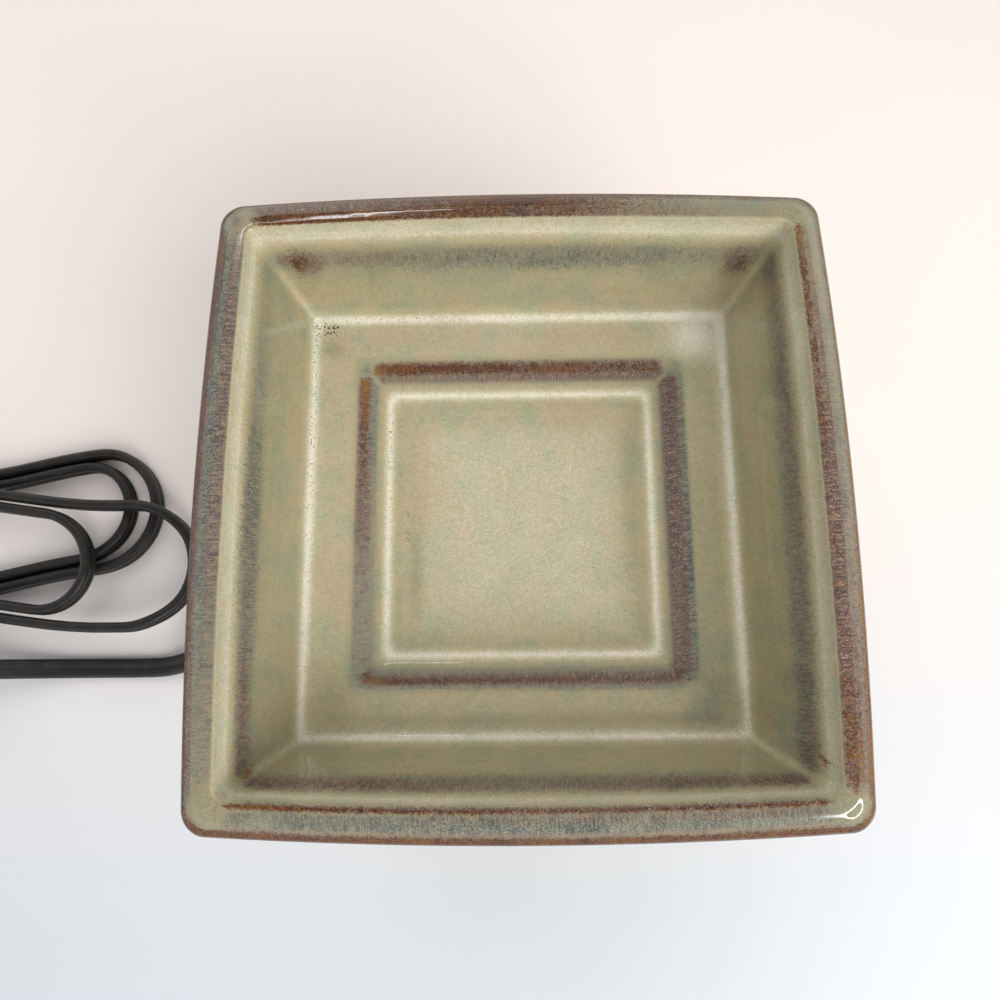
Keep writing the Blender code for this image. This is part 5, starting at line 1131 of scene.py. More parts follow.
    def build(self) -> bpy.types.Object:
        """Loft the dish from under its floor, over its rim and down to its floor."""
        corners = self.corners()
        waist = (self.half, self.edge_z - self.apron * 0.2, 0.0)
        lower = filleted([*corners[:7], waist], arc_steps=8, spacing=0.0022)
        upper = filleted([waist, *corners[7:]], arc_steps=16, spacing=0.0006)
        profile = np.concatenate((lower, upper[1:]))
        half, height = profile.T
        outer_side = np.arange(len(profile)) < int(np.argmax(height))
        row_inside = ~outer_side | (height > self.edge_z)
        bow = self.side_bow * smooth_step(half, self.bow_starts, self.half)
        share = smooth_step(half, self.half - self.rim_width, self.half)
        blend = self.inner_corner + (self.corner - self.inner_corner) * share
        corner = np.where(outer_side & (height < self.edge_z), self.corner, blend)
        corner = np.minimum(corner, half * 0.9)
        side = np.arange(self.side_steps) / self.side_steps * 2 - 1
        rings, column_side = square_rings(half, bow, corner, height, lambda straight: straight * side,
                                          self.arc_steps)
        rows, columns = rings.shape[:2]
        points = rings.reshape(-1, 3)
        quads = grid_quads(rows, columns, closed_columns=True)
        along = np.repeat(polyline_lengths(profile), columns)
        flow = flow_map(points, quads, np.tile(column_side, rows - 1), along)
        tones = self.glaze_tones(points, np.repeat(half, columns), np.repeat(row_inside, columns))
        return make_piece("glazed_dish", Surface(points, quads, flow, tones), GLAZE, "dish",
                          ["wax_dish"], sharp=None)


@dataclass
class Housing:
    """The square glazed housing: plinth, waist and collar, a row of windows in each side."""

    bottom_z: float = 0.003
    top_z: float = 0.1037
    top_half: float = 0.0732
    top_wall: float = 0.0047
    collar: float = 0.0177
    shoulder: float = 0.0070
    neck_half: float = 0.0655
    waist_half: float = 0.0615
    waist_z: float = 0.0235
    plinth_half: float = 0.0660
    plinth_top_z: float = 0.0200
    plinth_chamfer: float = 0.0015
    wall: float = 0.0048
    waist_inner_half: float = 0.0570
    bow: float = 0.0015
    corner: float = 0.0100
    inner_corner: float = 0.0050
    window: float = 0.0150
    window_corner: float = 0.0020
    window_z: float = 0.0500
    window_pitch: float = 0.0260
    window_count: int = 3
    edge_radius: float = 0.0013
    lane: float = 0.0013
    patch_lanes: int = 9
    side_lanes: int = 35
    lanes_before: int = 2
    arc_steps: int = 12
    boss_half: float = 0.0090
    boss_centre: float = 0.0470
    boss_bottom_z: float = 0.0050
    boss_height: float = 0.0170
    anchor_hole: float = 0.0038
    anchor_depth: float = 0.0138

    @property
    def collar_z(self) -> float:
        """Height of the collar's lower edge."""
        return self.top_z - self.collar

    @property
    def neck_z(self) -> float:
        """Height of the neck under the collar."""
        return self.collar_z - self.shoulder

    @property
    def patch_reach(self) -> float:
        """Half width of the square patch of lanes round each window."""
        return self.patch_lanes * self.lane

    def profile(self) -> tuple[Array, Array]:
        """Outer and inner wall profiles, both upwards, with the window rows in them."""
        outer = filleted((
            (self.plinth_half - self.plinth_chamfer, self.bottom_z, 0.0),
            (self.plinth_half, self.bottom_z + self.plinth_chamfer, 0.0010),
            (self.plinth_half, self.plinth_top_z, 0.0018),
            (self.waist_half, self.waist_z, 0.0024),
            (self.neck_half, self.neck_z, 0.0040),
            (self.top_half, self.collar_z, 0.0030),
            (self.top_half, self.top_z, 0.0012),
            (self.top_half - self.top_wall / 2, self.top_z, 0.0),
        ), arc_steps=8, spacing=0.0018)
        inner_top = self.top_half - self.top_wall
        inner = filleted((
            (self.waist_inner_half, self.bottom_z, 0.0),
            (self.waist_inner_half, self.waist_z, 0.0),
            (self.neck_half - self.wall, self.neck_z, 0.0020),
            (inner_top, self.collar_z, 0.0020),
            (inner_top, self.top_z - 0.0015, 0.0),
            (inner_top + 0.0006, self.top_z, 0.0),
        ), arc_steps=6, spacing=0.0030)
        return self.with_window_rows(outer), self.with_window_rows(inner)

    def with_window_rows(self, profile: Array) -> Array:
        """Put even rows a lane apart across the windows' band, in place of those that lie there."""
        half, height = profile.T
        order = np.argsort(height, kind="stable")
        levels = self.window_z + np.arange(-self.patch_lanes, self.patch_lanes + 1) * self.lane
        rows = np.stack((np.interp(levels, height[order], half[order]), levels), axis=1)
        clear = self.patch_reach + self.lane / 2
        return np.concatenate((profile[height < self.window_z - clear], rows,
                               profile[height > self.window_z + clear]))

    def lane_places(self, straight: Array) -> Array:
        """Places along each ring's side: even upright lanes, and two steps on to each end."""
        lanes = np.arange(-self.side_lanes, self.side_lanes + 1) * self.lane
        steps = np.arange(1, self.lanes_before + 1) / (self.lanes_before + 1)
        after = lanes[-1] + (straight - lanes[-1]) * steps
        return np.concatenate((-after[:, ::-1], np.broadcast_to(lanes, (len(straight), len(lanes))), after),
                              axis=1)

    def wall_rings(self, profile: Array, corner: float) -> tuple[Array, Array]:
        """Rings of the wall with upright lanes at the same places in each side.

        Args:
            profile: (half width, height) of each ring.
            corner: corner radius.

        Returns:
            Points as (ring, point, xyz), and the side of each point's following quad.
        """
        half, height = profile.T
        return square_rings(half, np.full_like(half, self.bow), np.full_like(half, corner), height,
                            self.lane_places, self.arc_steps)

    def outline(self) -> tuple[Array, Array, Array]:
        """A window's patch: its square border, and the window's outline and outward way beside it.

        All run anticlockwise from the lower left corner. A border point's place along its side, -1 to 1,
        gives a point of the rounded square: on the straight part as it is, past it on the corner's arc,
        up to 45 degrees at the corner itself.
        """
        share = np.arange(2 * self.patch_lanes) / self.patch_lanes - 1
        half = self.window / 2
        flat = half - self.window_corner
        along = np.abs(share) * half
        angle = np.clip((along - flat) / self.window_corner, 0, 1) * TAU / 8
        sign, straight = np.sign(share), along < flat
        x = sign * np.where(straight, along, flat + self.window_corner * np.sin(angle))
        y = -np.where(straight, half, flat + self.window_corner * np.cos(angle))
        border = np.stack((share * self.patch_reach, np.full_like(share, -self.patch_reach)), axis=1)
        ways = np.stack((sign * np.sin(angle), -np.cos(angle)), axis=1)
        return quarter_turns(border), quarter_turns(np.stack((x, y), axis=1)), quarter_turns(ways)

    def wall_at(self, across: Array, level: Array, depth: float) -> Array:
        """Distance from the axis of a wall point: the outer face moved towards the inner by a share."""
        slope = (level - self.waist_z) / (self.neck_z - self.waist_z)
        outer = self.waist_half + (self.neck_half - self.waist_half) * slope
        inner = self.waist_inner_half + (self.neck_half - self.wall - self.waist_inner_half) * slope
        outer_face, inner_face = (reach + self.bow * (1 - (across / reach) ** 2)
                                  for reach in (outer - self.bow, inner - self.bow))
        return outer_face + (inner_face - outer_face) * depth

    def sleeve(self, centre: float, side: int) -> tuple[Array, Array]:
        """Rings of a window's opening, from the outer face through the wall to the inner face.

        The first ring is the patch's border on the outer face and the last is the border on the inner
        one. Between them the rings close in on the outline, turn over a quarter round into the wall, run
        through it, and turn out again.

        Args:
            centre: the window's place along its side.
            side: 0 to 3, anticlockwise from +X.

        Returns:
            Points as (ring, point, xyz), and how much each ring lies on a rounded edge.
        """
        border, outline, way = self.outline()
        radius = self.edge_radius / self.wall
        quarter = np.linspace(0, TAU / 4, 6)
        closing = np.linspace(0, 1, 5)[:-1]
        edge = outline + way * self.edge_radius
        turning = [(outline + way * self.edge_radius * (1 - math.sin(turn)), radius * (1 - math.cos(turn)))
                   for turn in quarter]
        nearing = [(border + (edge - border) * part, part) for part in closing]
        rings = [(flat, 0.0, 0.25 * part) for flat, part in nearing]
        rings += [(flat, depth, 1.0) for flat, depth in turning]
        rings += [(outline, radius + (1 - 2 * radius) * part, 0.35) for part in (0.25, 0.5, 0.75)]
        rings += [(flat, 1 - depth, 0.7) for flat, depth in turning[::-1]]
        rings += [(flat, 1.0, 0.0) for flat, _ in nearing[::-1]]
        made = []
        for flat, depth, _ in rings:
            across, level = (flat + (centre, self.window_z)).T
            made.append(np.stack((self.wall_at(across, level, depth), across, level), axis=1))
        points = np.stack(made)
        for _ in range(side):
            points = np.stack((-points[..., 1], points[..., 0], points[..., 2]), axis=-1)
        return points, np.array([share for _, _, share in rings])

    def glaze_tones(self, points: Array, edge: Array) -> dict[str, Array]:
        """Work out the glaze's attributes by height, with rust on the rounded window edges.

        Args:
            points: all points.
            edge: how much each point lies on a rounded edge, 0 to 1.

        Returns:
            An array for each tone, by its attribute's name.
        """
        bottom, plinth, waist = self.bottom_z, self.plinth_top_z, self.waist_z
        neck, collar, top = self.neck_z, self.collar_z, self.top_z
        # Height, then how much pool, rust, plum and ash there is
        stations = np.array((
            (bottom, 0.30, 0.20, 0.00, 0.00),
            (bottom + 0.0025, 0.62, 0.00, 0.00, 0.10),
            (plinth - 0.004, 0.55, 0.05, 0.20, 0.30),
            (plinth - 0.0006, 0.30, 0.62, 0.60, 0.45),
            (plinth + 0.001, 0.25, 0.66, 0.50, 0.40),
            (waist, 0.70, 0.00, 0.00, 0.00),
            (waist + 0.0025, 0.98, 0.00, 0.00, 0.00),
            (waist + 0.008, 0.66, 0.00, 0.00, 0.12),
            (neck - 0.012, 0.56, 0.00, 0.10, 0.30),
            (neck, 0.72, 0.00, 0.00, 0.20),
            (neck + 0.002, 0.92, 0.00, 0.00, 0.00),
            (collar - 0.002, 0.50, 0.20, 0.40, 0.40),
            (collar + 0.0008, 0.25, 0.80, 0.55, 0.40),
            (collar + 0.003, 0.45, 0.30, 0.60, 0.60),
            (top - 0.004, 0.55, 0.10, 0.20, 0.40),
            (top, 0.30, 0.60, 0.20, 0.20),
        )).T
        level = points[:, 2]
        tones = {Tone.SPECK: np.zeros(len(points)), Tone.BARE: (level < bottom + 0.0004).astype(float)}
        kinds = ((Tone.POOL, -0.35), (Tone.RUST, 0.62), (Tone.PLUM, 0.45), (Tone.ASH, 0.0))
        for (tone, on_edge), amounts in zip(kinds, stations[1:]):
            tones[tone] = np.interp(level, stations[0], amounts) + on_edge * edge
        return {tone.value: values for tone, values in tones.items()}

    def build(self) -> bpy.types.Object:
        """Join the two walls, the seat and the foot, and set the window openings into them."""
        outer, inner = self.profile()
        outer_rings, column_side = self.wall_rings(outer, self.corner)
        inner_rings, _ = self.wall_rings(inner[::-1], self.inner_corner)
        rings = np.concatenate((outer_rings, inner_rings))
        rows, columns = rings.shape[:2]
        quads = grid_quads(rows, columns, closed_rows=True, closed_columns=True).reshape(rows, columns, 4)
        keep = np.ones((rows, columns), dtype=bool)
        below = np.abs(np.concatenate((outer, inner[::-1]))[:, 1] - (self.window_z - self.patch_reach))
        span = 2 * self.patch_lanes
        first_outer = int(np.argmin(below[:len(outer)]))
        last_inner = len(outer) + int(np.argmin(below[len(outer):]))
        pieces: list[Surface] = []
        for side in range(4):
            for i in range(self.window_count):
                offset = (i - (self.window_count - 1) / 2) * self.window_pitch
                lane = round(offset / self.lane) + self.side_lanes - self.patch_lanes
                column = side * (columns // 4) + self.lanes_before + lane
                keep[first_outer:first_outer + span, column:column + span] = False
                keep[last_inner - span:last_inner, column:column + span] = False
                sleeve, edge = self.sleeve(offset, side)
                pieces.append(self.glazed(sleeve, grid_quads(*sleeve.shape[:2], closed_columns=True),
                                          np.array(side), edge))
        walls = self.glazed(rings, quads[keep], np.broadcast_to(column_side, (rows, columns))[keep],
                            np.zeros(rows))
        return make_piece("glazed_housing", joined([walls, *pieces]), GLAZE, "root",
                          ["warmer_body"], sharp=None)

    def glazed(self, rings: Array, quads: Array, quad_side: Array, edge: Array) -> Surface:
        """Map and tone rings of the wall.

        Args:
            rings: points as (ring, point, xyz).
            quads: point numbers of each quad.
            quad_side: side of each quad, or of all.
            edge: how much each ring lies on a rounded edge, 0 to 1.

        Returns:
            The surface.
        """
        points = rings.reshape(-1, 3)
        sides = np.broadcast_to(quad_side, len(quads))
        return Surface(points, quads, flow_map(points, quads, sides, points[:, 2]),
                       self.glaze_tones(points, np.repeat(edge, rings.shape[1])))

    def build_bosses(self) -> bpy.types.Object:
        """The four corner bosses, square posts with a blind hole, each in the housing's corner."""
        outline = rounded_rectangle(self.boss_half, self.boss_half, 0.0012, 6)
        hole = self.anchor_hole * unit(outline)
        bottom, top = self.boss_bottom_z, self.boss_bottom_z + self.boss_height
        hole_top = bottom + self.anchor_depth
        post = lofted(stacked(((hole * 0.0, hole_top), (hole, hole_top), (hole, bottom),
                               (outline * 0.96, bottom), (outline, bottom + 0.0006),
                               (outline, top - 0.0010), (outline * 0.95, top), (outline * 0.0, top))))
        post.tones = {tone.value: np.full(len(post.points), float(tone is Tone.BARE)) for tone in Tone}
        places = [(x, y, 0) for x in (-self.boss_centre, self.boss_centre)
                  for y in (-self.boss_centre, self.boss_centre)]
        posts = [post.moved(Matrix.Translation(place)) for place in places]
        return make_piece("corner_bosses", joined(posts), GLAZE, "root")


@dataclass(frozen=True)
class PanHeadScrew:
    """A cross-head screw about Z, its head's top at 0 and its shank down."""

    radius: float
    height: float
    shank: float
    length: float
    steps: int = 60

    def surface(self) -> Surface:
        """Turn the screw: the head's top is -dome (r / R)^3 less the two soft-edged bars of the cross."""
        radius, height, shank = self.radius, self.height, self.shank
        spans = np.concatenate((np.linspace(0, 0.88, 16), (0.94, 0.98, 1.0)))[:, None]
        dome, depth = 0.22 * height, 0.55 * height
        arm, reach, soft = 0.20 * radius, 0.60 * radius, 0.08 * radius
        x, y = (way * spans * radius for way in circle(self.steps).T)

        def bar(across: Array, along: Array) -> Array:
            """One soft-edged bar of the recess."""
            return ((1 - smooth_step(np.abs(across), arm - soft, arm))
                    * (1 - smooth_step(np.abs(along), reach - soft, reach)))

        top = -dome * spans ** 3 - depth * np.maximum(bar(x, y), bar(y, x))
        head = np.stack((x, y, top), axis=-1)
        under = ((radius, -height * 0.6), (radius * 0.98, -height), (shank, -height),
                 (shank, -height - self.length * 0.9), (shank * 0.6, -height - self.length),
                 (0.0, -height - self.length))
        lower = revolved(under, self.steps).points.reshape(len(under), self.steps, 3)
        rings = np.concatenate((head, lower))[::-1]
        return Surface(rings.reshape(-1, 3), grid_quads(len(rings), self.steps, closed_columns=True))


@dataclass
class Base:
    """Underside of the warmer: feet, pan, pan screws, anchors, and the bracket with its rivets."""

    foot_radius: float = 0.0045
    foot_height: float = 0.0027
    foot_place: float = 0.0578
    pan_half: float = 0.0540
    pan_corner: float = 0.0040
    pan_edge: float = 0.00015
    vent_radius: float = 0.0045
    vent_ring: float = 0.0330
    vent_count: int = 8
    screw_place: float = 0.0470
    screw_hole: float = 0.00205
    screw_head: float = 0.0019
    screw_shank: float = 0.00175
    rivet_place: float = 0.0195
    rivet_hole: float = 0.0019

    def build_feet(self) -> None:
        """Four rubber feet with a rolled edge and a shallow dish in their sole."""
        radius, height = self.foot_radius, self.foot_height
        profile = filleted(((0.0, 0.0003, 0.0), (radius * 0.6, 0.0002, 0.0), (radius * 0.72, 0.0, 0.0003),
                            (radius, 0.0, 0.0007), (radius * 0.98, height, 0.0), (0.0, height, 0.0)),
                           arc_steps=6, spacing=0.001)
        foot = revolved(profile, 56)
        for number, (sign_x, sign_y) in enumerate(((1, 1), (-1, 1), (-1, -1), (1, -1)), start=1):
            shift = Matrix.Translation((sign_x * self.foot_place, sign_y * self.foot_place, 0))
            make_piece(f"round_foot_{number}", foot.moved(shift), FOOT_RUBBER, "root",
                       [f"rubber_foot_{number}"])

    def pan_outlines(self) -> list[Array]:
        """The pan's outline and those of its vents and holes, drawn in by the edge's rounding."""
        half = self.pan_half - self.pan_edge
        angles = (np.arange(self.vent_count) + 0.5) / self.vent_count * TAU
        holes = [((self.vent_ring * math.cos(angle), self.vent_ring * math.sin(angle)), self.vent_radius)
                 for angle in angles]
        for sign_x in (-1, 1):
            holes.append(((sign_x * self.rivet_place, 0), self.rivet_hole))
            holes += [((sign_x * self.screw_place, sign_y * self.screw_place), self.screw_hole)
                      for sign_y in (-1, 1)]
        return [rounded_rectangle(half, half, self.pan_corner, 8),
                *(circle(40, radius + self.pan_edge) + middle for middle, radius in holes)]

    def build_pan(self) -> None:
        """The pressed pan with round vents, screw and rivet holes, as a flat outline given its sheet."""
        box = Box.of("base_pan")
        curve = bpy.data.curves.new("vented_pan", "CURVE")
        curve.dimensions = "2D"
        curve.fill_mode = "BOTH"
        curve.extrude = box.half[2] - self.pan_edge
        curve.bevel_depth = self.pan_edge
        curve.bevel_resolution = 2
        for outline in self.pan_outlines():
            spline = curve.splines.new("POLY")
            spline.points.add(len(outline) - 1)
            places = np.column_stack((outline, np.zeros(len(outline)), np.ones(len(outline))))
            spline.points.foreach_set("co", places.ravel())
            spline.use_cyclic_u = True
        source = linked("pan_outline", curve)
        evaluated = source.evaluated_get(bpy.context.evaluated_depsgraph_get())
        mesh = bpy.data.meshes.new_from_object(evaluated)
        bpy.data.objects.remove(source)
        mesh.transform(Matrix.Translation((0, 0, box.middle[2])))
        merge_doubles(mesh)
        mesh.materials.clear()
        make_piece("vented_pan", mesh, ZINC_SHEET, "root", ["base_pan"])

    def build_screws(self) -> None:
        """Pan screws with crossed recesses, head down, each in place of its plain solid."""
        flip = Matrix.Rotation(math.pi, 4, "X")
        for number in range(1, 5):
            box = Box.of(f"pan_screw_{number}")
            screw = PanHeadScrew(box.half[0], self.screw_head, self.screw_shank,
                                 2 * box.half[2] - self.screw_head)
            place = Matrix.Translation((*box.middle[:2], box.low[2]))
            make_piece(f"cross_screw_{number}", screw.surface().moved(place @ flip), SCREW_PLATING, "root",
                       [f"pan_screw_{number}"])

    def build(self) -> None:
        """Build what shows finer and dress what keeps its solid."""
        self.build_feet()
        self.build_pan()
        self.build_screws()
        dress(NYLON, *(f"screw_anchor_{number}" for number in range(1, 5)))
        dress(ZINC_SHEET, "socket_bracket")
        dress(SCREW_PLATING, "bracket_rivet_1", "bracket_rivet_2", "socket_screw")


def thread(level: Array, depth: float, pitch: float) -> Array:
    """How far a rolled thread stands out at each level: d (1 - cos(2 pi (z - z0) / p)) / 2."""
    return depth * 0.5 * (1 - np.cos((level - level[0]) / pitch * TAU))


@dataclass
class LampHolder:
    """Porcelain holder with its brass shell, leaf and side terminals."""

    radius: float = 0.0125
    bore: float = 0.0080
    lip: float = 0.0010
    leaf_hole: float = 0.00205
    shell_inner: float = 0.0063
    shell_wall: float = 0.0005
    shell_flange: float = 0.0077
    shell_hole: float = 0.0042
    thread_depth: float = 0.0004
    thread_pitch: float = 0.00254

    def build(self) -> None:
        """Turn the porcelain and the threaded shell, and dress the leaf and the leads."""
        box = Box.of("lamp_socket")
        bottom, top = box.low[2], box.high[2]
        floor, groove = bottom + 0.0047, self.radius - 0.0005
        profile = filleted((
            (self.leaf_hole, bottom, 0.0), (self.radius - 0.0004, bottom, 0.0),
            (self.radius, bottom + 0.0005, 0.0), (self.radius, bottom + 0.0055, 0.0),
            (groove, bottom + 0.0060, 0.0002), (groove, bottom + 0.0072, 0.0002),
            (self.radius, bottom + 0.0077, 0.0), (self.radius, top - self.lip, 0.0006),
            (self.radius - self.lip, top, 0.0005), (self.bore + self.lip * 0.6, top, 0.0004),
            (self.bore, top - self.lip, 0.0004), (self.bore, floor, 0.0), (0.0, floor, 0.0),
        ), arc_steps=6, spacing=0.002)
        blind = ((0.0, bottom + 0.0037), (self.leaf_hole, bottom + 0.0037))
        make_piece("porcelain_holder", revolved(np.concatenate((blind, profile)), 72), PORCELAIN, "root",
                   ["lamp_socket"])

        box = Box.of("socket_shell")
        start, end = box.low[2], box.high[2]
        outer, flange_top = self.shell_inner + self.shell_wall, start + self.shell_wall
        level = np.linspace(start + 0.0018, end - 0.0008, 90)
        wave = thread(level, self.thread_depth, self.thread_pitch) * 0.8
        outside = np.column_stack((outer - wave, level))
        inside = np.column_stack((self.shell_inner - wave + 0.0001, level))[::-1]
        profile = np.concatenate((
            ((self.shell_hole, start), (self.shell_flange, start), (self.shell_flange, flange_top),
             (outer, flange_top)), outside,
            ((outer, end), (self.shell_inner, end)), inside,
            ((self.shell_inner, flange_top), (self.shell_hole, flange_top), (self.shell_hole, start))))
        make_piece("threaded_shell", revolved(profile, 64), BRASS, "root", ["socket_shell"])
        dress(BRASS, "socket_leaf", "socket_terminal_1", "socket_terminal_2")
        dress(LEAD_BLACK, "lead_live")
        dress(LEAD_WHITE, "lead_neutral")


@dataclass
class Lamp:
    """Small clear lamp with a candelabra cap, its stem and its coiled filament."""

    length: float = 0.0480
    radius: float = 0.0110
    glass: float = 0.0006
    neck: float = 0.0048
    neck_sunk: float = 0.0045
    cap_radius: float = 0.00585
    cap_wall: float = 0.0005
    cap_bottom: float = 0.0025
    cap_height: float = 0.0125
    thread_depth: float = 0.0004
    thread_pitch: float = 0.00254
    tip_radius: float = 0.0020
    tip_height: float = 0.0035
    stem_radius: float = 0.0014
    stem_flare: float = 0.0038
    stem_height: float = 0.0210
    support_side: float = 0.00205
    support_rise: float = 0.0090
    support_radius: float = 0.00018
    coil_half_length: float = 0.0050
    coil_radius: float = 0.00026
    coil_turns: int = 44
    coil_sag: float = 0.0009
    coil_wire: float = 0.00009

    @property
    def cap_top(self) -> float:
        """Height of the cap's rim over the lamp's tip."""
        return self.cap_bottom + self.cap_height

    @property
    def cap_inner(self) -> float:
        """The cap's inner radius."""
        return self.cap_radius - self.thread_depth - self.cap_wall

    def build(self) -> None:
        """Turn the cap, tip, glass and stem on the lamp's axis, and coil the filament."""
        lift = Matrix.Translation((0, 0, Box.of("lamp_tip").low[2]))
        bottom, top, inner, tip = self.cap_bottom, self.cap_top, self.cap_inner, self.tip_radius
        level = np.linspace(bottom + 0.0016, top - 0.0020, 80)
        wave = thread(level, self.thread_depth, self.thread_pitch)
        threads = np.column_stack((self.cap_radius - self.thread_depth + wave, level))
        cap = np.concatenate((
            ((inner, bottom + 0.0020), (tip + GAP, bottom + self.cap_wall), (tip + GAP, bottom),
             (tip * 1.8, bottom)), threads,
            ((self.cap_radius - 0.0001, top - 0.0012), (self.cap_radius, top), (inner, top),
             (inner, bottom + 0.0020))))
        make_piece("threaded_cap", revolved(cap, 64).moved(lift), BRASS, "lamp", ["lamp_cap"])
        drop = filleted(((0.0, 0.0, 0.0), (tip * 0.75, 0.0, 0.0008), (tip, 0.0010, 0.0006),
                         (tip, self.tip_height, 0.0), (0.0, self.tip_height, 0.0)),
                        arc_steps=6, spacing=0.001)
        make_piece("solder_tip", revolved(drop, 40).moved(lift), SOLDER, "lamp_carrier",
                   ["lamp_tip"])
        self.build_glass(lift)
        self.build_stem(lift)

    def build_glass(self, lift: Matrix) -> None:
        """Turn the envelope: a round dome on a short barrel that draws in to its neck."""
        neck, top, bulge = self.cap_inner - GAP, self.cap_top, self.length - self.radius
        angle = np.linspace(0, TAU / 4, 22)
        dome = np.column_stack((self.radius * np.cos(angle), bulge + self.radius * np.sin(angle)))
        shoulder = filleted((
            (neck, self.cap_bottom + self.neck_sunk, 0.0), (neck, top - 0.0010, 0.0010),
            (self.neck * 1.12, top + 0.0015, 0.0030), (self.radius * 0.86, top + 0.0075, 0.0060),
            (self.radius, bulge - 0.0040, 0.0060), (self.radius, bulge, 0.0)),
            arc_steps=8, spacing=0.0012)[:-1]
        outside = np.concatenate((shoulder, dome))
        ahead = unit(np.gradient(outside, axis=0))
        inside = outside + np.column_stack((-ahead[:, 1], ahead[:, 0])) * self.glass
        inside[-1, 0] = outside[-1, 0] = 0.0
        inside[:, 0] = np.maximum(inside[:, 0], 0.0)
        profile = np.concatenate((inside[::-1], outside))
        make_piece("blown_envelope", revolved(profile, 72).moved(lift), GLASS, "lamp",
                   ["lamp_envelope"], sharp=None)

    def build_stem(self, lift: Matrix) -> None:
        """Turn the flared stem, and carry the supports and the coil above it."""
        bottom = self.cap_bottom + self.neck_sunk + GAP
        top, thin, flare = bottom + self.stem_height, self.stem_radius, self.stem_flare
        stem = filleted(((0.0, bottom, 0.0), (flare, bottom, 0.0), (flare, bottom + 0.0010, 0.0006),
                         (0.0027, bottom + 0.0035, 0.0020), (thin, bottom + 0.0060, 0.0020),
                         (thin, top - 0.0005, 0.0004), (0.0, top, 0.0)), arc_steps=6, spacing=0.002)
        make_piece("flared_stem", revolved(stem, 40).moved(lift), GLASS, "lamp", ["lamp_stem"])
        coil_z = top + self.support_rise
        wires = []
        for sign in (-1, 1):
            side = sign * self.support_side
            line = np.array(((side, 0.0, top - 0.0030), (side, 0.0, top),
                             (sign * self.coil_half_length, 0.0, coil_z)))
            wires.append(upright_wire(resampled(line, 0.0006), self.support_radius))
        share = np.linspace(-1, 1, 900)
        spin = share * self.coil_turns / 2 * TAU
        coil = np.stack((share * self.coil_half_length, self.coil_radius * np.cos(spin),
                         coil_z + self.coil_sag * (1 - share ** 2) + self.coil_radius * np.sin(spin)), axis=1)
        wires.append(upright_wire(coil, self.coil_wire))
        make_piece("coiled_filament", joined(wires).moved(lift), TUNGSTEN, "lamp",
                   ["lamp_filament"], sharp=None)


def upright_wire(route: Array, radius: float) -> Surface:
    """Carry a round wire along a route that may run upright, with Y as its fixed side."""
    forward = unit(np.gradient(route, axis=0))
    first = unit(np.cross((0.0, 1.0, 0.0), forward))
    second = np.cross(forward, first)
    section = circle(10, radius)[None]
    return lofted(route[:, None] + section[..., :1] * first[:, None] + section[..., 1:] * second[:, None])


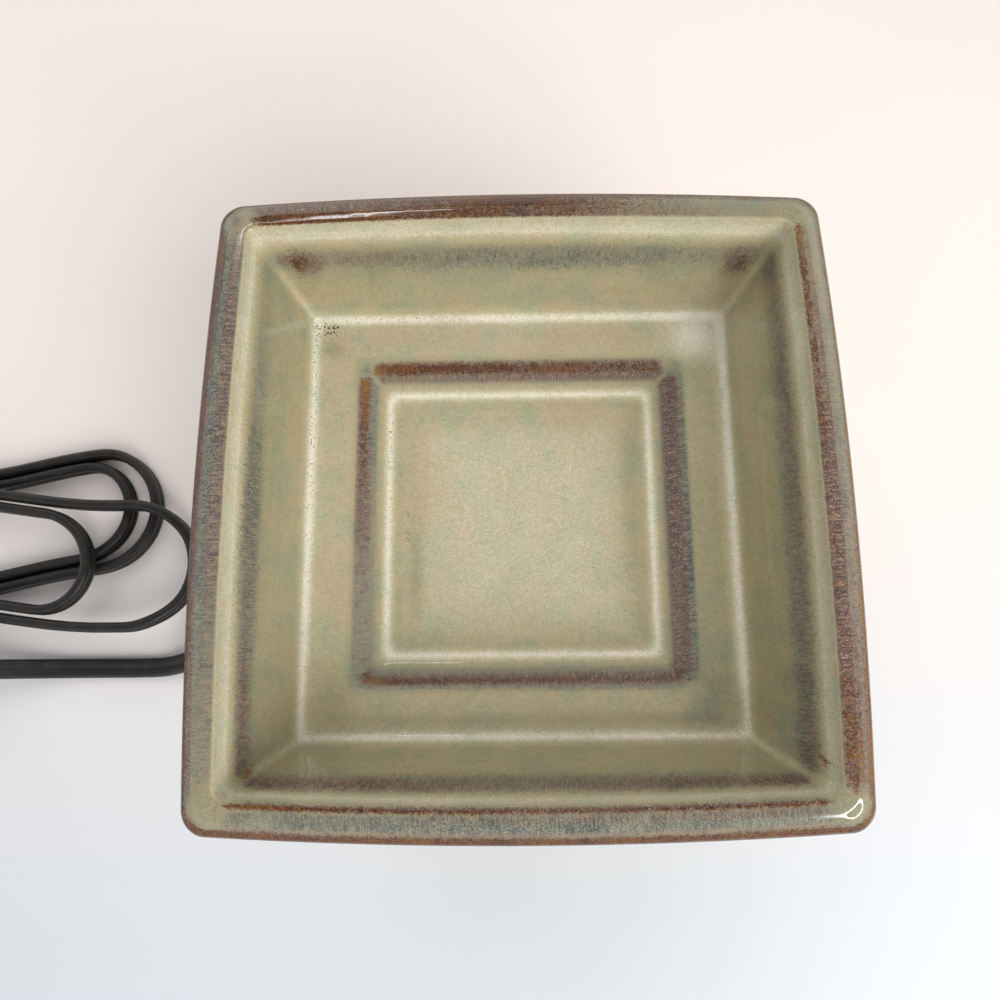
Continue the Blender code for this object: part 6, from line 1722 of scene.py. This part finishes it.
@dataclass
class CordSet:
    """Flat twin cord from the bushing through the switch to the bundled hank and the plug."""

    width: float = 0.0070
    thickness: float = 0.0036
    exit_y: float = -0.030
    exit_z: float = 0.0115
    bushing_end_x: float = -0.0921
    switch_x: float = -0.2265
    switch_y: float = -0.0392
    switch_z: float = 0.00915
    switch_half_length: float = 0.0290
    plug_x: float = -0.2650
    plug_y: float = 0.0480
    plug_z: float = 0.00805
    float_z: float = 0.00005
    turns: int = 4
    lane: float = 0.0046
    inner_radius: float = 0.0153
    layer_gap: float = 0.0007
    hank_y: float = 0.0065
    left_x: float = -0.2750
    waist_x: float = -0.2180
    fan_end_x: float = -0.1500
    loop_x: tuple[float, ...] = (-0.1583, -0.1637, -0.1740, -0.1414)
    fan_lower: float = 0.0104
    fan_upper: float = -0.0069
    droop: float = 0.0045
    droop_start_x: float = -0.1335
    droop_length: float = 0.0130
    tie_x: float = -0.2350
    tie_thickness: float = 0.0008
    tie_lift_reach: float = 0.0280
    tie_lift_length: float = 0.0200
    spacing: float = 0.0018
    samples_per_turn: int = 150

    @property
    def flat_z(self) -> float:
        """Height of the cord's middle where it lies flat."""
        return self.thickness / 2 + self.float_z

    @property
    def on_edge_z(self) -> float:
        """Height of the cord's middle where it stands on edge."""
        return self.width / 2 + self.float_z

    def run_route(self) -> Array:
        """The near stretch: down from the bushing, flat on the table, up to the switch."""
        start = (self.bushing_end_x - GAP, self.exit_y, self.exit_z)
        end = (self.switch_x + self.switch_half_length + GAP, self.switch_y, self.switch_z)
        y, flat_z = self.switch_y, self.flat_z
        return np.array((
            start, (start[0] - self.width, *start[1:]),
            (-0.1065, -0.0316, 0.0092), (-0.1135, -0.0342, 0.0063), (-0.1205, -0.0370, 0.0037),
            (-0.1285, -0.0388, flat_z), (-0.1380, y, flat_z), (-0.1500, y, flat_z),
            (-0.1620, y, 0.0022), (-0.1730, y, 0.0042), (-0.1830, y, 0.0072),
            (end[0] + self.width, *end[1:]), end,
        ))

    def link_route(self, hank_start: Array) -> Array:
        """The stretch from the switch to the hank, point by point."""
        start = (self.switch_x - self.switch_half_length - GAP, self.switch_y, self.switch_z)
        end = hank_start - np.array((0.0, self.width + GAP, 0.0))
        return np.array((
            start, (start[0] - self.width, *start[1:]),
            (-0.2690, -0.0380, 0.0080), (-0.2775, -0.0352, 0.0063), (-0.2855, -0.0304, 0.0050),
            (-0.2925, -0.0238, 0.0041), (-0.2975, -0.0160, self.on_edge_z),
            end - np.array((0.0, self.width, 0.0)), end,
        ))

    def tail_route(self, hank_end: Array) -> Array:
        """The stretch from the hank to the plug, point by point."""
        start = hank_end + np.array((0.0, self.width + GAP, 0.0))
        end = (self.plug_x - GAP, self.plug_y, self.plug_z)
        return np.array((
            start, start + np.array((0.0, self.width, 0.0)),
            (-0.2987, 0.0290, 0.0105), (-0.2955, 0.0370, 0.0095), (-0.2895, 0.0435, 0.0086),
            (-0.2815, 0.0470, 0.0081), (end[0] - self.width, *end[1:]), end,
        ))

    def smooth_route(self, places: Array) -> Array:
        """Even points along a smooth curve between two straight ends.

        Between places b and c, with a before and d after, the curve is
        (2b + (c - a) t + (2a - 5b + 4c - d) t^2 + (3b - a - 3c + d) t^3) / 2.

        Args:
            places: the route's points; the first two and the last two bound its straight ends.

        Returns:
            The route's points, a spacing apart.
        """
        t = (np.arange(16) / 16)[None, :, None]
        a, b, c, d = (part[:, None] for part in (places[:-3], places[1:-2], places[2:-1], places[3:]))
        curve = 0.5 * (2 * b + (c - a) * t + (2 * a - 5 * b + 4 * c - d) * t ** 2
                       + (3 * b - a - 3 * c + d) * t ** 3)
        return resampled(np.concatenate((places[:1], curve.reshape(-1, 3), places[-2:])), self.spacing)

    def hank_places(self, turn: Array) -> Array:
        """Middle of the cord after so many turns, counted from the leftmost point, clockwise.

        A turn is a quarter round the left end, a run, the loop round its own right end, a run back, and
        the last quarter. It winds in for half of the turns and out again on top, its lanes stepping at
        the right, and its right ends fan out as they lie loose.

        Args:
            turn: how many turns in, for each point.

        Returns:
            The points as (n, 3).
        """
        quarter, run, loop = 0.15, 0.15, 0.40
        half_turns = self.turns / 2
        part = turn - np.floor(turn)
        away = np.abs(turn - half_turns)
        lane = np.floor(away) + smooth_step(away - np.floor(away), 0.3, 0.7)
        radius = self.inner_radius + self.lane * lane
        right = np.array(self.loop_x)[np.minimum(turn.astype(int), self.turns - 1)]
        loop_start, loop_end = quarter + run, quarter + run + loop
        early, late = part < quarter, part > loop_end + run
        on_loop = (part >= loop_start) & (part <= loop_end)
        angle = np.select((early, late, on_loop),
                          (math.pi - part / quarter * TAU / 4, math.pi + (1 - part) / quarter * TAU / 4,
                           TAU / 4 - (part - loop_start) / loop * math.pi))
        round_end, outwards = early | late | on_loop, part < loop_start
        x = np.where(round_end, np.where(on_loop, right, self.left_x) + radius * np.cos(angle),
                     np.where(outwards, self.left_x + (right - self.left_x) * (part - quarter) / run,
                              right + (self.left_x - right) * (part - loop_end) / run))
        across = np.where(round_end, radius * np.sin(angle), np.where(outwards, radius, -radius))
        upper = turn > half_turns
        fan = np.where(upper, self.fan_upper, self.fan_lower)
        y = self.hank_y + fan * smooth_step(x, self.waist_x, self.fan_end_x) + across
        climb = (self.width + self.layer_gap) * smooth_step(turn, half_turns - 0.2, half_turns + 0.1)
        droop = np.where(upper, self.droop, 0.0) * smooth_step(x, self.droop_start_x,
                                                               self.droop_start_x + self.droop_length)
        beyond = (np.abs(x - self.tie_x) - self.tie_lift_reach) / self.tie_lift_length
        lift = np.where(across > 0, (self.tie_thickness + GAP) * (1 - smooth_step(beyond)), 0.0)
        return np.stack((x, y, self.on_edge_z + climb - droop + lift), axis=1)

    def section(self) -> Array:
        """The flat twin's section: two round lobes with a soft groove between them, width first."""
        lobe = self.thickness / 2
        offset = self.width / 2 - lobe
        turn = np.radians(np.linspace(-118, 118, 15))
        right = np.stack((offset + lobe * np.cos(turn), lobe * np.sin(turn)), axis=1)
        groove = np.array(((offset * 0.28, lobe * 0.74), (0.0, lobe * 0.66), (-offset * 0.28, lobe * 0.74)))
        return np.concatenate((right, groove, -right, -groove))

    def lay_cord(self, name: str, path: Array, tilt: Array, replaces: Sequence[str]) -> None:
        """Args:
            name: the cord's name.
            path: the points of its middle.
            tilt: its turn about the path: 0 lies flat, and a quarter turn stands on edge.
            replaces: the construction's nodes that it stands for.
        """
        cord = make_piece(name, swept(path, tilt, self.section()), JACKET, "root", replaces,
                          sharp=None)

    def build(self, near_pieces: Sequence[bpy.types.Object | str],
              far_pieces: Sequence[bpy.types.Object | str]) -> None:
        """Args:
            near_pieces: what is on the near stretch: the bushing and the switch; not used.
            far_pieces: what is on the far stretch: the tie and the plug; not used.
        """
        run = self.smooth_route(self.run_route())
        self.lay_cord("near_cord", run, np.zeros(len(run)), ["supply_cord_run"])
        turn = np.linspace(0, self.turns, self.turns * self.samples_per_turn + 1)
        turn[-1] -= 1e-9
        hank = self.hank_places(turn)
        link = self.smooth_route(self.link_route(hank[0]))
        tail = self.smooth_route(self.tail_route(hank[-1]))
        rising, laying = (
            smooth_step(travelled, self.width, travelled[-1] - self.width)
            for travelled in (polyline_lengths(link), polyline_lengths(tail)))
        tilt = np.concatenate((rising, np.ones(len(hank)), 1 - laying)) * TAU / 4
        self.lay_cord("far_cord", np.concatenate((link, hank, tail)), tilt,
                      ["supply_cord_link", "supply_cord_hank", "supply_cord_tail"])


@dataclass
class CordFittings:
    """What is on the cord: strain relief, switch, plug and tie."""

    cord: CordSet
    housing_face: float = 0.0663
    bushing_flange: float = 0.0068
    bushing_flange_thickness: float = 0.0018
    bushing_shaft: float = 0.0045
    bushing_root: float = 0.0058
    bushing_tip: float = 0.0044
    bushing_grooves: int = 5
    groove_depth: float = 0.0009
    case_half_height: float = 0.0090
    case_half_width: float = 0.0120
    case_end_half_width: float = 0.0065
    case_edge: float = 0.0026
    case_room: float = 0.0006
    cut_overlap: float = 0.002
    spindle_reach: float = 0.0068
    screw_offset: float = 0.0190
    screw_hole: float = 0.0017
    head_recess: tuple[float, float] = (0.0032, 0.0022)
    nut_recess: tuple[float, float] = (0.0036, 0.0028)
    wheel_bore: float = 0.0021
    wheel_notches: int = 20
    neck_half_width: float = 0.0055
    neck_half_depth: float = 0.0040
    blade_hole: float = 0.0015
    blade_chamfer: float = 0.0003

    def build_bushing(self) -> bpy.types.Object:
        """Turn the tapered strain relief about X, its tail notched by five flex grooves."""
        box = Box.of("cord_bushing")
        length = 2 * box.half[0]
        flange, thick, shaft = self.bushing_flange, self.bushing_flange_thickness, self.bushing_shaft
        shaft_end = length + box.low[0] + self.housing_face
        corners = [(0.0, 0.0, 0.0), (flange * 0.80, 0.0, 0.0), (flange * 0.85, thick, 0.0004),
                   (shaft, thick, 0.0), (shaft, shaft_end, 0.0), (flange, shaft_end, 0.0004),
                   (flange, shaft_end + thick, 0.0005), (self.bushing_root, shaft_end + 0.0026, 0.0006)]
        tail_start = shaft_end + 0.0050
        step = (length - tail_start - 0.0022) / self.bushing_grooves
        for i in range(self.bushing_grooves):
            share = (i + 0.5) / self.bushing_grooves
            rib = self.bushing_root + (self.bushing_tip - self.bushing_root) * share
            corners += [(radius, tail_start + step * (i + part), 0.0003) for radius, part in (
                (rib, 0.0), (rib - self.groove_depth, 0.18), (rib - self.groove_depth, 0.42), (rib, 0.60))]
        corners += [(self.bushing_tip, length, 0.0008), (0.0, length, 0.0)]
        surface = revolved(filleted(corners, arc_steps=5, spacing=0.001), 56)
        turn = Matrix.Rotation(-math.pi / 2, 4, "Y")
        place = Matrix.Translation((box.high[0], self.cord.exit_y, self.cord.exit_z))
        return make_piece("ribbed_bushing", surface.moved(place @ turn), BUSHING_RUBBER, "root",
                          ["cord_bushing"], sharp=40.0)

    def build_tie(self) -> bpy.types.Object:
        """A strap round one side of the hank, as a rounded band of even thickness."""
        box = Box.of("cord_tie")
        thick = self.cord.tie_thickness
        outline = rounded_rectangle(box.half[1] - thick / 2, box.half[2] - thick / 2, 0.0016, 8)
        path = resampled(np.concatenate((outline, outline[:1])), 0.0005)[:-1]
        ahead = unit(np.roll(path, -1, axis=0) - np.roll(path, 1, axis=0))
        outward = np.column_stack((ahead[:, 1], -ahead[:, 0]))
        section = rounded_rectangle(box.half[0], thick / 2, thick * 0.35, 4)
        flat = path[:, None] + outward[:, None] * section[None, :, 1:]
        across = np.broadcast_to(section[None, :, :1], (len(path), len(section), 1))
        rings = np.concatenate((across, flat), axis=-1) + box.middle
        return make_piece("hook_strap", lofted(rings, closed=True), STRAP, "root",
                          ["cord_tie"], sharp=None)

    def switch_half(self, height: Array, share: Array) -> Array:
        """Rings of a switch half: plan outline at each height, drawn in towards its face.

        The outline's half width is w - (w - e) S((|t| - 0.45) / 0.55) at share t of the half length, for
        middle half width w, end half width e and the even step S, and its ends are rounded.

        Args:
            height: height of each ring.
            share: how much of the full outline each ring has.

        Returns:
            Points as (ring, point, xyz), anticlockwise seen from above.
        """
        cord, middle, end = self.cord, self.case_half_width, self.case_end_half_width
        t = np.cos(np.linspace(0, math.pi, 61))
        half = middle - (middle - end) * smooth_step(np.abs(t), 0.45, 1.0)
        end_round = np.clip((np.abs(t) - 0.93) / 0.07, 0, 1)
        half = half * (0.78 + 0.22 * np.sqrt(1 - end_round ** 2))
        outline = np.concatenate((np.column_stack((t, half)), np.column_stack((-t, -half))))
        long = cord.switch_half_length * (1 - (1 - share) * 0.35)
        x = cord.switch_x + outline[None, :, 0] * long[:, None]
        y = cord.switch_y + outline[None, :, 1] * share[:, None]
        return np.stack((x, y, np.broadcast_to(height[:, None], x.shape)), axis=-1)

    def build_switch(self) -> list[bpy.types.Object]:
        """Two moulded halves with a wheel slot and a screw, the knurled wheel, and the kept pieces."""
        edge, straight = self.case_edge, self.case_half_height - self.case_edge
        turn = np.linspace(0, TAU / 4, 8)[1:]
        level = np.concatenate(([GAP / 2, 0.0004], np.linspace(0.0012, straight, 5),
                                straight + edge * np.sin(turn)))
        share = np.concatenate(([0.985, 1.0], np.ones(5), 1 - 0.17 * (1 - np.cos(turn))))
        pieces = []
        for label, sign in (("lower", -1), ("upper", 1)):
            rings = self.switch_half(self.cord.switch_z + sign * level, share)[::sign]
            piece = make_piece(f"moulded_case_{label}", lofted(rings), CASE_PLASTIC, "root",
                               [f"switch_case_{label}"], sharp=40.0)
            self.cut_case(piece, sign)
            pieces.append(piece)
        pieces.append(self.build_wheel())
        box, head = Box.of("switch_screw"), 0.0016
        screw = PanHeadScrew(box.half[0], head, 0.0014, 2 * box.half[2] - head)
        place = Matrix.Translation((*box.middle[:2], box.high[2]))
        pieces.append(make_piece("case_screw", screw.surface().moved(place), SCREW_PLATING, "root",
                                 ["switch_screw"]))
        dress(SCREW_PLATING, "switch_nut")
        dress(BRASS, "switch_spindle", "switch_contact_1", "switch_contact_2")
        return pieces

    def build_wheel(self) -> bpy.types.Object:
        """Turn the thumb wheel, its rim notched by 1 - 0.045 ((1 - cos(n a)) / 2)^1.5."""
        box, steps = Box.of("switch_wheel"), 240
        radius, thick, bore = box.half[1], 2 * box.half[2], self.wheel_bore
        angle = np.arange(steps) / steps * TAU
        notch = 1 - 0.045 * (0.5 - 0.5 * np.cos(angle * self.wheel_notches)) ** 1.5
        face = ((bore, 0.0), (radius * 0.55, 0.0), (radius * 0.60, 0.0003), (radius * 0.86, 0.0003),
                (radius * 0.90, 0.0))
        corners = [(out, sunk, 0.0) for out, sunk in face] + [(radius, 0.0, 0.0006), (radius, thick, 0.0006)]
        corners += [(out, thick - sunk, 0.0) for out, sunk in face[::-1]] + [(bore, 0.0, 0.0)]
        profile = filleted(corners, arc_steps=5, spacing=0.001)
        inward = smooth_step(profile[:, :1], radius * 0.7, radius * 0.95)
        wheel = revolved(profile, steps, 1 - (1 - notch[None]) * inward)
        place = Matrix.Translation((*box.middle[:2], box.low[2]))
        return make_piece("knurled_wheel", wheel.moved(place), WHEEL_PLASTIC, "thumb_wheel",
                          ["switch_wheel"], sharp=30.0)

    def cut_case(self, piece: bpy.types.Object, sign: int) -> None:
        """Cut the wheel's slot and the screw's recess out of a case half."""
        cord, box = self.cord, Box.of("switch_wheel")
        inner, face = -sign * self.cut_overlap, sign * self.case_half_height
        recess_radius, recess_depth = self.head_recess if sign > 0 else self.nut_recess
        wheel, screw = box.middle[:2], (cord.switch_x + self.screw_offset, cord.switch_y)
        # Middle, radius, and the two ends over the case's parting plane
        cuts = ((wheel, box.half[1] + self.case_room, inner, sign * (box.half[2] + self.case_room)),
                (wheel, self.wheel_bore, inner, sign * self.spindle_reach),
                (screw, recess_radius, face - sign * recess_depth, face + sign * self.cut_overlap),
                (screw, self.screw_hole, inner, face))
        for middle, radius, *ends in cuts:
            bottom, top = sorted(cord.switch_z + end for end in ends)
            shape = revolved(((0.0, bottom), (radius, bottom), (radius, top), (0.0, top)), 64)
            mesh = shape.moved(Matrix.Translation((*middle, 0))).mesh("cutter")
            merge_doubles(mesh)
            cutter = linked("cutter", mesh)
            modifier = piece.modifiers.new("cut", "BOOLEAN")
            modifier.operation, modifier.solver, modifier.object = "DIFFERENCE", "EXACT", cutter
            evaluated = piece.evaluated_get(bpy.context.evaluated_depsgraph_get())
            cut_mesh = bpy.data.meshes.new_from_object(evaluated)
            piece.modifiers.clear()
            bpy.data.objects.remove(cutter)
            piece.data = cut_mesh
        piece.data.shade_smooth()
        piece.data.set_sharp_from_angle(angle=math.radians(35))

    def build_plug(self) -> list[bpy.types.Object]:
        """The moulded plug: ribbed neck, swelling shoulder, waisted grip, and two holed blades."""
        box, neck, deep = Box.of("plug_body"), self.neck_half_width, self.neck_half_depth
        share = np.concatenate(([0.0, 0.004], np.linspace(0.02, 0.97, 64), [0.985, 0.996, 1.0]))
        swell = smooth_step(share, 0.16, 0.42)
        waist = 1 - 0.07 * np.exp(-((share - 0.70) / 0.13) ** 2)
        ribs = 1 + 0.05 * np.cos(share / 0.035 * TAU) * (1 - smooth_step(share, 0.12, 0.20))
        ends = np.interp(share, (0, 0.004, 0.02, 0.97, 0.985, 0.996, 1),
                         (0.93, 0.97, 1, 1, 0.985, 0.95, 0.91))
        width = (neck + (box.half[1] - neck) * swell) * waist * ribs * ends
        depth = (deep + (box.half[2] - deep) * swell) * (1 + (waist - 1) * 0.4) * ribs * ends
        outlines = [rounded_rectangle(*sizes, 8) for sizes in zip(width, depth, 0.0022 + 0.0024 * swell)]
        rings = np.roll(stacked(list(zip(outlines, box.low[0] + 2 * box.half[0] * share))), 1, axis=-1)
        middle = np.array((0.0, self.cord.plug_y, self.cord.plug_z))
        body = make_piece("moulded_plug", lofted(rings + middle), PLUG_PLASTIC, "root",
                          ["plug_body"], sharp=45.0)
        return [body, self.build_blade(1), self.build_blade(2)]

    def build_blade(self, number: int) -> bpy.types.Object:
        """One flat blade with a chamfered, rounded tip and the usual hole near it."""
        box = Box.of(f"plug_blade_{number}")
        half_length, thick, half = box.half
        hole_middle = np.array((half_length * 0.60, 0.0))
        outline = rounded_rectangle(half_length, half, half * 0.55, 8)
        order = np.argsort(np.arctan2(outline[:, 1], outline[:, 0] - hole_middle[0]))
        outline = outline[order]
        hole = hole_middle + self.blade_hole * unit(outline - hole_middle)
        inner = outline * (1 - self.blade_chamfer / np.array((half_length, half)))
        rings = stacked(((hole, -thick), (inner, -thick), (outline, -thick + self.blade_chamfer),
                         (outline, thick - self.blade_chamfer), (inner, thick), (hole, thick)))
        rings = rings[:, ::-1, [0, 2, 1]] + box.middle
        return make_piece(f"holed_blade_{number}", lofted(rings, closed=True), BRASS, "root",
                          [f"plug_blade_{number}"], sharp=30.0)


def facing(place: Sequence[float], aim: Sequence[float]) -> Matrix:
    """Matrix of a thing at a place whose -Z axis faces an aim."""
    away = Vector(place) - Vector(aim)
    return Matrix.Translation(place) @ away.to_track_quat("Z", "Y").to_matrix().to_4x4()


@dataclass
class Studio:
    """Pale table, soft lamps and the camera at the photograph's angle."""

    lens_mm: float = 28.0
    sensor_mm: float = 36.0
    azimuth: float = math.radians(3.389)
    elevation: float = math.radians(78.613)
    roll: float = math.radians(-3.956)
    distance: float = 0.17648
    target: tuple[float, float, float] = (-0.00501, -0.00143, 0.1180)
    table_half: float = 4.0
    ring_radius: float = 0.12
    ring_width: float = 0.030
    slit: tuple[float, float, float] = (0.34, 0.024, 0.004)
    glow_strength: float = 22.0
    surround: tuple[float, float] = (0.95, 0.35)
    surround_light: float = 0.52
    lamp_aim: tuple[float, float, float] = (0.0, 0.0, 0.08)

    def build_camera(self) -> None:
        """Place the camera: back along its azimuth and elevation, then rolled about its own axis."""
        back = np.array((math.sin(self.azimuth) * math.cos(self.elevation),
                         -math.cos(self.azimuth) * math.cos(self.elevation), math.sin(self.elevation)))
        right = np.array((math.cos(self.azimuth), math.sin(self.azimuth), 0.0))
        up = np.cross(back, right)
        rolled_right = math.cos(self.roll) * right + math.sin(self.roll) * up
        rolled_up = math.cos(self.roll) * up - math.sin(self.roll) * right
        place = Matrix.Translation(np.array(self.target) + back * self.distance)
        turn = Matrix(np.column_stack((rolled_right, rolled_up, back)).tolist()).to_4x4()
        data = bpy.data.cameras.new("photo_camera")
        data.lens = self.lens_mm
        data.sensor_width = self.sensor_mm
        data.clip_start = 0.01
        camera = linked("photo_camera", data)
        camera.matrix_world = place @ turn
        bpy.context.scene.camera = camera

    def add_lamp(self, name: str, place: Sequence[float], size: float, power: float, colour: str) -> None:
        """Add a soft square lamp that faces the dish and doesn't show in reflections.

        Args:
            name: the lamp's name.
            place: where it stands.
            size: its side.
            power: its power in watts.
            colour: its colour as a hex value.
        """
        data = bpy.data.lights.new(name, "AREA")
        data.shape = "RECTANGLE"
        data.size = data.size_y = size
        data.energy = power
        data.color = linear(colour)[:3]
        lamp = linked(name, data)
        lamp.matrix_world = facing(place, self.lamp_aim)
        lamp.visible_glossy = False

    def add_glow(self, name: str, shape: Surface, place: Sequence[float], aim: Sequence[float]) -> None:
        """Add a lamp that only shows in reflections, as the small bright shapes in the glaze.

        Args:
            name: the lamp's name.
            shape: its surface, flat across its own +Z.
            place: where it stands.
            aim: the point that it faces.
        """
        mesh = shape.moved(facing(place, aim)).mesh(name)
        material = bpy.data.materials.new(name + "_glow")
        add = fresh_nodes(material)
        add("OutputMaterial", {"Surface": add("Emission", {"Strength": self.glow_strength})})
        mesh.materials.append(material)
        lamp = linked(name, mesh)
        lamp.visible_diffuse = False
        lamp.visible_camera = False
        lamp.visible_shadow = False

    def ring(self) -> Surface:
        """A ring lamp: a flat tube round a circle."""
        steps = 64
        tube = rounded_rectangle(self.ring_width / 2, self.ring_width / 2, self.ring_width / 3, 3)
        return swept(at_level(circle(steps, self.ring_radius), 0.0), np.zeros(steps), tube, closed=True)

    def wedge(self) -> Surface:
        """A slit of window light: a long strip that narrows to one end."""
        length, wide, narrow = (size / 2 for size in self.slit)
        points = np.array(((-length, -wide, 0), (length, -narrow, 0),
                           (length, narrow, 0), (-length, wide, 0)))
        return Surface(points, np.array(((0, 1, 2, 3),)))

    def build_world(self) -> None:
        """A plain soft surround, pale towards the horizon in the picture and in reflections."""
        world = bpy.data.worlds.new("soft_surround")
        bpy.context.scene.world = world
        add = fresh_nodes(world)
        seen, glossy, through = (add("LightPath", out=f"Is {ray} Ray")
                                 for ray in ("Camera", "Glossy", "Transmission"))
        mirrored = add("Math", {0: glossy, 1: through}, operation="MAXIMUM")
        pale = add("Math", {0: seen, 1: mirrored}, operation="MAXIMUM")
        height = add("SeparateXYZ", {"Vector": add("TexCoord", out="Generated")}, out="Z")
        horizon, overhead = self.surround
        shade = add("MapRange", {"Value": height, "From Min": 0.25, "From Max": 0.85,
                                 "To Min": horizon, "To Max": overhead}, interpolation_type="SMOOTHSTEP")
        light = add("Background", {"Color": linear("#F4F3F1"), "Strength": self.surround_light})
        white = add("Background", {"Color": linear("#FFFFFF"), "Strength": shade})
        add("OutputWorld", {"Surface": add("MixShader", {0: pale, 1: light, 2: white})})

    def build_table(self) -> None:
        """The pale table that the warmer stands on."""
        share = np.linspace(-1, 1, 9) * self.table_half
        x, y = np.meshgrid(share, share)
        points = np.stack((x, y, np.zeros_like(x)), axis=-1).reshape(-1, 3)
        mesh = Surface(points, grid_quads(9, 9)).mesh("table_top")
        mesh.materials.append(material_of(TABLE))
        linked("table_top", mesh)

    def build(self) -> None:
        """Set the table, the lamps, the surround and the camera."""
        bpy.context.scene.view_settings.view_transform = "Standard"
        self.build_table()
        self.build_world()
        self.add_lamp("key_lamp", (0.48, -0.62, 0.80), 0.85, 11.5, "#FFFBF4")
        self.add_lamp("fill_lamp", (-0.34, 0.74, 0.85), 1.0, 4.0, "#FFF9F2")
        self.add_glow("window_slit", self.wedge(), (-0.24, 0.58, 0.95), (-0.04, 0.07, 0.12))
        self.add_glow("ring_lamp", self.ring(), (0.34, -0.29, 0.38), (0.0, 0.0, 0.12))
        self.build_camera()


def main() -> None:
    """Build every sub-assembly, the cords and the studio."""
    logging.basicConfig(level=logging.INFO, format="%(name)s: %(message)s")
    cord = CordSet()
    fittings = CordFittings(cord)
    Studio().build()
    Dish().build()
    housing = Housing()
    housing.build()
    housing.build_bosses()
    for assembly in (Base(), LampHolder(), Lamp()):
        assembly.build()
    bushing = fittings.build_bushing()
    switch = fittings.build_switch()
    plug = fittings.build_plug()
    tie = fittings.build_tie()
    cord.build([bushing, *switch, "switch_nut", "switch_spindle", "switch_contact_1", "switch_contact_2"],
               [tie, *plug])


if __name__ == "__main__":
    main()
